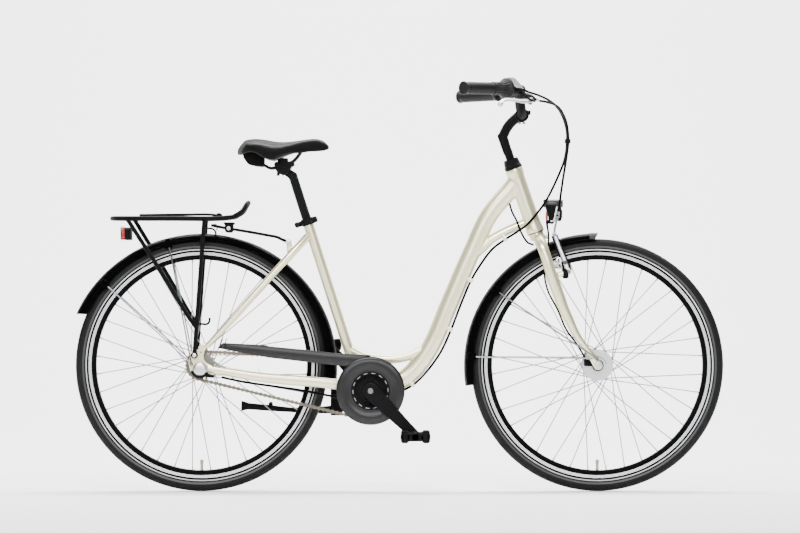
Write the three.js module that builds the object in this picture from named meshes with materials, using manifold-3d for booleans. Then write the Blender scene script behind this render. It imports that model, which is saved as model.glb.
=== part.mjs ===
// A step through city bicycle, with a mudguard on each wheel, a rear rack, a chain guard and a folding stand.
// Millimetres. X points forward, Z points up, and the drive side of the bicycle is at negative Y.
// The origin lies on the ground, midway between the two axles.

import * as THREE from 'three';
import { mergeGeometries, mergeVertices } from 'three/addons/utils/BufferGeometryUtils.js';
import Module from 'manifold-3d';

const wasm = await Module();
wasm.setup();

// Driving dimensions of the whole bicycle.
const wheelbase = 1096;
const wheelRadius = 350;
const tyreWidth = 40;
const rimWidth = 26;
const steeringLean = 19;
const forkLength = 402.8;
const forkRake = 41.5;
const headTubeLength = 186;
const bottomBracketHeight = 280;
const chainstaySpan = 473.2;
const seatTubeLean = 17.8;
const seatTubeLength = 483;
const seatTubeSetback = 24.8;
const crankLength = 175;
const crankAngle = 45;
const chainLine = 47;
const chainPitch = 12.7;
const chainringTeeth = 40;
const sprocketTeeth = 19;
const seatPostRise = 147;
const barHalfSpan = 310;
const barRise = 66;
const barSweep = 165;

// Clearances between pieces that touch on the real bicycle, and the overrun of a cutting shape.
const gap = 0.3;
const runningGap = 0.5;
const overrun = 1;
const facetTolerance = 0.02;

// How finely round shapes are cut.
const wheelSides = 28;
const innerTubeSides = 20;
const tubeSides = 10;
const smallSides = 6;
const wireSides = 5;

const upright = new THREE.Vector3(0, 0, 1);
const forward = new THREE.Vector3(1, 0, 0);
const origin = new THREE.Vector3(0, 0, 0);
const side = new THREE.Vector3(0, 1, 0);

function vector(x, y, z) {
  return new THREE.Vector3(x, y, z);
}

function radians(degrees) {
  return THREE.MathUtils.degToRad(degrees);
}

function mix(values, share) {
  const place = share * (values.length - 1);
  const low = Math.min(Math.floor(place), values.length - 2);
  return THREE.MathUtils.lerp(values[low], values[low + 1], place - low);
}

// The radius of a round hole with flat facets that lets a shaft of the given radius through.
function bore(shaftRadius, clearance = gap, sides = tubeSides) {
  return (shaftRadius + clearance) / Math.cos(Math.PI / sides);
}

// Joins shared corners, drops empty triangles and turns every face outwards.
function weld(geometry) {
  const bare = new THREE.BufferGeometry();
  bare.setAttribute('position', geometry.getAttribute('position').clone());
  if (geometry.index) {
    bare.setIndex(geometry.index.clone());
  }
  const merged = mergeVertices(bare);
  const place = merged.getAttribute('position');
  const corners = [];
  let volume = 0;
  const first = vector(0, 0, 0);
  const second = vector(0, 0, 0);
  const third = vector(0, 0, 0);
  for (let start = 0; start < merged.index.count; start += 3) {
    const [a, b, c] = [0, 1, 2].map((step) => merged.index.getX(start + step));
    if (a === b || b === c || c === a) {
      continue;
    }
    corners.push(a, b, c);
    first.fromBufferAttribute(place, a);
    second.fromBufferAttribute(place, b);
    third.fromBufferAttribute(place, c);
    volume += first.dot(second.cross(third));
  }
  if (volume < 0) {
    corners.reverse();
  }
  merged.setIndex(corners);
  return merged;
}

function toSolid(geometry) {
  const clean = weld(geometry);
  const mesh = new wasm.Mesh({
    numProp: 3,
    vertProperties: new Float32Array(clean.getAttribute('position').array),
    triVerts: new Uint32Array(clean.index.array),
  });
  return new wasm.Manifold(mesh);
}

function toGeometry(solid) {
  const mesh = solid.asOriginal().simplify(facetTolerance).getMesh();
  const geometry = new THREE.BufferGeometry();
  geometry.setAttribute('position', new THREE.BufferAttribute(new Float32Array(mesh.vertProperties), 3));
  geometry.setIndex(Array.from(mesh.triVerts));
  return geometry;
}

function join(...geometries) {
  return toGeometry(geometries.map(toSolid).reduce((whole, part) => whole.add(part)));
}

function cut(geometry, ...tools) {
  return toGeometry(tools.map(toSolid).reduce((whole, tool) => whole.subtract(tool), toSolid(geometry)));
}

function mirrored(geometry) {
  return weld(geometry.clone().scale(1, -1, 1));
}

function moved(geometry, offset) {
  return geometry.clone().translate(offset.x, offset.y, offset.z);
}

// Turns a shape made in its own X, Y and Z so that X and Z run along the given directions from a place.
function oriented(geometry, alongX, alongZ, place) {
  const xAxis = alongX.clone().normalize();
  const yAxis = alongZ.clone().cross(xAxis).normalize();
  const zAxis = xAxis.clone().cross(yAxis);
  const basis = new THREE.Matrix4().makeBasis(xAxis, yAxis, zAxis).setPosition(place);
  return geometry.clone().applyMatrix4(basis);
}

// A turned piece: radius and height pairs, spun round an axis that starts at a place.
function turned(profile, place = vector(0, 0, 0), axis = side, sides = tubeSides) {
  const outline = profile.map(([radius, height]) => new THREE.Vector2(radius, height));
  const closesOnAxis = outline[0].x === 0 && outline.at(-1).x === 0;
  if (!closesOnAxis) {
    outline.push(outline[0].clone());
  }
  const spun = new THREE.LatheGeometry(outline, sides);
  const turn = new THREE.Quaternion().setFromUnitVectors(side, axis.clone().normalize());
  return weld(spun.applyQuaternion(turn).translate(place.x, place.y, place.z));
}

// A straight round bar between two places.
function rod(start, end, radius, sides = tubeSides) {
  const length = start.distanceTo(end);
  return turned([[0, 0], [radius, 0], [radius, length], [0, length]], start, end.clone().sub(start), sides);
}

// A place shifted across the bicycle, along Y.
function across(place, out) {
  return place.clone().addScaledVector(side, out);
}

// A round bar that lies across the bicycle and reaches as far on both sides of its middle.
function acrossRod(center, radius, halfWidth, sides = tubeSides) {
  return rod(across(center, -halfWidth), across(center, halfWidth), radius, sides);
}

// A rectangular block between two corners.
function block(low, high) {
  const size = high.clone().sub(low);
  const box = new THREE.BoxGeometry(size.x, size.y, size.z);
  return moved(box, low.clone().add(high).multiplyScalar(0.5));
}

function roundOutline(radius, sides) {
  const outline = new THREE.Shape();
  for (let corner = 0; corner < sides; corner += 1) {
    const angle = (corner / sides) * Math.PI * 2;
    const place = [radius * Math.cos(angle), radius * Math.sin(angle)];
    if (corner === 0) {
      outline.moveTo(...place);
    } else {
      outline.lineTo(...place);
    }
  }
  outline.closePath();
  return outline;
}

function curveThrough(points) {
  return new THREE.CatmullRomCurve3(points, false, 'centripetal');
}

// A wire or cable of one thickness along a smooth curve.
function wire(points, radius, steps, sides = wireSides) {
  const settings = { steps, bevelEnabled: false, extrudePath: curveThrough(points) };
  return new THREE.ExtrudeGeometry(roundOutline(radius, sides), settings);
}

// Skins a row of rings that have the same number of corners. Its ends are closed, or joined to each other.
function skin(rings, closed = false) {
  const count = rings[0].length;
  const place = rings.flat().flatMap((corner) => [corner.x, corner.y, corner.z]);
  const corners = [];
  const rows = closed ? rings.length : rings.length - 1;
  for (let row = 0; row < rows; row += 1) {
    for (let column = 0; column < count; column += 1) {
      const nextRow = (row + 1) % rings.length;
      const nextColumn = (column + 1) % count;
      const [a, b] = [row * count + column, row * count + nextColumn];
      const [c, d] = [nextRow * count + column, nextRow * count + nextColumn];
      corners.push(a, b, c, b, d, c);
    }
  }
  if (!closed) {
    corners.push(...lid(rings[0], 0, true), ...lid(rings.at(-1), count * (rings.length - 1), false));
  }
  const geometry = new THREE.BufferGeometry();
  geometry.setAttribute('position', new THREE.Float32BufferAttribute(place, 3));
  geometry.setIndex(corners);
  return geometry;
}

function lid(ring, firstCorner, reversed) {
  const normal = vector(0, 0, 0);
  ring.forEach((corner, index) => {
    normal.add(corner.clone().cross(ring[(index + 1) % ring.length]));
  });
  normal.normalize();
  const helper = Math.abs(normal.y) > Math.SQRT1_2 ? forward : side;
  const level = helper.clone().cross(normal).normalize();
  const down = normal.clone().cross(level);
  const flat = ring.map((corner) => new THREE.Vector2(corner.dot(level), corner.dot(down)));
  return THREE.ShapeUtils.triangulateShape(flat, []).flatMap((face) => {
    const positive = THREE.ShapeUtils.area(face.map((index) => flat[index])) > 0;
    const ordered = positive === reversed ? [face[2], face[1], face[0]] : face;
    return ordered.map((index) => index + firstCorner);
  });
}

// A tube whose two half sizes follow the given rows of values. The first lies along the given axis.
function tube(points, halfWidths, halfDepths, steps, sides = tubeSides, axis = side) {
  const curve = curveThrough(points);
  const rings = [];
  for (let step = 0; step <= steps; step += 1) {
    const share = step / steps;
    const center = curve.getPointAt(share);
    const tangent = curve.getTangentAt(share);
    const wide = axis.clone().addScaledVector(tangent, -axis.dot(tangent)).normalize();
    const deep = tangent.clone().cross(wide);
    const ring = [];
    for (let corner = 0; corner < sides; corner += 1) {
      const angle = ((corner + 0.5) / sides) * Math.PI * 2;
      const place = center.clone().addScaledVector(wide, Math.cos(angle) * mix(halfWidths, share));
      ring.push(place.addScaledVector(deep, Math.sin(angle) * mix(halfDepths, share)));
    }
    rings.push(ring);
  }
  return skin(rings);
}

// A round bar with a bend at each given place. A closed one joins its last place to its first.
function bentBar(points, radius, sides = smallSides, closed = false) {
  const last = points.length - 1;
  let wide = null;
  const rings = points.map((place, index) => {
    const before = points[index === 0 ? (closed ? last : 0) : index - 1];
    const after = points[index === last ? (closed ? 0 : last) : index + 1];
    const incoming = place.clone().sub(before).normalize();
    const outgoing = after.clone().sub(place).normalize();
    const tangent = incoming.add(outgoing).normalize();
    const helper = wide ?? (Math.abs(tangent.y) > Math.SQRT1_2 ? upright : side);
    wide = helper.clone().addScaledVector(tangent, -helper.dot(tangent)).normalize();
    const deep = tangent.clone().cross(wide);
    return Array.from({ length: sides }, (_, corner) => {
      const angle = ((corner + 0.5) / sides) * Math.PI * 2;
      const out = place.clone().addScaledVector(wide, Math.cos(angle) * radius);
      return out.addScaledVector(deep, Math.sin(angle) * radius);
    });
  });
  return skin(rings, closed);
}

// The same places once more on the other side of the bicycle, in turned order.
function otherSide(points) {
  return points.map((place) => place.clone().setY(-place.y)).reverse();
}

function roundTube(points, radius, steps, sides = tubeSides) {
  return tube(points, [radius, radius], [radius, radius], steps, sides);
}

// A flat strap of one width and thickness along a smooth curve.
function strap(points, width, thickness, steps, axis = side) {
  const corner = Math.SQRT1_2;
  const widths = [width / 2 / corner, width / 2 / corner];
  const depths = [thickness / 2 / corner, thickness / 2 / corner];
  return tube(points, widths, depths, steps, 4, axis);
}

// Places along a bent line, as shares of the distance between its ends: along, square to it, sideways.
function bowed(start, end, shares, spread = 0) {
  const chord = end.clone().sub(start).setY(0);
  const square = vector(chord.z, 0, -chord.x);
  return shares.map(([along, bow, out = 0]) => {
    const place = start.clone().addScaledVector(chord, along).addScaledVector(square, bow);
    return place.addScaledVector(side, out * spread);
  });
}

// A flat link with two round ends, lying in a plane square to an axis and as thick on both sides of it.
function link(from, to, fromRadius, toRadius, thickness, axis = side, curveSegments = 2) {
  const direction = to.clone().sub(from);
  const length = direction.length();
  const spreadAngle = Math.acos((fromRadius - toRadius) / length);
  const outline = new THREE.Shape();
  outline.absarc(0, 0, fromRadius, spreadAngle, Math.PI * 2 - spreadAngle, false);
  outline.absarc(length, 0, toRadius, -spreadAngle, spreadAngle, false);
  const flat = new THREE.ExtrudeGeometry(outline, { depth: thickness, bevelEnabled: false, curveSegments });
  return oriented(flat.translate(0, 0, -thickness / 2), direction, axis, from);
}

// A flat plate with a given outline in X and Z, its two faces at the given places in Y.
function plate(outline, fromY, toY) {
  const settings = { depth: toY - fromY, bevelEnabled: false };
  return new THREE.ExtrudeGeometry(outline, settings).rotateX(Math.PI / 2).translate(0, toY, 0);
}

function outlineThrough(points) {
  return new THREE.Shape(points.map(([x, z]) => new THREE.Vector2(x, z)));
}

// The frame's own lines: both axles, the steering axis and the seat tube.
const rearAxle = vector(-wheelbase / 2, 0, wheelRadius);
const frontAxle = vector(wheelbase / 2, 0, wheelRadius);
const bottomBracketDrop = wheelRadius - bottomBracketHeight;
const bottomBracketReach = Math.sqrt(chainstaySpan ** 2 - bottomBracketDrop ** 2);
const bottomBracket = vector(rearAxle.x + bottomBracketReach, 0, bottomBracketHeight);
const steeringUp = vector(-Math.sin(radians(steeringLean)), 0, Math.cos(radians(steeringLean)));
const steeringAhead = vector(Math.cos(radians(steeringLean)), 0, Math.sin(radians(steeringLean)));
const crownOffset = steeringUp.clone().multiplyScalar(forkLength).addScaledVector(steeringAhead, -forkRake);
const crownSeat = frontAxle.clone().add(crownOffset);
const seatUp = vector(-Math.sin(radians(seatTubeLean)), 0, Math.cos(radians(seatTubeLean)));
const seatAhead = vector(Math.cos(radians(seatTubeLean)), 0, Math.sin(radians(seatTubeLean)));
const seatFoot = bottomBracket.clone().add(vector(-seatTubeSetback, 0, 0));

function onSteering(along, ahead = 0, out = 0) {
  const place = crownSeat.clone().addScaledVector(steeringUp, along);
  return place.addScaledVector(steeringAhead, ahead).addScaledVector(side, out);
}

function onSeatTube(along, ahead = 0, out = 0) {
  const place = seatFoot.clone().addScaledVector(seatUp, along);
  return place.addScaledVector(seatAhead, ahead).addScaledVector(side, out);
}

// A place round a wheel: its distance from the axle, its angle above the horizontal, and its place across.
function round(axle, radius, angle, out = 0) {
  return axle.clone().add(vector(radius * Math.cos(radians(angle)), out, radius * Math.sin(radians(angle))));
}

const finishes = {
  frame: new THREE.MeshStandardMaterial({ color: 0xd9d5c6, roughness: 0.35, metalness: 0.3 }),
  black: new THREE.MeshStandardMaterial({ color: 0x1b1b1c, roughness: 0.45, metalness: 0.1 }),
  charcoal: new THREE.MeshStandardMaterial({ color: 0x333234, roughness: 0.5, metalness: 0 }),
  rubber: new THREE.MeshStandardMaterial({ color: 0x1e1e1f, roughness: 0.85, metalness: 0 }),
  silver: new THREE.MeshStandardMaterial({ color: 0xc9cacc, roughness: 0.3, metalness: 0.9 }),
  steel: new THREE.MeshStandardMaterial({ color: 0x8d8a80, roughness: 0.4, metalness: 0.85 }),
  chain: new THREE.MeshStandardMaterial({ color: 0x77705f, roughness: 0.45, metalness: 0.8 }),
  redLens: new THREE.MeshStandardMaterial({ color: 0xb01218, roughness: 0.2, metalness: 0 }),
  clearLens: new THREE.MeshStandardMaterial({ color: 0xd8dde0, roughness: 0.1, metalness: 0.3 }),
};

const bicycle = new THREE.Group();
const frameGroup = new THREE.Group();
const steeringGroup = new THREE.Group();
bicycle.add(frameGroup, steeringGroup);

function piece(group, name, geometry, finish) {
  const mesh = new THREE.Mesh(weld(geometry), finish.clone());
  mesh.name = name;
  group.add(mesh);
  return mesh;
}

// Head tube, down tube, brace and gusset, welded to the bottom bracket shell.
const headTubeRadius = 22.5;
const headTubeBore = 17;
const headFlareRadius = 24.5;
const headFlareLength = 12;
const downTubeHalfDepths = [25, 23.5, 21.5, 21.5, 22.5, 23, 23, 22.5];
const downTubeHalfWidth = 19;
const downTubeEntry = 153;
const braceRadius = 12;
const braceEntry = 36;
const braceEndShare = 0.35;
const gussetHalfDepth = 13.5;
const gussetHalfWidth = 13.5;
const gussetEntry = 116;
const gussetEndShare = 0.7;
const shellRadius = 21.5;
const shellHalfWidth = 34;
const shellBore = 17.8;
const seatTubeRadius = 14.3;
const downTubeShares = [
  [0, 0], [0.046, 0.002], [0.176, 0.0095], [0.332, -0.018], [0.554, -0.063],
  [0.705, -0.092], [0.813, -0.0945], [0.889, -0.08], [0.955, -0.042], [1, 0],
];
const braceShares = [[0, 0], [0.393, 0.061], [0.605, 0.07], [0.788, 0.031], [1, 0]];
const gussetShares = [
  [0, 0], [0.168, 0.102], [0.32, 0.141], [0.523, 0.157], [0.713, 0.125], [0.895, 0.053], [1, 0],
];

const downTubeLine = bowed(onSteering(downTubeEntry), bottomBracket, downTubeShares);
const downTubeCurve = curveThrough(downTubeLine);
const braceLine = bowed(onSteering(braceEntry), downTubeCurve.getPointAt(braceEndShare), braceShares);
const gussetLine = bowed(onSeatTube(gussetEntry), downTubeCurve.getPointAt(gussetEndShare), gussetShares);

function headTube() {
  return turned([
    [headTubeBore, 0], [headFlareRadius, 0], [headFlareRadius, headFlareLength],
    [headTubeRadius, headFlareLength * 2], [headTubeRadius, headTubeLength - headFlareLength * 2],
    [headFlareRadius, headTubeLength - headFlareLength], [headFlareRadius, headTubeLength],
    [headTubeBore, headTubeLength],
  ], crownSeat, steeringUp, tubeSides + 2);
}

function headAndDownTube() {
  const width = [downTubeHalfWidth, downTubeHalfWidth];
  const tubes = join(
    tube(downTubeLine, width, downTubeHalfDepths, 15),
    roundTube(braceLine, braceRadius, 5, 8),
    tube(gussetLine, [gussetHalfWidth, gussetHalfWidth], [gussetHalfDepth, gussetHalfDepth], 7, 8),
    acrossRod(bottomBracket, shellRadius, shellHalfWidth, tubeSides + 2),
  );
  const open = cut(
    tubes,
    rod(onSteering(-overrun), onSteering(headTubeLength + overrun), (headTubeBore + headTubeRadius) / 2),
    rod(onSeatTube(0), onSeatTube(seatTubeLength), bore(seatTubeRadius), tubeSides),
    acrossRod(bottomBracket, shellBore, shellHalfWidth + overrun, tubeSides),
  );
  return join(open, headTube());
}
piece(frameGroup, 'head_and_down_tube', headAndDownTube(), finishes.frame);

// Seat tube, open at the top for the seat post and fitted round the back of the bottom bracket shell.
const seatPostRadius = 12.7;
const seatTubeBoreDepth = 330;

function seatTube() {
  const boreFoot = onSeatTube(seatTubeLength - seatTubeBoreDepth);
  return cut(
    rod(onSeatTube(0), onSeatTube(seatTubeLength), seatTubeRadius),
    rod(boreFoot, onSeatTube(seatTubeLength + overrun), bore(seatPostRadius)),
    acrossRod(bottomBracket, bore(shellRadius, gap, tubeSides + 2), shellHalfWidth, tubeSides + 2),
  );
}
piece(frameGroup, 'seat_tube', seatTube(), finishes.frame);

// Rear stays: a chain stay and a seat stay on each side, with the dropout plate that joins them.
const dropoutSpread = 66;
const dropoutThickness = 6;
const dropoutReach = 30;
const axleRadius = 5;
const chainStayHalfHeights = [14.5, 14.5, 14, 12, 10];
const chainStayHalfWidths = [9, 8, 8, 8, 6];
const seatStayRadii = [10.4, 9.6, 9, 8, 6];
const seatStayEntry = 452;
const seatStaySetback = -12;
const chainStayShares = [
  [0.028, 0.006, 0.42], [0.1, 0.007, 0.45], [0.16, 0.007, 0.51], [0.204, 0.007, 0.585],
  [0.35, 0.001, 0.69], [0.616, -0.016, 0.83], [0.96, -0.013, 1],
];
const seatStayShares = [
  [0, 0, 0.24], [0.08, 0, 0.44], [0.16, 0, 0.57], [0.25, 0, 0.63], [0.5, 0, 0.78], [0.76, -0.003, 0.93],
  [1, 0, 1],
];
const dropoutShares = [
  [-0.95, -0.5], [0.2, -1.1], [1.1, -0.9], [1.5, -0.2], [1.2, 1], [0.75, 1.9], [0.1, 1.9],
  [-0.5, 1.35], [-0.95, 1.2], [-1.15, 0.3],
];
const seatStayEndShare = [0.48, 1.68];
const lugReach = 37;
const lugLead = -5;
const lugRadius = 6;
const lugShare = 0.17;
const lugSpread = 33;
const standPlateShare = 0.2;
const standPlateLength = 34;
const standPlateDrop = 71;
const standSpread = 42;
const standPlateThickness = 8;

const chainStayLine = bowed(bottomBracket, rearAxle, chainStayShares, dropoutSpread);
const seatStayEndOffset = vector(seatStayEndShare[0], 0, seatStayEndShare[1]).multiplyScalar(dropoutReach);
const seatStayEnd = rearAxle.clone().add(seatStayEndOffset);
const seatStayStart = onSeatTube(seatStayEntry, seatStaySetback);
const seatStayLine = bowed(seatStayStart, seatStayEnd, seatStayShares, dropoutSpread);
const lugFootShares = [lugShare, 0, lugSpread / dropoutSpread];
const [lugFoot] = bowed(seatStayStart, seatStayEnd, [lugFootShares], dropoutSpread);
const lugEye = lugFoot.clone().add(vector(lugLead, 0, lugReach));
const standPivot = vector(
  bottomBracket.x - chainstaySpan * standPlateShare, standSpread, bottomBracket.z - standPlateDrop,
);

// Made for the left side, at positive Y. The right side is its mirror image.
function leftStays() {
  const outline = outlineThrough(dropoutShares.map(([x, z]) => [
    rearAxle.x + x * dropoutReach, rearAxle.z + z * dropoutReach,
  ]));
  const inner = dropoutSpread - dropoutThickness / 2;
  const stays = join(
    tube(chainStayLine, chainStayHalfWidths, chainStayHalfHeights, 8, 8),
    tube(seatStayLine, seatStayRadii, seatStayRadii, 8, 8),
    plate(outline, inner, inner + dropoutThickness),
    link(lugFoot, lugEye, lugRadius * 1.4, lugRadius, dropoutThickness / 2),
  );
  const tools = [
    rod(onSeatTube(0), onSeatTube(seatTubeLength), bore(seatTubeRadius)),
    acrossRod(bottomBracket, bore(shellRadius, gap, tubeSides + 2), shellHalfWidth + gap, tubeSides + 2),
    acrossRod(rearAxle, bore(axleRadius), dropoutSpread * 2, tubeSides),
  ];
  return cut(stays, ...tools);
}
const plainStays = leftStays();

// The plate for the stand is welded under the left chain stay.
function standPlate() {
  const low = standPivot.clone().add(vector(-standPlateLength / 2, -standPlateThickness, 0));
  const plateTop = bottomBracketHeight + chainStayHalfHeights[0];
  const high = vector(standPivot.x + standPlateLength / 2, standSpread, plateTop);
  return block(low, high);
}

const standHingeRadius = 5;
const standHinge = standPivot.clone().add(vector(0, 0, standPlateLength / 2));

function leftStaysWithStandPlate() {
  const pinStart = across(standHinge, -standPlateThickness);
  const pinEnd = across(standHinge, standPlateThickness * 2);
  return join(plainStays, standPlate(), rod(pinStart, pinEnd, standHingeRadius, smallSides));
}
piece(frameGroup, 'right_rear_stays', mirrored(plainStays), finishes.frame);
piece(frameGroup, 'left_rear_stays', leftStaysWithStandPlate(), finishes.frame);

// Bottom bracket unit: a sleeve in the shell that carries the spindle.
const spindleRadius = 8.5;

const unitRadius = shellBore * Math.cos(Math.PI / tubeSides) - gap;
piece(frameGroup, 'bottom_bracket_unit', turned([
  [bore(spindleRadius), -shellHalfWidth], [unitRadius, -shellHalfWidth],
  [unitRadius, shellHalfWidth], [bore(spindleRadius), shellHalfWidth],
], bottomBracket), finishes.steel);

// Mudguards: a curved channel over each tyre, its radius growing a little towards the tail.
const guardHalfWidth = 26.5;
const guardThickness = 2;
const guardLipRise = -2;
const guardRise = 20;
const rearGuardShares = [1.45, 1.25, 1, 0.825, 0.8, 1.025, 1.4];
const rearGuardFrontAngle = -10;
const rearGuardTailAngle = 157;
const frontGuardShares = [0.85, 0.87, 0.95, 1.05, 1.1];
const frontGuardTipAngle = 90;
const frontGuardTailAngle = 189;
const guardWidthShares = [-1, -0.72, 0, 0.72, 1];
const guardRiseShares = [0, 0.72, 1, 0.72, 0];

function mudguard(axle, startAngle, endAngle, shares, steps) {
  const rings = [];
  for (let step = 0; step <= steps; step += 1) {
    const share = step / steps;
    const angle = THREE.MathUtils.lerp(startAngle, endAngle, share);
    const lip = wheelRadius + guardLipRise;
    const crown = lip + guardRise * mix(shares, share);
    const outer = guardWidthShares.map((width, index) => round(
      axle, THREE.MathUtils.lerp(lip, crown, guardRiseShares[index]), angle, width * guardHalfWidth,
    ));
    const innerHalf = guardHalfWidth - guardThickness;
    const innerCrown = crown - guardThickness;
    const inner = guardWidthShares.map((width, index) => round(
      axle, THREE.MathUtils.lerp(lip, innerCrown, guardRiseShares[index]), angle, width * innerHalf,
    ));
    rings.push([...outer, ...inner.reverse()]);
  }
  return skin(rings);
}

const stayRadius = 2;
const stayEyeRadius = 6;
const stayEyeWidth = 5;
const rearStayEye = rearAxle.clone().add(vector(-dropoutReach * 0.85, 0, dropoutReach * 0.15));
const rearStayAngles = [105.3, 140];
const frontStayAngles = [143.5, 176];
const staySideShares = [[0, 0], [0.16, 0], [0.93, 1]];

// A hoop of stay wire, from an eye beside the axle up one flank of the guard, over it and down to the other.
function stayHoop(axle, eye, eyeOut, guardRadius, angle) {
  const lift = stayRadius + gap * 2;
  const lip = wheelRadius + guardLipRise;
  const foot = round(axle, lip, angle);
  const sidePoints = staySideShares.map(([along, out]) => (
    eye.clone().lerp(foot, along).setY(THREE.MathUtils.lerp(eyeOut, guardHalfWidth + lift, out))
  ));
  const crownPoints = guardWidthShares.map((width, index) => {
    const rise = guardRiseShares[index];
    const radius = THREE.MathUtils.lerp(lip, guardRadius, rise) + (rise > 0 ? lift * 1.2 : 0);
    return round(axle, radius, angle, -width * guardHalfWidth - Math.sign(width) * lift);
  });
  return bentBar([...sidePoints, ...crownPoints, ...otherSide(sidePoints)], stayRadius, wireSides);
}

function mudguardStays(axle, eye, eyeOut, guardRadii, angles) {
  const eyes = [-1, 1].map((hand) => rod(
    across(eye, hand * (eyeOut - stayEyeWidth / 2)), across(eye, hand * (eyeOut + stayEyeWidth / 2)),
    stayEyeRadius, smallSides,
  ));
  const hoops = angles.map((angle, index) => stayHoop(axle, eye, eyeOut, guardRadii[index], angle));
  return join(...eyes, ...hoops);
}

function guardRadiusAt(angle, startAngle, endAngle, shares) {
  const share = (angle - startAngle) / (endAngle - startAngle);
  return wheelRadius + guardLipRise + guardRise * mix(shares, share);
}

const rearGuardSteps = 20;
piece(frameGroup, 'rear_mudguard', mudguard(
  rearAxle, rearGuardFrontAngle, rearGuardTailAngle, rearGuardShares, rearGuardSteps,
), finishes.black);
const dropoutOuter = dropoutSpread + dropoutThickness / 2;
piece(frameGroup, 'rear_mudguard_stays', mudguardStays(
  rearAxle, rearStayEye, dropoutOuter + gap + stayEyeWidth / 2,
  rearStayAngles.map((angle) => guardRadiusAt(
    angle, rearGuardFrontAngle, rearGuardTailAngle, rearGuardShares,
  )),
  rearStayAngles,
), finishes.silver);

// Luggage rack: one hoop of tube for the deck and its upturned front, with cross tubes and two legs a side.
const rackTubeRadius = 5.5;
const rackHalfWidth = 62;
const rackLength = 336;
const rackRearReach = 246;
const rackDeckClearance = 56;
const rackHoopRise = 43;
const rackHoopShare = 1.116;
const lampPlateShare = 0.1548;
const rodBoltShare = 0.9583;
const rackCrossShares = [lampPlateShare, 0.4583, 0.7202, rodBoltShare];
const rackBarHalfSpacing = 24;
const rackLegShares = [0.7619, 0.125];
const rackFootLead = 17;
const rackFootRise = 29;
const rackRear = rearAxle.x - rackRearReach;
const rackDeckHeight = wheelRadius * 2 + rackDeckClearance;
const rackFoot = rearAxle.clone().add(vector(-rackFootLead, 0, rackFootRise));
const rackFootSpread = dropoutOuter + rackTubeRadius * 1.35;
const rackLegJoinShare = 0.8;
const rackBoltRadius = 5;
const clipPinRadius = 3;
const clipPinShare = 0.875;
const clipPinRise = 7;
const clipLugThickness = 4;
const lampPlateThickness = 3;
const lampPlateHalfWidth = 30;
const lampPlateDepth = 56;
const rodLugSpread = 24;
const rodBoltRadius = 4;
const rodBoltDrop = 28;
const rodLugRadius = 11;

// A place on the rack: a share of the deck's length from its rear, a height over it, and a place across.
function onRack(share, rise = 0, out = 0) {
  return vector(rackRear + share * rackLength, out, rackDeckHeight + rise);
}
const clipPinPlace = onRack(clipPinShare, clipPinRise);
const rodBoltPlace = onRack(rodBoltShare, -rodBoltDrop);
const lampPlateX = onRack(lampPlateShare).x;

function rackDeck() {
  const bend = rackTubeRadius * 3;
  const bendShare = bend / rackLength;
  const half = [
    onRack(0, 0, rackHalfWidth - bend), onRack(bendShare, 0, rackHalfWidth), onRack(1, 0, rackHalfWidth),
    onRack(1 + bendShare, bend * 0.6, rackHalfWidth - bend / 2),
    onRack(rackHoopShare - bendShare * 0.25, rackHoopRise - rackTubeRadius * 2.6, rackHalfWidth - bend),
    onRack(rackHoopShare, rackHoopRise - rackTubeRadius, rackHalfWidth / 2),
  ];
  return bentBar([...half, ...otherSide(half)], rackTubeRadius, smallSides, true);
}

function rackSide() {
  const foot = across(rackFoot, rackFootSpread);
  const [frontTop, rearTop] = rackLegShares.map((share) => onRack(share, 0, rackHalfWidth));
  const meeting = frontTop.clone().lerp(foot, rackLegJoinShare);
  const bolt = rod(
    across(foot, -rackTubeRadius), across(foot, rackTubeRadius * 1.5), rackBoltRadius * 1.6, smallSides,
  );
  return join(
    rod(frontTop, foot, rackTubeRadius, smallSides), rod(rearTop, meeting, rackTubeRadius, smallSides), bolt,
  );
}

function luggageRack() {
  const crosses = rackCrossShares.map((share) => acrossRod(
    onRack(share), rackTubeRadius * 0.8, rackHalfWidth, smallSides,
  ));
  const barHalf = rackTubeRadius / 2;
  const bars = [-1, 1].map((hand) => block(
    vector(rackRear, hand * rackBarHalfSpacing - barHalf, rackDeckHeight - barHalf),
    vector(rodBoltPlace.x, hand * rackBarHalfSpacing + barHalf, rackDeckHeight + barHalf),
  ));
  const pinEnd = rackBarHalfSpacing + clipLugThickness / 2;
  const pin = acrossRod(clipPinPlace, clipPinRadius, pinEnd, smallSides);
  const pinLugs = [-1, 1].map((hand) => {
    const center = hand * (pinEnd - clipLugThickness / 2);
    const low = vector(clipPinPlace.x, center, rackDeckHeight);
    const lugEnd = clipPinRadius * 1.5;
    return link(clipPinPlace.clone().setY(center), low, lugEnd, lugEnd, clipLugThickness);
  });
  const lampPlate = block(
    onRack(lampPlateShare, -lampPlateDepth, -lampPlateHalfWidth),
    onRack(lampPlateShare + lampPlateThickness / rackLength, 0, lampPlateHalfWidth),
  );
  const rodLugs = [-1, 1].map((hand) => link(
    vector(rodBoltPlace.x, hand * rodLugSpread, rodBoltPlace.z),
    vector(rodBoltPlace.x, hand * rodLugSpread, rackDeckHeight),
    rodLugRadius, rodBoltRadius * 2, clipLugThickness,
  ));
  const left = rackSide();
  const whole = join(
    rackDeck(), ...crosses, ...bars, pin, ...pinLugs, lampPlate, ...rodLugs, left, mirrored(left),
  );
  return cut(whole, acrossRod(rodBoltPlace, bore(rodBoltRadius, gap, smallSides), rackHalfWidth, smallSides));
}
piece(frameGroup, 'luggage_rack', luggageRack(), finishes.black);

// Rack stay rods, from a bolt under the rack's front to the eyelets on the seat stays.
const stayRodRadius = 3.5;
const stayRodLead = 48;
const stayRodBend = 31;
const stayRodDrop = 0.19;
const rodSpread = lugEye.y + dropoutThickness / 4 + gap + stayRodRadius;

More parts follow.
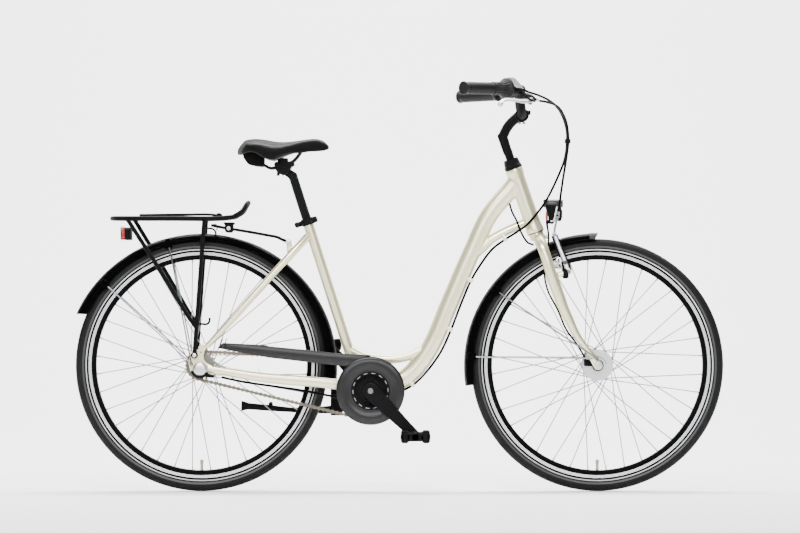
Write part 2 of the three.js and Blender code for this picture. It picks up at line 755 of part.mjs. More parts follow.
function rackStayRods() {
  const rods = [-1, 1].map((hand) => {
    const bolt = rodBoltPlace.clone().setY(hand * rodSpread);
    const back = bolt.clone().add(vector(-stayRodLead, 0, stayRodLead * stayRodDrop));
    const eye = lugEye.clone().setY(hand * rodSpread);
    const bend = eye.clone().add(vector(-stayRodBend, 0, stayRodBend * 0.56));
    return bentBar([back, bolt, bend, eye], stayRodRadius);
  });
  const bolts = [-1, 1].map((hand) => {
    const inner = lugEye.clone().setY(hand * (rodSpread - stayRodRadius));
    const outer = lugEye.clone().setY(hand * (rodSpread + stayRodRadius * 1.5));
    return rod(inner, outer, lugRadius, smallSides);
  });
  return join(...rods, ...bolts, acrossRod(rodBoltPlace, rodBoltRadius, rodSpread, smallSides));
}
piece(frameGroup, 'rack_stay_rod', rackStayRods(), finishes.black);

// Spring clip on the rack: a sleeve round the pin, with a bent wire that presses a load onto the deck.
const clipGroup = new THREE.Group();
bicycle.add(clipGroup);
const clipWireRadius = 2.6;
const clipWireRise = 1;
const clipReach = 215;
const clipHalfWidth = 18;
const clipSleeveRadius = 6;

function springClip() {
  const wall = bore(clipPinRadius, gap, smallSides);
  const sleeveHalf = rackBarHalfSpacing - rackTubeRadius / 2 - runningGap;
  const sleeve = turned([
    [wall, -sleeveHalf], [clipSleeveRadius, -sleeveHalf], [clipSleeveRadius, sleeveHalf], [wall, sleeveHalf],
  ], clipPinPlace, side, smallSides);
  const end = clipPinPlace.clone().add(vector(-clipReach, 0, clipWireRise));
  const arms = [-1, 1].map((hand) => {
    const start = clipPinPlace.clone().add(vector(-wall, hand * clipHalfWidth, clipWireRise));
    return rod(start, across(end, hand * clipHalfWidth), clipWireRadius, wireSides);
  });
  const cross = acrossRod(end, clipWireRadius, clipHalfWidth * 1.5, wireSides);
  return join(sleeve, ...arms, cross);
}
piece(clipGroup, 'rack_spring_clip', springClip(), finishes.black);

// Rear light, on the plate behind the rack.
const rearLightDepth = 17;
const rearLightLensDepth = 12;
const rearLightHalfWidth = 38;
const rearLightDrop = 25;
const rearLightHeight = 35;
const rearLightTop = rackDeckHeight - rearLightDrop;
const rearLightBottom = rearLightTop - rearLightHeight;

function lightShell(fromX, toX, inset) {
  const outline = new THREE.Shape();
  const corner = (rearLightTop - rearLightBottom) / 2 - inset;
  const middle = (rearLightTop + rearLightBottom) / 2;
  const reach = rearLightHalfWidth - inset - corner;
  outline.absarc(reach, middle, corner, -Math.PI / 2, Math.PI / 2, false);
  outline.absarc(-reach, middle, corner, Math.PI / 2, Math.PI * 1.5, false);
  const settings = { depth: toX - fromX, bevelEnabled: false, curveSegments: 4 };
  const flat = new THREE.ExtrudeGeometry(outline, settings);
  return flat.rotateX(Math.PI / 2).rotateZ(Math.PI / 2).translate(fromX, 0, 0);
}
const lightFront = lampPlateX - gap;
const lightMiddle = lightFront - rearLightDepth;
piece(frameGroup, 'rear_light_housing', lightShell(lightMiddle, lightFront, 0), finishes.black);
piece(frameGroup, 'rear_light_lens', lightShell(
  lightMiddle - gap - rearLightLensDepth, lightMiddle - gap, overrun,
), finishes.redLens);

// Chain, chainring and sprocket share one pitch line.
const ringPitchRadius = chainPitch / (2 * Math.sin(Math.PI / chainringTeeth));
const sprocketPitchRadius = chainPitch / (2 * Math.sin(Math.PI / sprocketTeeth));
const toothRootDepth = 5;
const toothTipRise = 2.8;
const toothTipShare = 0.1;
const chainHalfHeight = 4.5;
const chainHalfWidth = 4.3;
const chainRingSteps = 20;
const chainSprocketSteps = 12;
const ringHalfThickness = 1.1;
const toothClearance = 0.35;

function gear(teeth, pitchRadius) {
  const pitchAngle = (Math.PI * 2) / teeth;
  const root = pitchRadius - toothRootDepth;
  const tip = pitchRadius + toothTipRise;
  const points = [];
  for (let tooth = 0; tooth < teeth; tooth += 1) {
    const middle = (tooth + 0.5) * pitchAngle;
    const tipAngle = toothTipShare * pitchAngle;
    points.push([root, middle - pitchAngle / 2], [tip, middle - tipAngle], [tip, middle + tipAngle]);
  }
  const places = points.map(([radius, angle]) => [radius * Math.cos(angle), radius * Math.sin(angle)]);
  return outlineThrough(places);
}

const chainLoopAngle = Math.atan2(bottomBracket.z - rearAxle.z, bottomBracket.x - rearAxle.x);
const wrapAngle = Math.acos((sprocketPitchRadius - ringPitchRadius) / chainstaySpan);

function chainLoop(offset) {
  const points = [];
  for (let step = 0; step <= chainRingSteps; step += 1) {
    const angle = chainLoopAngle - wrapAngle + (wrapAngle * 2 * step) / chainRingSteps;
    const radius = ringPitchRadius + offset;
    points.push([bottomBracket.x + radius * Math.cos(angle), bottomBracket.z + radius * Math.sin(angle)]);
  }
  for (let step = 0; step <= chainSprocketSteps; step += 1) {
    const angle = chainLoopAngle + wrapAngle + ((Math.PI - wrapAngle) * 2 * step) / chainSprocketSteps;
    const radius = sprocketPitchRadius + offset;
    points.push([rearAxle.x + radius * Math.cos(angle), rearAxle.z + radius * Math.sin(angle)]);
  }
  return points;
}

// The chain is one band, grooved along both wraps so that the teeth run between its plates.
function chain() {
  const outline = outlineThrough(chainLoop(chainHalfHeight));
  outline.holes.push(new THREE.Path(chainLoop(-chainHalfHeight).map(([x, z]) => new THREE.Vector2(x, z))));
  const band = plate(outline, -chainLine - chainHalfWidth, -chainLine + chainHalfWidth);
  const grooveHalf = ringHalfThickness + toothClearance;
  const wraps = [[bottomBracket, ringPitchRadius], [rearAxle, sprocketPitchRadius]];
  const grooves = wraps.map(([center, pitchRadius]) => {
    const radius = bore(pitchRadius + toothTipRise, toothClearance, wheelSides);
    return acrossRod(across(center, -chainLine), radius, grooveHalf, wheelSides);
  });
  return cut(band, ...grooves);
}
piece(frameGroup, 'chain', chain(), finishes.chain);

// Crank set: spindle, chainring and the two arms, with a threaded pedal axle fixed in each arm.
const crankGroup = new THREE.Group();
crankGroup.position.copy(bottomBracket);
bicycle.add(crankGroup);
const crankOuter = 76;
const crankThickness = 14;
const crankBossRadius = 21;
const crankTipRadius = 13.7;
const crankHubRadius = 15;
const spiderInnerRadius = 26;
const spiderOuterRadius = 66;
const spiderArms = 5;
const spiderArmWidth = 14;
const pedalAxleRadius = 6;
const pedalAxleLength = 100;
const pedalLength = 80;
const pedalHeight = 33.6;
const pedalRise = 2.5;
const pedalWidth = 94;
const pedalGap = 3;
const crankDirection = vector(Math.cos(radians(crankAngle)), 0, -Math.sin(radians(crankAngle)));
const pedalCenter = crankDirection.clone().multiplyScalar(crankLength);

// Places along an arc about the origin, in the plane of X and Z.
function arc(radius, fromAngle, toAngle, steps) {
  const places = [];
  for (let step = 0; step <= steps; step += 1) {
    const angle = THREE.MathUtils.lerp(fromAngle, toAngle, step / steps);
    places.push(new THREE.Vector2(radius * Math.cos(angle), radius * Math.sin(angle)));
  }
  return places;
}

function chainring() {
  const outline = gear(chainringTeeth, ringPitchRadius);
  const turn = Math.PI * 2;
  outline.holes.push(new THREE.Path(arc(bore(crankHubRadius), 0, turn, tubeSides).slice(1)));
  const span = turn / spiderArms;
  const innerEdge = spiderArmWidth / 2 / spiderInnerRadius;
  const outerEdge = spiderArmWidth / 2 / spiderOuterRadius;
  for (let arm = 0; arm < spiderArms; arm += 1) {
    const start = arm * span;
    const outer = arc(spiderOuterRadius, start + outerEdge, start + span - outerEdge, 3);
    const inner = arc(spiderInnerRadius, start + span - innerEdge, start + innerEdge, 1);
    outline.holes.push(new THREE.Path([...outer, ...inner]));
  }
  return plate(outline, -chainLine - ringHalfThickness, -chainLine + ringHalfThickness);
}
piece(crankGroup, 'chainring', chainring(), finishes.black);

// One crank arm at negative Y, with its boss reaching inwards to the given place.
function crankArm(bossInner) {
  const middle = -crankOuter + crankThickness / 2;
  const arm = link(
    vector(0, middle, 0), pedalCenter.clone().setY(middle), crankBossRadius, crankTipRadius, crankThickness,
    side, 4,
  );
  const boss = rod(vector(0, -crankOuter + overrun, 0), vector(0, bossInner, 0), crankHubRadius);
  const axleStart = pedalCenter.clone().setY(middle);
  const axleEnd = pedalCenter.clone().setY(-crankOuter - pedalAxleLength);
  const solid = join(arm, boss, rod(axleStart, axleEnd, pedalAxleRadius));
  return cut(solid, acrossRod(vector(0, 0, 0), bore(spindleRadius), crankOuter + overrun));
}
const leftBossInner = -(crankOuter - crankThickness) + overrun;
piece(crankGroup, 'right_crank', crankArm(-chainLine + ringHalfThickness + overrun), finishes.black);
piece(crankGroup, 'left_crank', crankArm(leftBossInner).rotateZ(Math.PI).scale(1, 1, -1), finishes.black);
piece(crankGroup, 'crank_spindle', acrossRod(origin, spindleRadius, crankOuter + overrun), finishes.steel);

// Pedals: a flat body with a bore for its axle and two windows.
function pedal() {
  const halfLength = pedalLength / 2;
  const halfHeight = pedalHeight / 2;
  const chamferShare = 0.55;
  const outline = outlineThrough([
    [-halfLength, -halfHeight * chamferShare], [-halfLength * chamferShare, -halfHeight],
    [halfLength * chamferShare, -halfHeight], [halfLength, -halfHeight * chamferShare],
    [halfLength, halfHeight * chamferShare], [halfLength * chamferShare, halfHeight],
    [-halfLength * chamferShare, halfHeight], [-halfLength, halfHeight * chamferShare],
  ]);
  const body = plate(outline, -pedalWidth / 2, pedalWidth / 2).translate(0, 0, pedalRise);
  const windowHalf = halfLength * 0.22;
  const windows = [-1, 1].map((hand) => block(
    vector(hand * halfLength * 0.55 - windowHalf, -pedalWidth * 0.36, -pedalHeight),
    vector(hand * halfLength * 0.55 + windowHalf, pedalWidth * 0.36, pedalHeight),
  ));
  return cut(body, ...windows, acrossRod(vector(0, 0, 0), bore(pedalAxleRadius, runningGap), pedalWidth));
}

function placedPedal(name, hand) {
  const group = new THREE.Group();
  group.position.copy(bottomBracket).addScaledVector(pedalCenter, -hand);
  group.position.y = hand * (crankOuter + pedalGap + pedalWidth / 2);
  bicycle.add(group);
  piece(group, name, pedal(), finishes.black);
}
placedPedal('right_pedal', -1);
placedPedal('left_pedal', 1);

// Rear sprocket with the driver that carries it on the hub.
const sprocketGroup = new THREE.Group();
sprocketGroup.position.copy(rearAxle);
bicycle.add(sprocketGroup);
const driverRadius = 17;
const driverInner = 41;
const driverOuter = 59;

function rearSprocket() {
  const outline = gear(sprocketTeeth, sprocketPitchRadius);
  const teeth = plate(outline, -chainLine - ringHalfThickness, -chainLine + ringHalfThickness);
  const driver = rod(vector(0, -driverOuter, 0), vector(0, -driverInner, 0), driverRadius);
  return cut(join(teeth, driver), acrossRod(origin, bore(axleRadius, runningGap), driverOuter + overrun));
}
piece(sprocketGroup, 'rear_sprocket', rearSprocket(), finishes.steel);

// Wheels. Each is a tyre, an inner tube with its valve, a rim, and a hub laced with spokes.
const tyreHeight = 34;
const rimBedDepth = 17.5;
const rimDepth = 22.7;
const rimOuterRadius = wheelRadius - tyreHeight;
const rimBedRadius = rimOuterRadius - rimBedDepth;
const rimInnerRadius = rimOuterRadius - rimDepth;
const rimWall = 1.5;
const rimInnerHalfWidth = 11.4;
const tyreWall = 3.5;
const tyreBeadWall = 3.2;
const tyreBeadDepth = 8;
const valveRadius = 3;
const valveReach = 31.3;
const valveTipRadius = rimInnerRadius - valveReach;
const tubeRise = 7;
const tubeCenterRadius = rimOuterRadius + tubeRise;
const tubeHalfHeight = 12;
const tubeHalfWidth = 7.5;
const tubeSection = 5;
const spokeRadius = 1.2;
const spokeCount = 36;
const spokeCross = 60;
const spokeHubOffset = 2.2;
const spokeRimOffset = 1.8;
const tyreShares = [[1, 0.42], [0.34, 1]];
const tyreInnerShares = [[0.7, 0.42]];

function tyre() {
  const halfWidth = tyreWidth / 2;
  const beadOuter = rimWidth / 2 - rimWall - gap;
  const beadInner = beadOuter - tyreBeadWall;
  const beadLow = rimOuterRadius - tyreBeadDepth;
  const beadHigh = rimOuterRadius + overrun;
  const height = wheelRadius - beadHigh;
  const outer = tyreShares.map(([width, rise]) => [beadHigh + height * rise, halfWidth * width]);
  const inner = tyreInnerShares.map(([width, rise]) => [
    beadHigh + (height - tyreWall) * rise, (halfWidth - tyreWall) * width,
  ]);
  const half = [[beadLow, beadOuter], [beadHigh, beadOuter], ...outer];
  const lining = [[beadLow, beadInner], ...inner];
  const otherHalf = half.map(([radius, y]) => [radius, -y]).reverse();
  const otherLining = lining.map(([radius, y]) => [radius, -y]);
  const crown = [[wheelRadius - tyreWall, 0]];
  const section = [...half, ...otherHalf, ...otherLining, ...crown, ...lining.reverse()];
  return turned(section, origin, side, wheelSides);
}

function rim() {
  const half = rimWidth / 2;
  const hoop = turned([
    [rimOuterRadius, half], [rimInnerRadius, rimInnerHalfWidth], [rimInnerRadius, -rimInnerHalfWidth],
    [rimOuterRadius, -half], [rimOuterRadius, -half + rimWall], [rimBedRadius, -half + rimWall],
    [rimBedRadius, half - rimWall], [rimOuterRadius, half - rimWall],
  ], origin, side, wheelSides);
  const valveHole = rod(
    vector(0, 0, -rimBedRadius - overrun), vector(0, 0, -rimInnerRadius + overrun),
    bore(valveRadius, gap, smallSides), smallSides,
  );
  return cut(hoop, valveHole);
}

function innerTube() {
  const profile = [];
  for (let corner = 0; corner < tubeSection; corner += 1) {
    const angle = (corner / tubeSection) * Math.PI * 2;
    profile.push([tubeCenterRadius + tubeHalfHeight * Math.cos(angle), tubeHalfWidth * Math.sin(angle)]);
  }
  const ring = turned(profile, origin, side, innerTubeSides);
  const valve = rod(
    vector(0, 0, -tubeCenterRadius), vector(0, 0, -valveTipRadius), valveRadius, smallSides,
  );
  return join(ring, valve);
}

// Spokes run from each flange to the rim, leaning forwards and backwards in turn.
function spokes(flangeRadius, flangePlaces) {
  const reach = (rimInnerRadius - gap) * Math.cos(Math.PI / wheelSides) - runningGap;
  const all = [];
  for (let spoke = 0; spoke < spokeCount; spoke += 1) {
    const rimAngle = ((spoke + 0.5) / spokeCount) * 360;
    const hand = spoke % 2 === 0 ? 1 : -1;
    const lean = spoke % 4 < 2 ? 1 : -1;
    const flange = flangePlaces[(hand + 1) / 2];
    const hubAngle = rimAngle + lean * spokeCross;
    const start = round(origin, flangeRadius, hubAngle, flange + lean * spokeHubOffset);
    const end = round(origin, reach, rimAngle, hand * spokeRimOffset);
    all.push(roundTube([start, end], spokeRadius, 1, 3));
  }
  return mergeGeometries(all.map(weld));
}

const rearFlangeRadius = 30;
const rearFlangePlaces = [-36, 38];
const rearHubRadius = 25;
const rearHubEnds = [-40.5, 50];
const frontFlangeRadius = 40;
const frontFlangePlaces = [-27, 27];
const frontHubRadius = 37;
const frontHubEnds = [-33, 36];
const flangeHalfThickness = 3.4;
const flangeEdge = 3;

function hub(flangeRadius, flangePlaces, shellOuter, ends, shaftRadius) {
  const hole = bore(shaftRadius, runningGap);
  const edge = flangeRadius + flangeEdge;
  const [low, high] = flangePlaces;
  const body = turned([
    [hole, ends[0]], [shellOuter * 0.6, ends[0]], [shellOuter * 0.6, low - flangeHalfThickness],
    [edge, low - flangeHalfThickness], [edge, low + flangeHalfThickness],
    [shellOuter, low + flangeHalfThickness], [shellOuter, high - flangeHalfThickness],
    [edge, high - flangeHalfThickness], [edge, high + flangeHalfThickness],
    [shellOuter * 0.6, high + flangeHalfThickness],
    [shellOuter * 0.6, ends[1]], [hole, ends[1]],
  ], origin, side, tubeSides);
  const laced = spokes(flangeRadius, flangePlaces);
  return join(body, laced);
}

function wheel(group, prefix, hubSolid) {
  piece(group, `${prefix}_tyre`, tyre(), finishes.rubber);
  piece(group, `${prefix}_rim`, rim(), finishes.silver);
  piece(group, `${prefix}_inner_tube`, innerTube(), finishes.rubber);
  piece(group, `${prefix}_hub_and_spokes`, hubSolid, finishes.silver);
}

const rearWheelGroup = new THREE.Group();
rearWheelGroup.position.copy(rearAxle);
const frontWheelGroup = new THREE.Group();
frontWheelGroup.position.copy(frontAxle);
bicycle.add(rearWheelGroup, frontWheelGroup);
const frontAxleRadius = 4.5;
const rearHub = hub(rearFlangeRadius, rearFlangePlaces, rearHubRadius, rearHubEnds, axleRadius);
const frontHub = hub(frontFlangeRadius, frontFlangePlaces, frontHubRadius, frontHubEnds, frontAxleRadius);
wheel(rearWheelGroup, 'rear', rearHub);
wheel(frontWheelGroup, 'front', frontHub);

// Rear axle with its nuts, and the arm that holds the coaster brake against the left chain stay.
const nutRadius = 10;
const nutThickness = 9;
const rearAxleHalf = 84;
const coasterArmPlace = 55;
const coasterArmThickness = 3;
const coasterArmShare = 0.3;
const coasterArmWidth = 16;
const coasterDiscRadius = 18;

function rearAxleSet() {
  const nutStart = dropoutOuter + gap;
  const nutEnd = nutStart + nutThickness;
  const nuts = [-1, 1].map((hand) => rod(
    across(rearAxle, hand * nutStart), across(rearAxle, hand * nutEnd), nutRadius, wireSides,
  ));
  const disc = rod(
    across(rearAxle, coasterArmPlace - coasterArmThickness / 2),
    across(rearAxle, coasterArmPlace + coasterArmThickness / 2), coasterDiscRadius,
  );
  const stay = curveThrough(chainStayLine);
  const hold = stay.getPointAt(1 - coasterArmShare);
  const stayHalf = mix(chainStayHalfWidths, 1 - coasterArmShare);
  const clampPlace = across(hold, -stayHalf - gap - coasterArmThickness / 2);
  const arm = strap([
    across(rearAxle, coasterArmPlace), across(rearAxle, coasterArmPlace).lerp(clampPlace, 0.5), clampPlace,
  ], coasterArmWidth, coasterArmThickness, 2, upright);
  return join(acrossRod(rearAxle, axleRadius, rearAxleHalf), ...nuts, disc, arm);
}
piece(frameGroup, 'rear_axle_and_brake_arm', rearAxleSet(), finishes.steel);

// Shift actuator on the right end of the rear axle, behind the dropout.
const actuatorPlace = rearAxle.clone().add(vector(-dropoutReach * 0.05, 0, -dropoutReach * 0.35));
const actuatorRadius = 20;
const actuatorInner = dropoutOuter + gap + nutThickness + gap;
const actuatorDepth = 12;
const actuatorSpout = 26;
const actuatorSpoutRadius = 5;

function shiftActuator() {
  const cupInner = across(actuatorPlace, -actuatorInner);
  const cup = rod(cupInner, across(cupInner, -actuatorDepth), actuatorRadius);
  const spoutStart = across(cupInner, -actuatorDepth / 2);
  const spoutEnd = spoutStart.clone().add(vector(actuatorSpout, 0, -actuatorSpout * 0.35));
  const spout = rod(spoutStart, spoutEnd, actuatorSpoutRadius, smallSides);
  return cut(join(cup, spout), acrossRod(rearAxle, bore(axleRadius), rearAxleHalf + overrun));
}
piece(frameGroup, 'shift_actuator', shiftActuator(), finishes.steel);

// Chain guard: a disc over the chainring and a strip along the upper run, held by a bracket and a rear clip.
const guardOuterFace = 58;
const guardPlateThickness = 2.5;
const guardDiscRadius = 94.5;
const guardHoleRadius = 51;
const holeSides = 24;
const guardBracketHalfLength = 6;
const guardBracketRise = 97;
const guardBracketHeight = 6.4;
const guardClipRadius = 1.6;
const guardClipRise = 20;
const guardStripShares = [
  [-0.894, 1.249], [-0.861, 1.376], [-0.61, 1.3], [-0.59, 1.25], [-0.205, 1.048], [0, 1.02],
];
const guardLowerShares = [[0, 0.7], [-0.205, 0.815], [-0.64, 1.069], [-0.894, 1.249]];

function chainGuard() {
  const inner = -guardOuterFace;
  const outer = inner + guardPlateThickness;
  const toPlace = ([along, rise]) => [
    bottomBracket.x + along * chainstaySpan, bottomBracket.z + rise * guardDiscRadius,
  ];
  const outline = [...guardStripShares, ...guardLowerShares.slice(0, -1)].map(toPlace);
  const strip = plate(outlineThrough(outline), inner, outer);
  const disc = rod(across(bottomBracket, inner), across(bottomBracket, outer), guardDiscRadius, wheelSides);
  const seatPlace = onSeatTube(guardBracketRise / Math.cos(radians(seatTubeLean)));
  const bracket = block(
    vector(seatPlace.x - guardBracketHalfLength, inner, seatPlace.z - guardBracketHeight),
    vector(seatPlace.x + guardBracketHalfLength, 0, seatPlace.z),
  );
  const [endX, endZ] = toPlace(guardStripShares[1]);
  const clipStart = vector(endX + guardClipRise * 0.5, (inner + outer) / 2, endZ - guardClipRise * 0.5);
  const clipEnd = clipStart.clone().add(vector(-guardClipRise * 0.7, 0, guardClipRise * 1.4));
  const clip = rod(clipStart, clipEnd, guardClipRadius, wireSides);
  const holeStart = across(bottomBracket, inner - overrun);
  const holeEnd = across(bottomBracket, outer + overrun);
  return cut(
    join(strip, disc, bracket, clip), rod(holeStart, holeEnd, guardHoleRadius, holeSides),
    rod(onSeatTube(0), onSeatTube(seatTubeLength), bore(seatTubeRadius)),
  );
}
piece(frameGroup, 'chain_guard', chainGuard(), finishes.charcoal);

// Stand: a leg that swings down from the pin on its plate, folded back beside the wheel.
const standGroup = new THREE.Group();
bicycle.add(standGroup);
const standLegRadius = 6.5;
const standFootRadius = 10.5;
const standLength = 266;
const standThinShare = 0.42;
const standHeadRadius = 12;
const standHeadWidth = 10;
const standFoldAngle = 178;

function kickstandLeg() {
  const start = across(standHinge, standLegRadius + gap * 2);
  const direction = vector(Math.cos(radians(standFoldAngle)), 0, Math.sin(radians(standFoldAngle)));
  const at = (length) => start.clone().addScaledVector(direction, length);
  const head = rod(across(standHinge, gap), across(standHinge, gap + standHeadWidth), standHeadRadius);
  const thin = rod(at(0), at(standLength * standThinShare + overrun), standLegRadius, smallSides);
  const foot = rod(at(standLength * standThinShare), at(standLength), standFootRadius, 10);
  const solid = join(head, thin, foot);
  const hole = bore(standHingeRadius, gap, smallSides);
  return cut(solid, acrossRod(standHinge, hole, standSpread * 2, smallSides));
}
piece(standGroup, 'kickstand_leg', kickstandLeg(), finishes.black);

// Seat clamp: a collar on top of the seat tube, closed by a lever.
const collarHeight = 19;
const collarRadius = 17.6;
const collarOverlap = 2;
const collarLugReach = 27;
const collarLugHalf = 7;
const collarMiddle = seatTubeLength - collarOverlap + collarHeight / 2;
const clampLeverLength = 34;
const clampKnuckleRadius = 5.6;
const clampLeverPlace = collarRadius + clampKnuckleRadius + gap;
const clampLeverPivot = onSeatTube(collarMiddle, -clampLeverPlace);
const clampBladeHalf = 3;

// A round bar along the lever's pivot, as long as the knuckle or longer by some clearance.
function clampPivotRod(radius, clearance = 0) {
  const half = collarLugHalf + clearance;
  const foot = clampLeverPivot.clone().addScaledVector(seatUp, -half);
  return rod(foot, clampLeverPivot.clone().addScaledVector(seatUp, half), radius, tubeSides + 2);
}

function seatCollar() {
  const foot = onSeatTube(seatTubeLength - collarOverlap);
  const hole = bore(seatTubeRadius);
  const ring = turned([
    [hole, 0], [collarRadius, 0], [collarRadius, collarHeight], [hole, collarHeight],
  ], foot, seatUp, tubeSides + 2);
  const noseStart = onSeatTube(collarMiddle, collarRadius * 0.95);
  const nose = rod(noseStart, onSeatTube(collarMiddle, collarLugReach), collarLugHalf, smallSides);
  const rearLugStart = onSeatTube(collarMiddle, -collarRadius * 0.95);
  const rearLug = rod(rearLugStart, clampLeverPivot, collarLugHalf * 0.8, smallSides);
  const pivotBore = bore(clampKnuckleRadius, gap / 2, tubeSides + 2);
  return cut(join(ring, nose, rearLug), clampPivotRod(pivotBore, overrun));
}
piece(frameGroup, 'seat_clamp_collar', seatCollar(), finishes.black);

const clampLeverGroup = new THREE.Group();
bicycle.add(clampLeverGroup);

function seatClampLever() {
  const tip = across(clampLeverPivot, -clampLeverLength).addScaledVector(seatAhead, -clampLeverLength * 0.3);
  const knuckle = clampPivotRod(clampKnuckleRadius);
  const blade = tube(
    [clampLeverPivot, clampLeverPivot.clone().lerp(tip, 0.5), tip],
    [0.8, 0.9, 0.6].map((share) => share * collarLugHalf), [1, 1, 0.8].map((share) => share * clampBladeHalf),
    2, smallSides, seatUp,
  );
  return join(knuckle, blade);
}
piece(clampLeverGroup, 'seat_clamp_lever', seatClampLever(), finishes.black);

// Seat post, with a barrel at its top that the saddle clamp tilts on.
const seatPostGroup = new THREE.Group();
bicycle.add(seatPostGroup);
const seatPostInsert = 145;
const seatBarrelRise = 162;
const seatBarrelSetback = 16.4;
const seatBarrelRadius = 11;
const seatBarrelHalf = 29;
const postHeadHalf = 13;
const postHeadRadius = 12;
const postHeadPlace = onSeatTube(seatTubeLength + seatPostRise - postHeadRadius / 2);
const seatBarrel = onSeatTube(seatTubeLength + seatBarrelRise, -seatBarrelSetback);

// The head of the post, between its tube and the barrel, turned about the barrel and made thicker all round.
function postHead(turn = 0, extra = 0) {
  const foot = postHeadPlace.clone().sub(seatBarrel).applyAxisAngle(side, radians(turn)).add(seatBarrel);
  return link(foot, seatBarrel, postHeadRadius + extra, seatBarrelRadius + extra, (postHeadHalf + extra) * 2);
}

function seatPost() {
  const foot = onSeatTube(seatTubeLength - seatPostInsert);
  return join(
    rod(foot, onSeatTube(seatTubeLength + seatPostRise), seatPostRadius),
    postHead(),
    acrossRod(seatBarrel, seatBarrelRadius, seatBarrelHalf),
  );
}
piece(seatPostGroup, 'seat_post', seatPost(), finishes.black);

// Saddle: a padded shell on two rails, with a clamp on the rails and a sprung housing under the rear.
const saddleGroup = new THREE.Group();
bicycle.add(saddleGroup);
const saddleLength = 254;
const saddleHalfWidth = 87.5;
const saddleDepth = 62;
const saddleRise = 87.9;
const saddleRearReach = 131.4;
const saddleTop = seatBarrel.z + saddleRise;
const saddleRear = seatBarrel.x - saddleRearReach;
const saddleUndersideRise = 14;
const saddleShares = [
  [0, 0.2, 0.5, 0.72], [0.03, 0.52, 0.32, 0.73], [0.08, 0.74, 0.09, 0.7], [0.14, 0.88, 0.02, 0.655],
  [0.2, 0.96, 0, 0.68], [0.27, 1, 0.015, 0.84], [0.34, 0.98, 0.055, 0.97], [0.41, 0.9, 0.11, 1],
  [0.48, 0.76, 0.135, 0.88], [0.55, 0.58, 0.13, 0.76], [0.62, 0.44, 0.1, 0.67], [0.7, 0.34, 0.055, 0.65],
  [0.78, 0.29, 0.015, 0.6], [0.86, 0.26, 0, 0.585], [0.93, 0.23, 0.08, 0.56], [0.98, 0.16, 0.24, 0.5],
  [1, 0.07, 0.34, 0.44],
];
const saddleArcSteps = 12;
const undersideShares = [-0.86, -0.5, 0, 0.5, 0.86];

function saddleShell() {
  const rings = saddleShares.map(([along, width, topShare, skirtShare]) => {
    const x = saddleRear + along * saddleLength;
    const top = saddleTop - topShare * saddleDepth;
    const skirt = saddleTop - skirtShare * saddleDepth;
    const half = width * saddleHalfWidth;
    const ring = [];
    for (let step = 0; step <= saddleArcSteps; step += 1) {
      const angle = Math.PI * (step / saddleArcSteps);
      const spread = Math.sign(Math.cos(angle)) * Math.abs(Math.cos(angle)) ** 0.75;
      ring.push(vector(x, half * spread, skirt + (top - skirt) * Math.sin(angle) ** 0.7));
    }
    const rise = Math.min(saddleUndersideRise, (top - skirt) * 0.4);
    undersideShares.forEach((share) => {
      ring.push(vector(x, half * share, skirt + rise * (1 - share ** 2)));
    });
    return ring;
  });
  return skin(rings);
}
const saddleSolid = saddleShell();
piece(saddleGroup, 'saddle_shell', saddleSolid, finishes.black);

const railRadius = 3.5;
const railHalfSpacing = 22;
const railShares = [
  [0.19, 1.06, 0], [0.2, 1.1, 0.8], [0.26, 1.14, 1], [0.293, 1.185, 1], [0.37, 1.32, 1], [0.5, 1.16, 1],
  [0.6, 1.03, 1], [0.645, 0.86, 1], [0.7, 0.56, 0.7],
];
const railSteps = 20;
const seatClampHalfWidth = 30;
const seatClampTilt = 9;
const seatClampShares = [
  [0, 0], [-1.1, -0.9], [-1.4, -0.9], [-1.85, 0.3], [-1.85, 1.7], [-1.25, 2.1], [-1.2, 3.1], [0.75, 3.1],
  [0.85, 2], [1.65, 1.7], [1.65, 0.4], [1.1, 0.4],
];
const housingHalfWidth = 46;
const housingShares = [[0.05, 0.5], [0.3, 0.5], [0.293, 1.265], [0.12, 1.16], [0.075, 0.9]];
const shellDrop = vector(0, 0, -gap);

function saddlePlace([along, drop, out = 0]) {
  return vector(saddleRear + along * saddleLength, out * railHalfSpacing, saddleTop - drop * saddleDepth);
}

function railWire(radius) {
  const half = railShares.map(saddlePlace);
  const other = half.slice(1).map((place) => place.clone().setY(-place.y)).reverse();
  return wire([...other, ...half], radius, railSteps, smallSides);
}
const shellCutter = moved(saddleSolid, shellDrop);
piece(saddleGroup, 'saddle_rails', cut(railWire(railRadius), shellCutter), finishes.black);

function saddleClamp() {
  const outline = outlineThrough(seatClampShares.map(([ahead, rise]) => [
    seatBarrel.x + ahead * seatBarrelRadius, seatBarrel.z + rise * seatBarrelRadius,
  ]));
  return cut(
    plate(outline, -seatClampHalfWidth, seatClampHalfWidth), railWire(railRadius + gap * 1.5), shellCutter,
    acrossRod(seatBarrel, bore(seatBarrelRadius), seatClampHalfWidth + overrun),
    postHead(seatClampTilt, runningGap), postHead(-seatClampTilt, runningGap),
  );
}
piece(saddleGroup, 'saddle_clamp', saddleClamp(), finishes.black);

function saddleHousing() {
  const outline = outlineThrough(housingShares.map((share) => {
    const place = saddlePlace(share);
    return [place.x, place.z];
  }));
  const solid = plate(outline, -housingHalfWidth, housingHalfWidth);
  return cut(solid, shellCutter, railWire(railRadius + gap * 1.5));
}
piece(saddleGroup, 'saddle_rear_housing', saddleHousing(), finishes.charcoal);

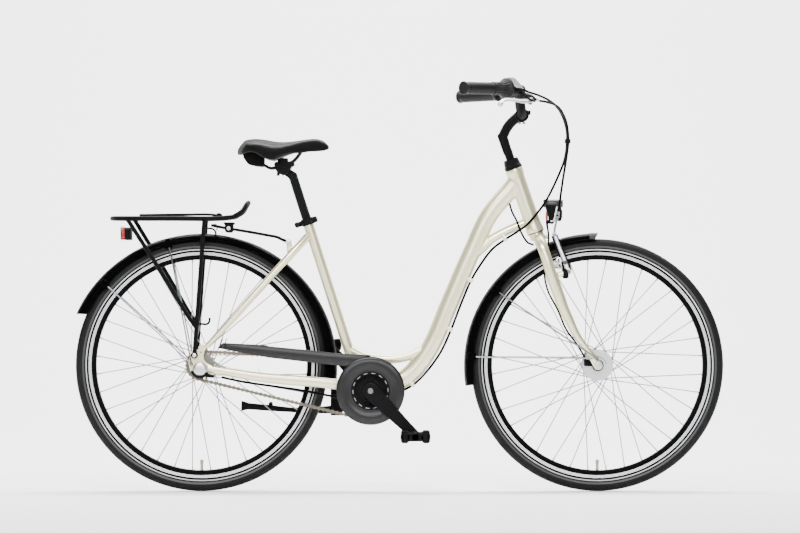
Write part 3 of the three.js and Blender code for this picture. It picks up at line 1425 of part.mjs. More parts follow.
// Fork: both blades bend over into one crown under the steerer, with dropouts and brake posts.
const bladeSpread = 52;
const steererRadius = 12.7;
const steererBore = 11.6;
const steererTop = 204;
const steererBoreBottom = 60;
const crownRaceRadius = 20;
const crownRaceHeight = 3;
const forkDropoutThickness = 5;
const forkDropoutRadius = 13;
const brakePivotAlong = -131.3;
const brakePivotAhead = 41;
const brakePivotSpread = 46;
const brakeBossRadius = 7;
const brakePostRadius = 4;
const brakePostLength = 14;
const crownBossAlong = -19.7;
const crownBossReach = 26.6;
const crownBossRadius = 6;
const forkShares = [
  [0.976, 1, 1.01], [0.885, 0.72, 1], [0.761, 0.345, 0.98], [0.643, 0.2, 0.97], [0.564, 0.11, 0.96],
  [0.4, 0.07, 0.96], [0.27, 0.05, 0.96], [0.2, 0.07, 0.94], [0.112, 0.08, 0.83], [0.06, 0.08, 0.48],
  [0.047, 0.07, 0],
];
const bladeHalfWidths = [6, 8, 10, 12.5, 14.6, 15, 15, 15, 15];
const bladeHalfDepths = [5, 7, 9, 11, 12, 12, 12, 13, 15];

function forkPlace([down, ahead, out], hand) {
  return onSteering(-down * forkLength, ahead * forkRake, hand * out * bladeSpread);
}

function fork() {
  const right = forkShares.map((share) => forkPlace(share, -1));
  const left = forkShares.slice(0, -1).map((share) => forkPlace(share, 1)).reverse();
  const widths = [...bladeHalfWidths, ...bladeHalfWidths.slice(0, -1).reverse()];
  const depths = [...bladeHalfDepths, ...bladeHalfDepths.slice(0, -1).reverse()];
  const blades = tube([...right, ...left], widths, depths, 26, 8, steeringAhead);
  const ends = [-1, 1].map((hand) => {
    const eye = across(frontAxle, hand * bladeSpread);
    const top = forkPlace(forkShares[1], hand).setY(hand * bladeSpread);
    return link(eye, top, forkDropoutRadius, forkDropoutRadius * 0.6, forkDropoutThickness);
  });
  const bosses = [-1, 1].map((hand) => {
    const foot = onSteering(brakePivotAlong, 0, hand * brakePivotSpread);
    const shoulder = brakePivotAhead - runningGap;
    return turned([
      [0, 0], [brakeBossRadius, 0], [brakeBossRadius, shoulder], [brakePostRadius, shoulder],
      [brakePostRadius, shoulder + brakePostLength], [0, shoulder + brakePostLength],
    ], foot, steeringAhead, smallSides);
  });
  const race = rod(onSteering(-forkShares.at(-1)[0] * forkLength), onSteering(-gap), crownRaceRadius);
  const bossEnd = onSteering(crownBossAlong, crownBossReach);
  const crownBoss = rod(onSteering(crownBossAlong), bossEnd, crownBossRadius, smallSides);
  const steerer = rod(onSteering(-crownRaceHeight), onSteering(steererTop), steererRadius);
  const solid = join(blades, ...ends, ...bosses, race, crownBoss, steerer);
  return cut(
    solid,
    rod(onSteering(steererBoreBottom), onSteering(steererTop + overrun), steererBore),
    acrossRod(frontAxle, bore(frontAxleRadius), bladeSpread * 2),
  );
}
piece(steeringGroup, 'fork', fork(), finishes.frame);

// Headset locknut on top of the head tube.
const locknutRadius = 23.5;
const locknutTopRadius = 18;
const locknutHeight = 24;
const locknutSkirt = 8;
piece(steeringGroup, 'headset_locknut', turned([
  [bore(steererRadius), 0], [locknutRadius, 0], [locknutRadius, locknutSkirt],
  [locknutTopRadius, locknutHeight], [bore(steererRadius), locknutHeight],
], onSteering(headTubeLength + gap), steeringUp, tubeSides + 2), finishes.black);

// Stem: a quill held in the steerer, an arm, and the clamp for the handlebar.
const quillRadius = 11;
const quillBottom = 120;
const quillTop = 290;
const stemRise = 320;
const stemReach = 69.2;
const stemArmRadius = 11.8;
const stemArmShares = [[0.8775, 0], [0.949, 0.348], [0.995, 0.806], [1, 1]];
const stemClampRadius = 18.5;
const stemClampHalf = 22;
const barRadius = 11.1;
const barCenterRadius = 12.7;
const barCenterHalf = 30;
const barSides = 8;
const barRoot = onSteering(stemRise, stemReach);

function stem() {
  const line = stemArmShares.map(([rise, ahead]) => onSteering(rise * stemRise, ahead * stemReach));
  const arm = roundTube(line, stemArmRadius, 4);
  const quill = rod(onSteering(quillBottom), onSteering(quillTop), quillRadius);
  const clamp = acrossRod(barRoot, stemClampRadius, stemClampHalf);
  return cut(join(quill, arm, clamp), acrossRod(barRoot, bore(barCenterRadius), stemClampHalf * 2));
}
piece(steeringGroup, 'stem', stem(), finishes.black);

// Handlebar: a thick middle in the clamp, a rise on each side and a long sweep back to the grips.
const barShares = [
  [0, 0, 0], [0, 0.145, 0], [-0.012, 0.235, 0.17], [-0.03, 0.32, 0.6], [-0.03, 0.41, 0.9],
  [-0.03, 0.484, 0.99], [-0.044, 0.519, 1], [-0.082, 0.547, 1], [-1, 1, 0.955],
];

function barPlace([ahead, out, rise]) {
  return barRoot.clone().add(vector(ahead * barSweep, -out * barHalfSpan, rise * barRise));
}
const gripStart = barPlace(barShares.at(-2));
const barEnd = barPlace(barShares.at(-1));
const gripAlong = barEnd.clone().sub(gripStart).normalize();
const gripOut = upright.clone().cross(gripAlong).normalize();
const gripReach = gripStart.distanceTo(barEnd);

function onGrip(along, out = 0, rise = 0) {
  const place = gripStart.clone().addScaledVector(gripAlong, along);
  return place.addScaledVector(gripOut, out).addScaledVector(upright, rise);
}

function bentHandlebar(radius) {
  const bends = curveThrough(barShares.slice(0, -1).map(barPlace)).getPoints(13);
  const right = [...bends, barEnd];
  return bentBar([...otherSide(right.slice(1)), ...right], radius, barSides);
}

function handlebar() {
  return join(bentHandlebar(barRadius), acrossRod(barRoot, barCenterRadius, barCenterHalf));
}
piece(steeringGroup, 'handlebar', handlebar(), finishes.black);

// Grips, the twist grip, the shifter housing and the brake lever sit in a row along the right end of the bar.
const leverBandWidth = 12;
const housingWidth = 31;
const twistWidth = 50;
const gripRadius = 16;
const gripFlangeRadius = 18.5;
const gripFlange = 5;
const gripCap = 4;
const twistRadius = 18;
const twistCollarRadius = 29.5;
const twistCollarWidth = 7;
const shifterRadius = 20;
const barBore = bore(barRadius, gap * 2);
const housingStart = leverBandWidth + gap;
const twistStart = housingStart + housingWidth + gap;
const rightGripStart = twistStart + twistWidth + gap;

function grip(start) {
  const length = gripReach + gripCap - start;
  return turned([
    [barBore, 0], [gripFlangeRadius, 0], [gripFlangeRadius, gripFlange], [gripRadius, gripFlange * 2],
    [gripFlangeRadius, length - gripFlange], [gripRadius, length],
    [0, length], [0, length - gripCap + gap], [barBore, length - gripCap + gap],
  ], onGrip(start), gripAlong, tubeSides);
}
piece(steeringGroup, 'right_grip', grip(rightGripStart), finishes.rubber);
piece(steeringGroup, 'left_grip', mirrored(grip(rightGripStart)), finishes.rubber);

const twistGroup = new THREE.Group();
steeringGroup.add(twistGroup);
piece(twistGroup, 'twist_grip', turned([
  [barBore, 0], [twistCollarRadius, 0], [twistCollarRadius, twistCollarWidth],
  [twistRadius, twistCollarWidth * 4.2], [twistRadius, twistWidth], [barBore, twistWidth],
], onGrip(twistStart), gripAlong, tubeSides), finishes.rubber);

const indicatorLength = 43;
const indicatorHeight = 31;
const indicatorOuter = 19;
const indicatorShares = [[1, 0.32], [1, 1], [0.91, 1], [0, 0], [0, -0.1], [0.31, -0.1]];
const bandRadius = 15;
const cableStopRadius = 4;
const cableStopOut = 21;
const cableStopRise = -3;

function shifterHousing() {
  const drum = rod(onGrip(housingStart), onGrip(housingStart + housingWidth), shifterRadius);
  const outline = outlineThrough(indicatorShares.map(([along, rise]) => [
    along * indicatorLength, rise * indicatorHeight,
  ]));
  const cover = oriented(plate(outline, 0, indicatorOuter), gripAlong, upright, onGrip(0));
  const stopInner = onGrip(housingStart + leverBandWidth, cableStopOut, cableStopRise);
  const stopOuter = onGrip(gap, cableStopOut, cableStopRise);
  const stop = rod(stopInner, stopOuter, cableStopRadius, smallSides);
  return cut(
    join(drum, cover, stop),
    rod(onGrip(housingStart - overrun), onGrip(twistStart), barBore),
    rod(onGrip(-indicatorLength), onGrip(housingStart), bore(bandRadius)),
  );
}
piece(steeringGroup, 'shifter_housing', shifterHousing(), finishes.steel);

// Brake lever: a blade on a pin between two cheeks, in front of and below the grip.
const leverStart = -4;
const leverOut = 41;
const leverDrop = 33;
const leverBladeLength = 117;
const leverThickness = 8;
const leverRootRadius = 9;
const leverTipRadius = 8;
const leverTipDrop = 6.4;
const cheekThickness = 4;
const leverPinRadius = 2.5;
const leverPivot = onGrip(leverStart, leverOut, -leverDrop);
const leverToBar = onGrip(leverStart).sub(leverPivot).normalize();
const leverAxis = gripAlong.clone().cross(leverToBar).normalize();
const neckPlace = 17;
const neckFootRadius = 8;
const neckRadius = 6;
const neckThickness = 11;
const adjusterLength = 36;
const adjusterRadius = 4.5;

function leverPoint(along, toBar, up = 0) {
  const place = leverPivot.clone().addScaledVector(gripAlong, along);
  return place.addScaledVector(leverToBar, toBar).addScaledVector(leverAxis, up);
}

function brakeBracket() {
  const cheekOffset = leverThickness / 2 + gap + cheekThickness / 2;
  const cheeks = [-1, 1].map((hand) => link(
    leverPoint(0, 0, hand * cheekOffset), leverPoint(0, neckPlace, hand * cheekOffset),
    leverRootRadius, neckFootRadius, cheekThickness, leverAxis,
  ));
  const bridgeHalf = cheekOffset + cheekThickness / 2;
  const bridge = rod(leverPoint(0, neckPlace, -bridgeHalf), leverPoint(0, neckPlace, bridgeHalf), neckRadius);
  const neckTop = onGrip(leverBandWidth / 2);
  const neck = link(leverPoint(0, neckPlace), neckTop, neckRadius, neckRadius, neckThickness, leverAxis);
  const pin = rod(leverPoint(0, 0, -cheekOffset), leverPoint(0, 0, cheekOffset), leverPinRadius, smallSides);
  const adjuster = rod(leverPoint(0, neckPlace), leverPoint(-adjusterLength, 0), adjusterRadius, smallSides);
  const band = rod(onGrip(0), onGrip(leverBandWidth), bandRadius);
  const solid = join(...cheeks, bridge, neck, pin, adjuster, band);
  return cut(solid, bentHandlebar(bore(barRadius, gap * 2, barSides)));
}
piece(steeringGroup, 'brake_lever_bracket', brakeBracket(), finishes.black);

const brakeLeverGroup = new THREE.Group();
steeringGroup.add(brakeLeverGroup);

function brakeLever() {
  const sink = leverRootRadius * 0.35;
  const halfThickness = leverThickness / 2;
  const rootEnd = leverPoint(leverBladeLength * 0.2, -sink);
  const root = link(leverPivot, rootEnd, leverRootRadius, leverTipRadius, leverThickness, leverAxis);
  const tip = leverPoint(leverBladeLength, -leverRootRadius * 1.2, leverTipDrop);
  const blade = tube(
    [leverPoint(leverBladeLength * 0.1, -sink), leverPoint(leverBladeLength * 0.6, -sink), tip],
    [leverTipRadius, leverTipRadius, leverTipRadius * 0.85], [halfThickness, halfThickness, halfThickness],
    5, smallSides, leverToBar,
  );
  const ball = moved(new THREE.SphereGeometry(leverTipRadius, smallSides, 4), tip);
  const holeRadius = bore(leverPinRadius, gap, smallSides);
  const [holeStart, holeEnd] = [-1, 1].map((hand) => leverPoint(0, 0, hand * leverThickness));
  const pinHole = rod(holeStart, holeEnd, holeRadius, smallSides);
  return cut(join(root, blade, ball), pinHole);
}
piece(brakeLeverGroup, 'brake_lever', brakeLever(), finishes.silver);

// Front mudguard with the strap that bolts it to the crown and carries the lamp.
const strapWidth = 20;
const strapThickness = 2.6;
const lampPivotAlong = 13.6;
const lampPivotAhead = 51.7;
const lampKnuckleRadius = 6;
const lampKnuckleHalf = 6;
const lampBoltRadius = 2.5;
const lampCheekThickness = 4;
const lampPivot = onSteering(lampPivotAlong, lampPivotAhead);
const crownFront = crownRaceRadius + gap + strapThickness / 2;
const strapShares = [[-3.5, 0], [-2.6, 0.08], [-1.71, 0.26], [-0.4, 0.385], [0.72, 0.45], [1.4, 0.53]];

function frontMudguard() {
  const guard = mudguard(
    frontAxle, frontGuardTipAngle, frontGuardTailAngle, frontGuardShares, 12,
  );
  const line = strapShares.map(([along, ahead]) => onSteering(
    along * lampPivotAlong, THREE.MathUtils.lerp(crownFront, lampPivotAhead, ahead),
  ));
  const carrier = strap(line, strapWidth, strapThickness, 10);
  const knuckle = link(line.at(-1), lampPivot, strapThickness, lampKnuckleRadius, lampKnuckleHalf * 2);
  const boltHalf = lampKnuckleHalf + lampCheekThickness + gap * 2;
  const bolt = acrossRod(lampPivot, lampBoltRadius, boltHalf, smallSides);
  return join(guard, carrier, knuckle, bolt);
}
piece(steeringGroup, 'front_mudguard', frontMudguard(), finishes.black);

const frontStayEye = frontAxle.clone().add(vector(-forkDropoutRadius * 0.3, 0, forkDropoutRadius * 1.5));
const frontEyeOut = bladeSpread * forkShares[0][2] + bladeHalfWidths[0] + gap + stayEyeWidth / 2;
piece(steeringGroup, 'front_mudguard_stays', mudguardStays(
  frontAxle, frontStayEye, frontEyeOut,
  frontStayAngles.map((angle) => guardRadiusAt(
    angle, frontGuardTipAngle, frontGuardTailAngle, frontGuardShares,
  )),
  frontStayAngles,
), finishes.silver);

// Front axle with its nuts, and the still plate of the hub dynamo with its plug.
const frontAxleHalf = 68;
const dynamoPlateRadius = 16;
const dynamoPlateInner = 38;
const dynamoPlateOuter = 43;
const plugReach = 30;
const plugHalf = 8;
const plugRise = 6;

function frontAxleSet() {
  const nutStart = bladeSpread + forkDropoutThickness / 2 + gap;
  const nuts = [-1, 1].map((hand) => {
    const nutEnd = across(frontAxle, hand * (nutStart + nutThickness));
    return rod(across(frontAxle, hand * nutStart), nutEnd, nutRadius * 0.9, wireSides);
  });
  const stillOuter = across(frontAxle, -dynamoPlateOuter);
  const still = rod(stillOuter, across(frontAxle, -dynamoPlateInner), dynamoPlateRadius);
  const plug = block(
    frontAxle.clone().add(vector(-plugReach - plugHalf, -dynamoPlateOuter, plugRise - plugHalf)),
    frontAxle.clone().add(vector(0, -dynamoPlateInner, plugRise + plugHalf)),
  );
  return join(acrossRod(frontAxle, frontAxleRadius, frontAxleHalf), ...nuts, still, plug);
}
piece(steeringGroup, 'front_axle', frontAxleSet(), finishes.steel);

// Rim brake: two arms on the fork's posts, each with a pad that faces the rim.
const brakeArmTopAlong = -18.7;
const brakeArmTopAhead = 46.5;
const brakeArmTopSpread = 38;
const brakeArmThickness = 9;
const brakeArmRadius = 8;
const brakeArmTipRadius = 5;
const padLength = 50;
const padHalfHeight = 4.5;
const padClearance = 2.6;
const padThickness = 9;
const padAngle = 110.4;
const padShare = 0.12;
const padHolderShare = 0.28;
const padRadius = THREE.MathUtils.lerp(rimBedRadius, rimOuterRadius, padShare);
const brakePivotMiddle = brakePivotAhead + brakePostLength / 2;

function rightBrakeArm() {
  const pivot = onSteering(brakePivotAlong, brakePivotMiddle, -brakePivotSpread);
  const top = onSteering(brakeArmTopAlong, brakeArmTopAhead, -brakeArmTopSpread);
  const lean = top.clone().sub(pivot);
  const along = steeringAhead.dot(lean) / lean.lengthSq();
  const faceAxis = steeringAhead.clone().addScaledVector(lean, -along).normalize();
  const arm = link(pivot, top, brakeArmRadius, brakeArmTipRadius, brakeArmThickness, faceAxis);
  const padMiddle = round(frontAxle, padRadius, padAngle);
  const tangent = vector(-Math.sin(radians(padAngle)), 0, Math.cos(radians(padAngle)));
  const radial = vector(Math.cos(radians(padAngle)), 0, Math.sin(radians(padAngle)));
  const padInner = rimWidth / 2 + padClearance;
  const pad = oriented(
    new THREE.BoxGeometry(padLength, padThickness, padHalfHeight * 2), tangent, radial,
    across(padMiddle, -padInner - padThickness / 2),
  );
  const studEnd = across(padMiddle, -brakePivotSpread);
  const stud = rod(across(padMiddle, -padInner - padThickness / 2), studEnd, padHalfHeight, smallSides);
  const holderEnd = pivot.clone().lerp(top, padHolderShare);
  const holder = rod(across(studEnd, padHalfHeight), holderEnd, padHalfHeight, smallSides);
  const postFoot = onSteering(brakePivotAlong, 0, -brakePivotSpread);
  const postEnd = onSteering(brakePivotAlong, brakePivotAhead * 2, -brakePivotSpread);
  const post = rod(postFoot, postEnd, bore(brakePostRadius, gap, smallSides), smallSides);
  return cut(join(arm, pad, stud, holder), post);
}
const brakeArmGroup = new THREE.Group();
steeringGroup.add(brakeArmGroup);
piece(brakeArmGroup, 'right_brake_arm', rightBrakeArm(), finishes.silver);
piece(brakeArmGroup, 'left_brake_arm', mirrored(rightBrakeArm()), finishes.silver);

// Headlight, tilting on the bolt at the end of the strap.
const lampGroup = new THREE.Group();
steeringGroup.add(lampGroup);
const lampRoofRadius = 12;
const lampRoofHeight = 50;
const lampRear = -14;
const lampFront = 31;
const lampHalfWidth = 21;
const lampBodyBottom = 8;
const lampBodyShares = [
  [-0.285, 0.8], [-0.285, 0.57], [-0.15, 0.29], [-0.125, 0.15], [0.125, 0.15], [0.15, 0.29], [0.265, 0.75],
  [0.265, 0.8],
];
const lampLensRear = 14;
const lampLensFront = 28;
const lampLensBottom = 3;

function headlightHousing() {
  const at = (x, out, z) => lampPivot.clone().add(vector(x, out, z));
  const roof = rod(at(lampRear, 0, lampRoofHeight), at(lampFront, 0, lampRoofHeight), lampRoofRadius);
  const outline = outlineThrough(lampBodyShares.map(([x, z]) => [
    lampPivot.x + x * lampRoofHeight, lampPivot.z + z * lampRoofHeight,
  ]));
  const body = plate(outline, -lampHalfWidth * 0.75, lampHalfWidth * 0.75);
  const cheeks = [-1, 1].map((hand) => {
    const out = hand * (lampKnuckleHalf + gap + lampCheekThickness / 2);
    const cheekTop = at(0, out, lampBodyBottom * 2);
    return link(at(0, out, 0), cheekTop, lampKnuckleRadius, lampKnuckleRadius, lampCheekThickness);
  });
  const hole = acrossRod(lampPivot, bore(lampBoltRadius, gap, smallSides), lampHalfWidth, smallSides);
  return cut(join(roof, body, ...cheeks), hole);
}
piece(lampGroup, 'headlight_housing', headlightHousing(), finishes.black);

function headlightLens() {
  const outline = new THREE.Shape();
  const radius = lampHalfWidth;
  const low = lampPivot.z + lampLensBottom;
  const high = lampPivot.z + lampRoofHeight - lampRoofRadius - gap;
  const middle = (low + high) / 2;
  const half = (high - low) / 2;
  outline.absellipse(0, middle, radius, half, 0, Math.PI * 2, false, 0);
  const settings = { depth: lampLensFront - lampLensRear, bevelEnabled: false, curveSegments: 8 };
  const flat = new THREE.ExtrudeGeometry(outline, settings);
  return flat.rotateX(Math.PI / 2).rotateZ(Math.PI / 2).translate(lampPivot.x + lampLensRear, 0, 0);
}
piece(lampGroup, 'headlight_lens', headlightLens(), finishes.clearLens);

// Cables. Each follows its real route, as a list of places chosen by hand, measured from the part of the
// frame that the cable is tied to: the fork's crown, the bottom bracket or the rear axle.
const cableRadius = 2.5;
const leadRadius = 1.5;

const shiftCableRoute = [
  [-37.2, -184.4, 387.5], [-20.6, -168, 381.2], [-6.3, -155, 377.4], [7.3, -141, 373.1],
  [24.3, -123, 366.3], [35.8, -109, 360.2], [49.3, -91, 350.9], [64.7, -72, 333.1], [76.2, -58, 309.7],
  [84, -49, 280.7], [84.9, -44, 253.7], [79.4, -39, 205.7], [59.9, -36, 152.7], [26.4, -34, 85.7],
  [3.4, -31, 53.7], [-24.6, -26, 21.7], [-53.6, -21, 0.7], [-85.1, -8, -19.3],
];
const lowerShiftCableRoute = [
  [337, -8, 391], [303, -8, 346], [277, -8, 302], [251, -8, 241], [222.5, -8, 167.5], [194, -8, 106],
  [156, -8, 53], [120, -10, 17], [88, -12, -1], [45, -14, -21], [-5, -20, -30], [-50, -28, -28],
  [-94, -37, -18], [-123, -42, -12], [-195, -49, 2],
];
const rearShiftCableRoute = [
  [197, -55, -57], [118, -62, -45], [58, -76, -32],
];
const brakeCableRoute = [
  [6, -171.9, 358.1], [17.5, -164, 357], [34.5, -147, 353.4], [44.1, -134, 351.1], [63.4, -104, 338.7],
  [82.9, -66, 301.2], [88.4, -52, 253.7], [83.4, -46, 205.7], [74.4, -42, 149.7], [65.4, -38, 85.7],
  [60.4, -36, 52.7], [54.4, -36, 17.7], [51.4, -37, 4.7],
];
const dynamoLeadRoute = [
  [26.4, -6, 50.7], [21.4, -10, 27.7], [34.4, -24, -2.3], [34.4, -33, -27.3], [33.4, -33.5, -67.3],
  [23.4, -34, -114.3], [33.4, -35, -163.3], [59.4, -38, -213.3], [82.4, -42, -267.3],
  [112.4, -41, -309.3], [130.4, -40, -339.3], [136.4, -40.5, -352.3],
];
const rearLeadRoute = [
  [-72.6, -6.5, 79.7], [-65.6, -12, 56.7], [-52.6, -15.5, 30.7], [-42.6, -15.5, 4.7],
  [-32.6, -16, -15.3], [-20.6, -18, -29.3], [-6.1, -20, -34.3],
];

function routeFrom(start, route) {
  return route.map((place) => start.clone().add(vector(...place)));
}

const shiftCablePlaces = [
  ...routeFrom(crownSeat, shiftCableRoute), ...routeFrom(bottomBracket, lowerShiftCableRoute),
  ...routeFrom(rearAxle, rearShiftCableRoute),
];
const rearLead = wire(routeFrom(crownSeat, rearLeadRoute), leadRadius, 6);
const brakeCable = wire(routeFrom(crownSeat, brakeCableRoute), cableRadius, 18);
const dynamoLead = wire(routeFrom(crownSeat, dynamoLeadRoute), leadRadius, 18);
piece(frameGroup, 'shift_cable', wire(shiftCablePlaces, cableRadius, 38), finishes.black);
piece(frameGroup, 'rear_light_lead', rearLead, finishes.black);
piece(steeringGroup, 'brake_cable', brakeCable, finishes.black);
piece(steeringGroup, 'dynamo_lead', dynamoLead, finishes.black);

export default bicycle;
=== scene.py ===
import math

import bmesh
import bpy
import numpy as np
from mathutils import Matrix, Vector


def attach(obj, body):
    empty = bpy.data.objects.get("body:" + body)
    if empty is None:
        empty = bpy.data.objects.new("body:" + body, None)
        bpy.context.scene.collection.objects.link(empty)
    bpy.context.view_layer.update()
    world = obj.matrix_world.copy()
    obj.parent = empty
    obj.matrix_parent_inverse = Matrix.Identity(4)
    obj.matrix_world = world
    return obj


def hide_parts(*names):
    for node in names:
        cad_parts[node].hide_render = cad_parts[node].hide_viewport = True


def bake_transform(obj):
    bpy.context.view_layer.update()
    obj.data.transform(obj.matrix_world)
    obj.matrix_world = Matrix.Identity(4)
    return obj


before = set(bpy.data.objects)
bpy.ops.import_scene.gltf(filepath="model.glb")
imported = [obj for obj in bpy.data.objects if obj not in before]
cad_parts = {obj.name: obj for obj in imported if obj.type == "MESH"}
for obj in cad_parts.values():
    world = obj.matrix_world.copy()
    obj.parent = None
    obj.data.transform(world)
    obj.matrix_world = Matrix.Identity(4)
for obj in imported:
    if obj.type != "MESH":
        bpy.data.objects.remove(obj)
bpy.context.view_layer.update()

# Camera, floor and lights.
# A long lens looks level at the drive side from twelve metres away, square to the bicycle.
# The floor turns up into a plain pale wall, lit by large soft lights above and in front.
lens = bpy.data.cameras.new("side_camera")
lens.lens = 194.8
lens.sensor_width = 36
lens.clip_end = 60
camera = bpy.data.objects.new("side_camera", lens)
camera.location = (0.0014, -12, 0.623)
camera.rotation_euler = (math.pi / 2, 0, 0)
bpy.context.scene.collection.objects.link(camera)
bpy.context.scene.camera = camera


def shade_of(red, green, blue, alpha=1.0):
    """A colour as the eye names it, from 0 to 255, as the light value that a shader needs."""
    values = [v / 255 for v in (red, green, blue)]
    return tuple(v / 12.92 if v <= 0.04045 else ((v + 0.055) / 1.055) ** 2.4 for v in values) + (alpha,)


def wire(tree, node, wires):
    """Joins sockets of the node, by name, to the outputs given as node and name."""
    for socket, (source, output) in dict(wires).items():
        tree.links.new(source.outputs[output], node.inputs[socket])


def give(node, values):
    """Sets the sockets of a node by their names."""
    for socket, value in dict(values).items():
        node.inputs[socket].default_value = value


def planted(tree, kind, wires=(), values=(), **settings):
    """A new node with its settings, the values of its sockets and the wires that reach it."""
    node = tree.nodes.new(kind)
    for setting, value in settings.items():
        setattr(node, setting, value)
    give(node, values)
    wire(tree, node, wires)
    return node


def floor_material():
    material = bpy.data.materials.new("pale_floor")
    material.use_nodes = True
    tree = material.node_tree
    shader = tree.nodes["Principled BSDF"]
    give(shader, {"Base Color": (0.92, 0.92, 0.92, 1), "Roughness": 0.9, "Specular IOR Level": 0.2})
    # The wall is open from behind, so that views from the back see past it.
    surface = planted(tree, "ShaderNodeNewGeometry")
    front_only = planted(tree, "ShaderNodeMapRange", {"Value": (surface, "Backfacing")},
        {"To Min": 1.0, "To Max": 0.0})
    wire(tree, shader, {"Alpha": (front_only, "Result")})
    return material


def studio_floor():
    near, bend, back, height, half = -45.0, 1.6, 3.2, 6.0, 20.0
    apron_end, apron_level = 24.0, -0.002
    profile = [(near, 0.0), (back - bend, 0.0)]
    for step in range(1, 16):
        angle = math.pi / 2 * step / 16
        profile.append((back - bend + bend * math.sin(angle), bend - bend * math.cos(angle)))
    profile += [(back, bend), (back, height)]
    verts = [(x, y, z) for y, z in profile for x in (-half, half)]
    faces = [(2 * row, 2 * row + 1, 2 * row + 3, 2 * row + 2) for row in range(len(profile) - 1)]
    apron = len(verts)
    verts += [(x, y, apron_level) for x, y in ((-half, back - bend), (half, back - bend), (half, apron_end),
        (-half, apron_end))]
    faces.append((apron, apron + 1, apron + 2, apron + 3))
    mesh = bpy.data.meshes.new("studio_floor")
    mesh.from_pydata(verts, [], faces)
    mesh.shade_smooth()
    mesh.materials.append(floor_material())
    floor = bpy.data.objects.new("studio_floor", mesh)
    bpy.context.scene.collection.objects.link(floor)


def soft_light(name, place, aim, size, power):
    lamp = bpy.data.lights.new(name, "AREA")
    lamp.shape = "RECTANGLE"
    lamp.size, lamp.size_y = size
    lamp.energy = power
    light = bpy.data.objects.new(name, lamp)
    light.location = place
    light.rotation_euler = (Vector(aim) - Vector(place)).to_track_quat("-Z", "Y").to_euler()
    bpy.context.scene.collection.objects.link(light)


studio_floor()
soft_light("key_light", (-0.8, -4.8, 4.2), (0, 0, 0.7), (3.6, 0.8), 520)
soft_light("camera_panel", (0, -9.5, 2.6), (0, 0, 0.6), (7.0, 1.0), 430)
soft_light("overhead_light", (0, 0.4, 4.6), (0, 0.2, 0), (5.0, 1.0), 170)
soft_light("wall_light", (0, 0.9, 4.6), (0, 3.2, 1.0), (6.0, 1.2), 760)
world = bpy.data.worlds.new("studio_air")
world.use_nodes = True
give(world.node_tree.nodes["Background"], {"Color": (1, 1, 1, 1), "Strength": 0.06})
bpy.context.scene.world = world


# Main frame: hydroformed aluminium tubes, welded to the head tube and the bottom bracket shell.
# The low main tube sweeps down in one bend, with a brace under the head and a gusset over the shell.
# The welds are ground smooth and the whole is sprayed champagne under a clear coat.
def vec(x, y, z):
    return Vector((x, y, z))


def mm(rows):
    """Rows of lengths written in millimetres, as metres."""
    return [tuple(value / 1000 for value in row) for row in rows]


def smooth_line(places, steps):
    """Even steps along a smooth curve through the places, with its direction at each."""
    points = [Vector(p) for p in places]
    if len(points) == 2:
        line = [points[0].lerp(points[1], step / steps) for step in range(steps + 1)]
        return line, [(points[1] - points[0]).normalized()] * (steps + 1)
    padded = [points[0] * 2 - points[1]] + points + [points[-1] * 2 - points[-2]]
    dense, parts = [], 24
    for start in range(1, len(padded) - 2):
        p0, p1, p2, p3 = padded[start - 1:start + 3]
        t1 = max((p1 - p0).length, 1e-6) ** 0.5
        t2 = t1 + max((p2 - p1).length, 1e-6) ** 0.5
        t3 = t2 + max((p3 - p2).length, 1e-6) ** 0.5
        for step in range(parts):
            t = t1 + (t2 - t1) * step / parts
            a1 = p0.lerp(p1, t / t1)
            a2 = p1.lerp(p2, (t - t1) / (t2 - t1))
            a3 = p2.lerp(p3, (t - t2) / (t3 - t2))
            dense.append(a1.lerp(a2, t / t2).lerp(a2.lerp(a3, (t - t1) / (t3 - t1)), (t - t1) / (t2 - t1)))
    dense.append(points[-1])
    array = np.array(dense)
    lengths = np.concatenate([[0], np.cumsum(np.linalg.norm(np.diff(array, axis=0), axis=1))])
    wanted = np.linspace(0, lengths[-1], steps + 1)
    line = [Vector([np.interp(w, lengths, array[:, axis]) for axis in range(3)]) for w in wanted]
    directions = []
    for index in range(steps + 1):
        before, after = line[max(index - 1, 0)], line[min(index + 1, steps)]
        directions.append((after - before).normalized())
    return line, directions


def between(values, share):
    return float(np.interp(share, np.linspace(0, 1, len(values)), values))


def skinned(rings, closed=False):
    """A closed skin over rings of points, with flat ends unless the row joins up with itself."""
    count = len(rings[0])
    verts = [point for ring in rings for point in ring]
    faces = []
    for row in range(len(rings) if closed else len(rings) - 1):
        following = (row + 1) % len(rings)
        for column in range(count):
            after = (column + 1) % count
            faces.append((row * count + column, row * count + after, following * count + after,
                following * count + column))
    if not closed:
        faces.append(tuple(reversed(range(count))))
        faces.append(tuple(range(count * (len(rings) - 1), count * len(rings))))
    return verts, faces


def swept(places, half_widths, half_depths=None, sides=24, steps=40, wide=(0, 1, 0), power=2.0):
    """A tube along a smooth line. Its half width lies along the given direction, its half depth square to it."""
    half_depths = half_depths or half_widths
    line, directions = smooth_line(places, steps)
    rings = []
    for index, (center, direction) in enumerate(zip(line, directions)):
        share = index / steps
        across = Vector(wide) - direction * direction.dot(Vector(wide))
        across.normalize()
        deep = direction.cross(across)
        ring = []
        for side in range(sides):
            angle = math.tau * side / sides
            c, s = math.cos(angle), math.sin(angle)
            bulge = 1 / (abs(c) ** power + abs(s) ** power) ** (1 / power)
            ring.append(center + across * (c * bulge * between(half_widths,
                share)) + deep * (s * bulge * between(half_depths, share)))
        rings.append(ring)
    return skinned(rings)


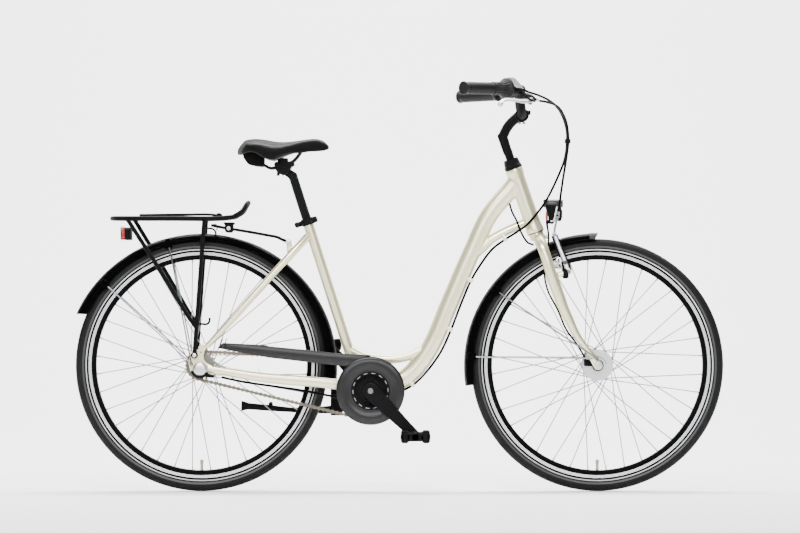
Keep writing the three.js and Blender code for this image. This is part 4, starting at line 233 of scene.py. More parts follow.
def turned(profile, place=(0, 0, 0), axis=(0, 1, 0), sides=48):
    """A lathe-turned solid from radius and height pairs. A profile off the axis joins up with itself."""
    axis = Vector(axis).normalized()
    across = axis.orthogonal().normalized()
    other = axis.cross(across)
    solid = profile[0][0] == 0 and profile[-1][0] == 0
    rows = profile[1:-1] if solid else profile
    verts, faces = [], []
    for radius, height in rows:
        for side in range(sides):
            angle = math.tau * side / sides
            verts.append(Vector(place) + axis * height
                + (across * math.cos(angle) + other * math.sin(angle)) * radius)
    for row in range(len(rows) - 1 if solid else len(rows)):
        following = (row + 1) % len(rows)
        for side in range(sides):
            after = (side + 1) % sides
            faces.append((row * sides + side, row * sides + after, following * sides + after,
                following * sides + side))
    if solid:
        for pole, row in ((profile[0], 0), (profile[-1], len(rows) - 1)):
            verts.append(Vector(place) + axis * pole[1])
            for side in range(sides):
                faces.append((len(verts) - 1, row * sides + side, row * sides + (side + 1) % sides))
    return verts, faces


def bar_between(start, end, radius, sides=32):
    start, end = Vector(start), Vector(end)
    length = (end - start).length
    return turned([(0, 0), (radius, 0), (radius, length), (0, length)], start, end - start, sides)


def cross_bar(place, radius, half, sides=32):
    x, y, z = place
    return bar_between((x, y - half, z), (x, y + half, z), radius, sides)


def plate(outline, low, high, axis=(0, 1, 0), origin=(0, 0, 0), ahead=(1, 0, 0)):
    """A flat plate from an outline in two directions, between two places along the axis square to them."""
    axis, ahead = Vector(axis).normalized(), Vector(ahead).normalized()
    rise = ahead.cross(axis)
    base = [Vector(origin) + ahead * u + rise * v for u, v in outline]
    return skinned([[p + axis * low for p in base], [p + axis * high for p in base]])


def link_between(start, end, start_radius, end_radius, thickness, axis=(0, 1, 0), steps=10):
    """A flat bar with two round ends, in the plane square to the axis."""
    start, end, axis = Vector(start), Vector(end), Vector(axis).normalized()
    ahead = (end - start) - axis * (end - start).dot(axis)
    length = ahead.length
    ahead.normalize()
    spread = math.acos(max(-1, min(1, (start_radius - end_radius) / length)))
    outline = []
    for step in range(steps + 1):
        angle = spread + (math.tau - 2 * spread) * step / steps
        outline.append((start_radius * math.cos(angle), start_radius * math.sin(angle)))
    for step in range(steps + 1):
        angle = -spread + 2 * spread * step / steps
        outline.append((length + end_radius * math.cos(angle), end_radius * math.sin(angle)))
    return plate(outline, -thickness / 2, thickness / 2, axis, start, ahead)


def to_bmesh(shapes):
    work = bmesh.new()
    for verts, faces in shapes:
        made = [work.verts.new(v) for v in verts]
        for face in faces:
            work.faces.new([made[index] for index in face])
    bmesh.ops.recalc_face_normals(work, faces=work.faces)
    return work


def from_bmesh(work):
    work.verts.index_update()
    result = [v.co.copy() for v in work.verts], [tuple(v.index for v in f.verts) for f in work.faces]
    work.free()
    return result


def eased(shape, width, segments=3, angle=30):
    """The same solid with its sharp edges rounded over."""
    work = to_bmesh([shape])
    sharp = [e for e in work.edges if e.is_manifold and e.calc_face_angle(0) > math.radians(angle)]
    bmesh.ops.bevel(work, geom=sharp, offset=width, segments=segments, profile=0.5, affect="EDGES",
        clamp_overlap=True)
    return from_bmesh(work)


def mirrored(shape):
    return [vec(v[0], -v[1], v[2]) for v in shape[0]], [tuple(reversed(f)) for f in shape[1]]


def object_from(name, mesh):
    made = bpy.data.objects.new(name, mesh)
    bpy.context.scene.collection.objects.link(made)
    return made


def applied(made):
    """The object's mesh with its modifiers worked in."""
    graph = bpy.context.evaluated_depsgraph_get()
    return bpy.data.meshes.new_from_object(made.evaluated_get(graph))


def bare_mesh(name, shapes):
    work = to_bmesh(shapes)
    mesh = bpy.data.meshes.new(name)
    work.to_mesh(mesh)
    work.free()
    return mesh


def place_piece(name, mesh, material, body, stands_for=(), sharp=35):
    """Gives a finished mesh its material, its body and the solid that it stands for."""
    mesh.shade_smooth()
    if sharp:
        mesh.set_sharp_from_angle(angle=math.radians(sharp))
    mesh.materials.clear()
    mesh.materials.append(material)
    made = object_from(name, mesh)
    if isinstance(body, str):
        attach(made, body)
    if stands_for:
        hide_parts(*stands_for)
    if not isinstance(body, str):
        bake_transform(made)
    return made


def make_piece(name, shapes, material, body, stands_for=(), sharp=35):
    return place_piece(name, bare_mesh(name, shapes), material, body, stands_for, sharp)


def weld_piece(name, shapes, voxel, passes, material, body, stands_for):
    """Solids grown together into one skin, with a small fillet where they meet."""
    rough = object_from(name + "_rough", bare_mesh(name, shapes))
    grow = rough.modifiers.new("grow", "REMESH")
    grow.mode, grow.voxel_size = "VOXEL", voxel
    soften = rough.modifiers.new("soften", "SMOOTH")
    soften.factor, soften.iterations = 0.5, passes
    mesh = applied(rough)
    bpy.data.objects.remove(rough)
    return place_piece(name, mesh, material, body, stands_for, sharp=0)


def surface_grain():
    """Fine unevenness of a finish: a shade that drifts over the piece and a height for the bump."""
    group = bpy.data.node_groups.new("surface_grain", "ShaderNodeTree")
    for name, value in (("Grain", 900.0), ("Drift", 14.0), ("Detail", 4.0)):
        group.interface.new_socket(name, in_out="INPUT", socket_type="NodeSocketFloat").default_value = value
    for name in ("Shade", "Height"):
        group.interface.new_socket(name, in_out="OUTPUT", socket_type="NodeSocketFloat")
    given, where = planted(group, "NodeGroupInput"), planted(group, "ShaderNodeTexCoord")
    drift, grain = [planted(group, "ShaderNodeTexNoise", {"Vector": (where, "Object"), "Scale": (given, scale),
        "Detail": (given, "Detail")}) for scale in ("Drift", "Grain")]
    planted(group, "NodeGroupOutput", {"Shade": (drift, "Fac"), "Height": (grain, "Fac")})
    return group


grain_group = surface_grain()


def finish(name, dark, light, roughness, metallic=0.0, grain=900.0, drift=14.0, bump=0.1, distance=0.0002,
    rough_spread=0.08, coat=0.0, coat_roughness=0.1, specular=0.5, edge=None, edge_from=0.4):
    """Two close colours that drift over the piece, fine grain in gloss and bump, and a duller gloss at the edge."""
    material = bpy.data.materials.new(name)
    material.use_nodes = True
    tree = material.node_tree
    shader = tree.nodes["Principled BSDF"]
    give(shader, {"Metallic": metallic, "Coat Weight": coat, "Coat Roughness": coat_roughness,
        "Specular IOR Level": specular})
    texture = planted(tree, "ShaderNodeGroup", (), {"Grain": grain, "Drift": drift}, node_tree=grain_group)
    colour = planted(tree, "ShaderNodeMix", {"Factor": (texture, "Shade")}, {"A": shade_of(*dark),
        "B": shade_of(*light)}, data_type="RGBA")
    gloss = planted(tree, "ShaderNodeMapRange", {"Value": (texture, "Height")}, {"To Min": roughness - rough_spread,
        "To Max": roughness + rough_spread})
    relief = planted(tree, "ShaderNodeBump", {"Height": (texture, "Height")}, {"Strength": bump,
        "Distance": distance})
    wire(tree, shader, {"Base Color": (colour, "Result"), "Roughness": (gloss, "Result"),
        "Normal": (relief, "Normal")})
    if edge:
        dullest = 0.95
        grazing = planted(tree, "ShaderNodeLayerWeight")
        rim = planted(tree, "ShaderNodeMapRange", {"Value": (grazing, "Facing")}, {"From Min": edge_from})
        duller = planted(tree, "ShaderNodeMix", {"Factor": (rim, "Result"), "A": (gloss, "Result")}, {"B": dullest})
        wire(tree, shader, {"Roughness": (duller, "Result")})
        give(shader, {"Specular Tint": shade_of(*edge)})
        if coat:
            thinner = planted(tree, "ShaderNodeMix", {"Factor": (rim, "Result")}, {"A": coat, "B": 0.0})
            wire(tree, shader, {"Coat Weight": (thinner, "Result")})
    return material


champagne = finish("champagne_paint", (229, 222, 184), (236, 230, 194), 0.3, metallic=0.72, grain=2600, bump=0.05,
    coat=0.7, coat_roughness=0.12, edge=(84, 76, 44), edge_from=0.2)

crown_seat = vec(0.3776, 0, 0.7173)
steering_up = vec(-0.32557, 0, 0.94552)
steering_ahead = vec(0.94552, 0, 0.32557)
side = vec(0, 1, 0)


def on_steering(along, ahead=0.0, out=0.0):
    return crown_seat + steering_up * along + steering_ahead * ahead + side * out


seat_foot = vec(-0.1048, 0, 0.28)
seat_up = vec(-0.3057, 0, 0.95213)
seat_ahead = vec(0.95213, 0, 0.3057)


def on_seat_tube(along, ahead=0.0, out=0.0):
    return seat_foot + seat_up * along + seat_ahead * ahead + side * out


bottom_bracket = vec(-0.08, 0, 0.28)
rear_axle = vec(-0.548, 0, 0.35)
front_axle = vec(0.548, 0, 0.35)

down_tube = mm([(327.8, 0, 862), (307.4, 0, 836.5), (248.2, 0, 764.2), (199.8, 0, 662.8), (136, 0, 514.9),
    (93.5, 0, 414.3), (52.3, 0, 349.3), (12.5, 0, 311.3), (-37.2, 0, 289.1), (-80, 0, 280)])
brace = mm([(365.9, 0, 751.4), (291.9, 0, 719.2), (254.6, 0, 697.7), (227.5, 0, 671.1), (194.6, 0, 642.8)])
gusset = mm([(-140.3, 0, 393.4), (-100, 0, 373.7), (-64.4, 0, 367.2), (-17.5, 0, 366.8), (25.7, 0, 376.3),
    (60.4, 0, 391.8), (85.6, 0, 406.7)])
head_tube = mm([(0, 0), (24.5, 0), (24.5, 12), (22.5, 24), (22.5, 162), (24.5, 174), (24.5, 186), (0, 186)])
main_tubes = [swept(down_tube, [0.019], [0.0255, 0.025, 0.0248, 0.0252, 0.0254, 0.0252, 0.0248, 0.0235], 32, 70),
    swept(brace, [0.012], sides=24, steps=24), swept(gusset, [0.0135], sides=24, steps=30),
    cross_bar(bottom_bracket, 0.0215, 0.034, 48), turned(head_tube, crown_seat, steering_up, 48)]
weld_piece("main_frame_skin", main_tubes, 0.0017, 8, champagne, "frame", ["head_and_down_tube"])

# Seat tube, chain stays, seat stays and dropouts, all welded aluminium in the same paint.
# Each stay tapers towards its dropout plate, and the left chain stay carries the plate for the stand.
# Small lugs on the seat stays take the rods of the rack.
chain_stay = mm([(-92.7, 27.7, 284.8), (-126.3, 29.7, 290.3), (-154.4, 33.7, 294.5), (-175, 38.6, 297.6),
    (-243.7, 45.5, 305), (-369.4, 54.8, 315.6), (-530.2, 66, 341.1)])
seat_stay = mm([(-254.4, 15.8, 706.7), (-276.7, 29, 682.2), (-299.1, 37.6, 657.7), (-324.2, 41.6, 630.1),
    (-394, 51.5, 553.5), (-465.7, 61.4, 473.1), (-533.6, 66, 400.4)])
dropout = mm([(-576.5, 335), (-562, 322.5), (-535, 318.5), (-514, 326), (-508, 345), (-520, 351.5), (-532, 358),
    (-539, 368), (-540.2, 379), (-537.2, 391), (-530.5, 402), (-535, 412), (-548, 408.5), (-563, 392.5),
    (-577.5, 386), (-582.5, 359)])
lug_foot, lug_eye = (-0.3019, 0.033, 0.6546), (-0.3069, 0.033, 0.6916)
stand_hinge = vec(-0.1746, 0.042, 0.226)


def rear_stays():
    return [swept(chain_stay, [0.009, 0.008, 0.008, 0.008, 0.006], [0.0145, 0.0145, 0.014, 0.012, 0.01], 24, 44,
        power=2.4), swept(seat_stay, [0.0104, 0.0096, 0.009, 0.008, 0.006], sides=24, steps=44),
        plate(dropout, 0.063, 0.069), link_between(lug_foot, lug_eye, 0.0084, 0.006, 0.003)]


def stand_plate():
    x, z = -0.1746, 0.209
    outline = [(x - 0.017, z), (x + 0.017, z), (x + 0.017, 0.2945), (x - 0.017, 0.2945)]
    pin = bar_between(stand_hinge + vec(0, -0.008, 0), stand_hinge + vec(0, 0.016, 0), 0.005, 24)
    return [plate(outline, 0.034, 0.042), pin]


seat_tube = [bar_between(on_seat_tube(0.014), on_seat_tube(0.483), 0.0143, 48)]
weld_piece("seat_tube_skin", seat_tube, 0.0018, 2, champagne, "frame", ["seat_tube"])
left_stays = rear_stays()
weld_piece("right_stays_skin", [mirrored(s) for s in left_stays], 0.0014, 5, champagne, "frame",
    ["right_rear_stays"])
weld_piece("left_stays_skin", left_stays, 0.0014, 5, champagne, "frame", ["left_rear_stays"])


# Fork: two tapered blades that bend over into one crown, painted like the frame.
# Brake posts stand on the blades' front faces, and forged ends hold the front axle.
fork_blade = mm([(544.9, -52.5, 359.1), (521.9, -52, 390), (491, -51, 432.2), (469.8, -50.4, 475.2),
    (455.9, -49.9, 504), (432.8, -49.9, 565.9), (415, -49.9, 615.2), (406.6, -48.9, 642.1), (395.4, -43.2, 675.8),
    (388.6, -25, 695.6), (386.5, 0, 700.4)])
blade_widths = [0.006, 0.008, 0.01, 0.0125, 0.0146, 0.015, 0.015, 0.015, 0.015]
blade_depths = [0.005, 0.007, 0.009, 0.011, 0.012, 0.012, 0.012, 0.013, 0.015]


def fork_shapes():
    both = fork_blade + [(x, -y, z) for x, y, z in reversed(fork_blade[:-1])]
    shapes = [swept(both, blade_widths + blade_widths[-2::-1], blade_depths + blade_depths[-2::-1], 28, 110,
        steering_ahead)]
    for hand in (-1, 1):
        tip = (0.5219, hand * 0.052, 0.39)
        shapes.append(link_between((0.548, hand * 0.052, 0.35), tip, 0.013, 0.0078, 0.005))
        foot = on_steering(-0.1313, 0, hand * 0.046)
        shapes.append(bar_between(foot, foot + steering_ahead * 0.0405, 0.007, 24))
    shapes.append(bar_between(on_steering(-0.0189), on_steering(-0.0003), 0.02, 48))
    shapes.append(bar_between(on_steering(-0.0197), on_steering(-0.0197, 0.0266), 0.006, 24))
    return shapes


weld_piece("fork_skin", fork_shapes(), 0.0014, 5, champagne, "steering", ["fork"])

brushed_steel = finish("brushed_steel", (176, 178, 180), (200, 201, 202), 0.28, metallic=1.0, grain=700, bump=0.08)
bright_alloy = finish("bright_alloy", (196, 198, 200), (214, 215, 216), 0.3, metallic=0.95, grain=1500, bump=0.05)
dark_steel = finish("dark_steel", (92, 90, 86), (120, 117, 110), 0.38, metallic=0.9, grain=900)


def brake_posts():
    return [turned(mm([(0, 0), (4, 0), (4, 13.5), (3.2, 14.5), (0, 14.5)]), on_steering(-0.1313, 0.04, hand * 0.046),
        steering_ahead, 24) for hand in (-1, 1)]


make_piece("brake_posts", brake_posts(), brushed_steel, "steering")

# Headset: a black threaded locknut over the top race, turned from aluminium.
satin_black = finish("satin_black", (17, 17, 18), (24, 24, 25), 0.34, grain=1800, bump=0.06, specular=0.18,
    edge=(2, 2, 2))
locknut = mm([(13, 0.3), (24.7, 0.3), (24.7, 7.2), (23.8, 8.5), (23.6, 10.2), (22.6, 11.5), (22.4, 17.5),
    (20.8, 24.5), (19.8, 29), (13, 29)])
make_piece("headset_nut", [turned(locknut, on_steering(0.186), steering_up, 48)], satin_black, "steering",
    ["headset_locknut"])

# Stand plate: a black steel plate under the left chain stay, with the hinge pin of the kickstand.
# The dropouts beside it are pierced by small holes; thin near-black discs laid on them are painted shade for the
# holes.
make_piece("stand_plate_skin", [eased(stand_plate()[0], 0.0015), stand_plate()[1]], satin_black, "frame")
# Painted shade: near-black discs over the dropout holes stand for the shade inside them.
hole_shade_paint = finish("frame_recess", (20, 18, 15), (28, 25, 21), 0.6, grain=900, specular=0.1)
hole_shade_discs = []
for x, z, r in mm(((-555.5, 397.5, 2.6), (-547.5, 386.5, 2.2), (-562.5, 379.5, 1.8), (-544.5, 355.5, 3))):
    for hand in (-1, 1):
        hole_shade_discs.append(turned([(0, 0), (r, 0), (r, 0.0004), (0, 0.0004)], (x, hand * 0.0690, z), (0, hand, 0), 20))
make_piece("dropout_recesses", hole_shade_discs, hole_shade_paint, "frame")

# Stem: a black forged quill stem with a swan neck, its clamp closed by a bolt underneath.
# The neck is polished smooth and the quill shows above the headset.
stem_line = [(0.2862, 0, 0.9828), (0.3015, 0, 1.0123), (0.3267, 0, 1.0366), (0.3389, 0, 1.0424)]
bar_root = vec(0.3389, 0, 1.0424)


def block_at(center, half):
    """A plain block about a place, to be eased and welded into a larger piece."""
    x, y, z = center
    return plate([(x - half[0], z - half[2]), (x + half[0], z - half[2]), (x + half[0], z + half[2]),
        (x - half[0], z + half[2])], y - half[1], y + half[1])


def stem_shapes():
    neck = swept([on_steering(0.262), on_steering(0.2808)] + [Vector(p) for p in stem_line],
        [0.0128, 0.0134, 0.0136, 0.0136, 0.0146], [0.0115, 0.012, 0.0125, 0.0135], 28, 40, (1, 0, 0), 2.6)
    clamp = eased(cross_bar(bar_root, 0.0195, 0.022, 40), 0.0018)
    corner = eased(link_between(on_steering(0.236, -0.0012), on_steering(0.284, -0.0052), 0.0122, 0.0088, 0.021),
        0.003)
    lip = [eased(block_at(bar_root + vec(0.016, y, 0.007), (0.0085, 0.008, 0.006)), 0.0018) for y in (-0.011, 0.011)]
    return [bar_between(on_steering(0.205), on_steering(0.28), 0.0122, 40), neck, clamp, corner] + lip


weld_piece("stem_skin", stem_shapes(), 0.0012, 6, satin_black, "steering", ["stem"])

stem_bolts = []
for y in (-0.011, 0.011):
    for x in (-0.006, 0.006):
        stem_bolts.append(turned(mm([(0, 0), (3.2, 0), (3.6, 0.8), (3.6, 5), (0, 5)]), bar_root + vec(x, y, -0.0245),
            (0, 0, 1), 16))
make_piece("stem_bolts", stem_bolts, dark_steel, "steering")

# Crown race: a thin black seal in the gap between the fork crown and the head tube.
# It stays with the frame when the fork turns.
crown_gap = turned(mm([(20, -1.2), (23.8, -1.2), (23.8, 1.2), (20, 1.2)]), on_steering(-0.0003), steering_up, 48)
make_piece("crown_race_gap", [crown_gap], satin_black, "frame")

# Handlebar: one black aluminium tube, thick in the clamp, rising on each side and swept far back.
# Its ends are covered by the grips.
bar_right = mm([(338.9, 0, 1042.4), (338.9, -44.9, 1042.4), (336.9, -72.8, 1053.7), (333.9, -99.2, 1082),
    (333.9, -127.1, 1101.8), (333.9, -150, 1107.8), (331.6, -160.9, 1108.4)])
grip_start = vec(0.3253, -0.1696, 1.1084)
bar_end = vec(0.1739, -0.31, 1.1055)
grip_along = (bar_end - grip_start).normalized()
grip_out = vec(0, 0, 1).cross(grip_along).normalized()


def on_grip(along, out=0.0, rise=0.0):
    return grip_start + grip_along * along + grip_out * out + vec(0, 0, rise)


def handlebar_shapes():
    bends, _ = smooth_line(bar_right + [tuple(grip_start)], 50)
    half = bends + [bar_end]
    right = [tuple(p) for p in half]
    left = [(x, -y, z) for x, y, z in reversed(right[1:])]
    return [swept(left + right, [0.0115], sides=28, steps=160, wide=(0.3, 0, 1)), turned(mm([(0, -33), (11.1, -33),
        (12.7, -29), (12.7, 29), (11.1, 33), (0, 33)]), bar_root, side, 40)]


bar_black = finish("bar_coating", (15, 15, 16), (21, 21, 22), 0.5, grain=1800, bump=0.06, specular=0.06,
    edge=(2, 2, 2))
make_piece("handlebar_skin", handlebar_shapes(), bar_black, "steering", ["handlebar"], sharp=50)

# Grips: soft black rubber sleeves with a flange at both ends and fine ribs for the hand.
# The right one is shorter, because the twist grip sits inboard of it.
grip_rubber = finish("grip_rubber", (10, 10, 11), (17, 17, 18), 0.5, grain=2600, bump=0.25, specular=0.2)


def grip_profile(length):
    profile = mm([(11.7, 0), (17.8, 0), (18.5, 1.2), (18.5, 4.5), (17.8, 5.8), (16.3, 8.5)])
    ribs = int((length - 0.026) / 0.004)
    for rib in range(ribs):
        along = 0.0115 + rib * 0.004
        profile += [(0.0159, along), (0.0167, along + 0.0012), (0.0167, along + 0.0026), (0.0159, along + 0.0038)]
    profile += [(0.0163, length - 0.009), (0.018, length - 0.0058), (0.0185, length - 0.0045),
        (0.0183, length - 0.0015), (0.0168, length), (0, length)]
    return [(0, 0)] + profile


def grip_shape(start):
    return turned(grip_profile((bar_end - grip_start).length + 0.004 - start), on_grip(start), grip_along, 56)


right_grip = grip_shape(0.0939)
make_piece("right_grip_rubber", [right_grip], grip_rubber, "steering", ["right_grip"], sharp=45)
make_piece("left_grip_rubber", [mirrored(grip_shape(0.062))], grip_rubber, "steering", ["left_grip"],
    sharp=45)

# Twist grip: a rubber sleeve that turns the gear cable, flared out to a collar beside the housing.
# Ribs run along it, so that the hand can turn it.
def ribbed_turned(profile, place, axis, sides, ribs, depth, rib_from, rib_to):
    verts, faces = turned(profile, place, axis, sides)
    axis = Vector(axis).normalized()
    place = Vector(place)
    cut = []
    for vert in verts:
        along = (vert - place).dot(axis)
        out = (vert - place) - axis * along
        if rib_from < along < rib_to and out.length > 0.013:
            angle = math.atan2(out.dot(axis.orthogonal().normalized().cross(axis)), out.dot(axis.orthogonal()))
            edge = min(1, min(along - rib_from, rib_to - along) / 0.004)
            out = out * (1 - depth * edge * (0.5 + 0.5 * math.cos(angle * ribs)) ** 2 / out.length)
        cut.append(place + axis * along + out)
    return cut, faces


def twist_profile():
    profile = mm([(0.0, 0), (28.5, 0), (29.5, 1), (29.6, 4.5), (28.8, 7.5)])
    for step in range(1, 15):
        share = step / 15
        profile.append((0.0288 - 0.0108 * (1 - (1 - share) ** 2.2), 0.0075 + 0.0235 * share))
    profile += mm([(18, 31), (18, 36), (18, 41), (18, 46), (17.2, 50), (0, 50)])
    return profile


make_piece("twist_grip_rubber", [ribbed_turned(twist_profile(), on_grip(0.0436), grip_along, 180, 15, 0.0016, 0.008,
    0.048)], grip_rubber, "twist", ["twist_grip"], sharp=50)

# Gear shifter: a housing beside the twist grip, with a silver wedge-shaped cover over its gear window.
# The cable leaves it forwards through a short stop.
silver_plastic = finish("silver_plastic", (196, 198, 200), (214, 216, 218), 0.3, metallic=0.5, grain=1400, bump=0.06)
black_plastic = finish("black_plastic", (16, 16, 17), (23, 23, 24), 0.4, grain=1500, bump=0.12, specular=0.18,
    edge=(2, 2, 2))


def shifter_cover():
    length, height = 0.043, 0.031
    outline = [(length, height * 0.32), (length, height), (length * 0.93, height * 1.0),
        (length * 0.75, height * 0.88), (length * 0.4, height * 0.5), (length * 0.1, height * 0.12), (0.0, -0.001),
        (0.0, -0.0034), (length * 0.31, -0.0032)]
    place = on_grip(0)
    return eased(plate(outline, 0.002, 0.0225, grip_out, place, grip_along), 0.0022, 3, 35)


drum = eased(bar_between(on_grip(0.0123), on_grip(0.0433), 0.02, 40), 0.002)
stop = turned(mm([(0, 0), (5.2, 0), (5.6, 4), (5, 7), (4.4, 13), (3.6, 18), (2.8, 24), (0, 24)]),
    on_grip(0.0243, 0.021, -0.003), -grip_along, 24)
make_piece("shifter_drum", [drum, stop], black_plastic, "steering", ["shifter_housing"])
make_piece("shifter_cover", [shifter_cover()], silver_plastic, "steering")

# Brake lever: a silver forged blade on a pin, in a black bracket that is clamped round the bar.
# A barrel adjuster takes the cable at the front of the bracket.
lever_pivot = vec(0.3561, -0.1969, 1.0755)
lever_to_bar = vec(-0.5296, 0.5713, 0.627)
lever_axis = vec(-0.418, 0.4674, -0.779)


def lever_point(along, to_bar, up=0.0):
    return lever_pivot + grip_along * along + lever_to_bar * to_bar + lever_axis * up


def lever_blade():
    line = [lever_point(-0.004, 0.002), lever_point(0.012, -0.002), lever_point(0.035, -0.0025, 0.0005),
        lever_point(0.062, 0.002, 0.0005), lever_point(0.085, 0.0045, 0.0012), lever_point(0.103, 0.0005, 0.0035),
        lever_point(0.116, -0.0098, 0.0062)]
    blade = swept(line, [0.0098, 0.0082, 0.0066, 0.006, 0.0056, 0.005], [0.0039, 0.0038, 0.0035, 0.0033, 0.0033], 24,
        44, lever_to_bar, 2.6)
    ball = turned(mm([(0, -7.8), (3, -7.2), (5.6, -5.5), (7.3, -3), (7.8, 0), (7.3, 3), (5.6, 5.5), (3, 7.2),
        (0, 7.8)]), lever_point(0.117, -0.0108, 0.0064), grip_along, 28)
    return [blade, ball]


def lever_bracket():
    shapes = []
    for hand in (-1, 1):
        up = hand * 0.0063
        shapes.append(eased(link_between(lever_point(0, 0, up), lever_point(0, 0.017, up), 0.009, 0.008, 0.004,
            lever_axis), 0.0008))
    shapes.append(bar_between(lever_point(0, 0.017, -0.0083), lever_point(0, 0.017, 0.0083), 0.006, 28))
    shapes.append(eased(link_between(lever_point(0, 0.017), on_grip(0.006), 0.0065, 0.0065, 0.0115, lever_axis),
        0.001))
    shapes.append(eased(bar_between(on_grip(0), on_grip(0.012), 0.015, 40), 0.0012))
    nose = swept(mm([(343, -196.5, 1086.5), (353, -190.5, 1084.5), (362.5, -184, 1080.5), (370.5, -178.5, 1076.5)]),
        [0.0075, 0.0095, 0.0095, 0.006], [0.0068, 0.0075, 0.007, 0.005], 24, 30, lever_axis, 2.6)
    shapes.append(eased(nose, 0.0012))
    return shapes


weld_piece("lever_blade_skin", lever_blade(), 0.0008, 5, bright_alloy, "lever", ["brake_lever"])
make_piece("lever_bracket_skin", lever_bracket(), satin_black, "steering", ["brake_lever_bracket"])
pin_ends = turned(mm([(0, -9.2), (2.8, -9.2), (3.4, -8.4), (3.4, 8.4), (2.8, 9.2), (0, 9.2)]), lever_pivot,
    lever_axis, 24)
start, end = lever_point(0, 0.017), lever_point(-0.036, 0)
along = (end - start).normalized()
barrel = turned(mm([(0, 0), (4.5, 0), (4.5, 12), (6.2, 13.5), (6.2, 21), (5, 22.5), (4.6, 30), (3.6, 34), (3, 38),
    (0, 38)]), start, along, 28)
make_piece("lever_pin_and_barrel", [pin_ends, barrel], bright_alloy, "steering")

# Seat post, its clamp collar and the quick release lever.
# The post is a black tube with a forged head, raised out of the frame and held by the collar's cam lever.


post_head = (-0.3176, 0, 0.8891)


def post_shapes():
    return [bar_between(on_seat_tube(0.338), on_seat_tube(0.63), 0.0127, 40), link_between((-0.2956, 0, 0.8741),
        post_head, 0.012, 0.011, 0.026), cross_bar(post_head, 0.011, 0.029, 36)]


weld_piece("seat_post_skin", post_shapes(), 0.0013, 4, satin_black, "post", ["seat_post"])
collar_profile = mm([(14.6, 0), (17.6, 0), (17.9, 1.2), (17.9, 6), (17.2, 6.8), (17.2, 12.2), (17.9, 13),
    (17.9, 17.8), (17.4, 19), (14.6, 19)])


def collar_shapes():
    nose = eased(bar_between(on_seat_tube(0.4905, 0.0155), on_seat_tube(0.4905, 0.0275), 0.0085, 24), 0.001)
    rear = eased(bar_between(on_seat_tube(0.4905, -0.0165), on_seat_tube(0.4905, -0.0219), 0.0056, 24), 0.0006)
    return [turned(collar_profile, on_seat_tube(0.481), seat_up, 48), nose, rear]


make_piece("seat_collar_skin", collar_shapes(), satin_black, "frame", ["seat_clamp_collar"])
nut = turned(mm([(0, 0), (4.2, 0), (4.6, 0.6), (4.6, 3), (3.8, 3.6), (0, 3.6)]), on_seat_tube(0.4905, 0.0268),
    seat_ahead, 6)
make_piece("seat_collar_bolt", [nut], bright_alloy, "frame", sharp=20)
clamp_pivot, clamp_tip = vec(-0.2771, 0, 0.7398), vec(-0.2868, -0.034, 0.7367)


def clamp_lever_shapes():
    knuckle = eased(bar_between(clamp_pivot - seat_up * 0.007, clamp_pivot + seat_up * 0.007, 0.0056, 32), 0.001)
    blade = swept([clamp_pivot, clamp_pivot.lerp(clamp_tip, 0.4) + seat_ahead * -0.002, clamp_tip],
        [0.0064, 0.0078, 0.008, 0.0062], [0.0036, 0.0036, 0.0032], 20, 30, seat_up, 2.5)
    return [knuckle, blade]


make_piece("clamp_lever_skin", clamp_lever_shapes(), satin_black, "clamp_lever",
    ["seat_clamp_lever"], sharp=50)

# Saddle: a gel pad under a glossy black cover, drawn over a plastic shell.
# The crown dips along the middle, the flanks pull in under the widest part, and the nose turns down.
saddle_rows = [(0, 0.2, 0.5, 0.72), (0.03, 0.52, 0.32, 0.73), (0.08, 0.74, 0.09, 0.7), (0.14, 0.88, 0.02, 0.655),
    (0.2, 0.96, 0, 0.68), (0.27, 1, 0.015, 0.84), (0.34, 0.98, 0.055, 0.97), (0.41, 0.9, 0.11, 1),
    (0.48, 0.76, 0.135, 0.88), (0.55, 0.58, 0.13, 0.76), (0.62, 0.44, 0.1, 0.67), (0.7, 0.34, 0.055, 0.65),
    (0.78, 0.29, 0.015, 0.6), (0.86, 0.26, 0, 0.585), (0.93, 0.23, 0.08, 0.56), (0.98, 0.16, 0.24, 0.5),
    (1, 0.07, 0.34, 0.44)]
saddle_rear, saddle_top, saddle_length, saddle_half, saddle_depth = -0.449, 0.977, 0.254, 0.0875, 0.062


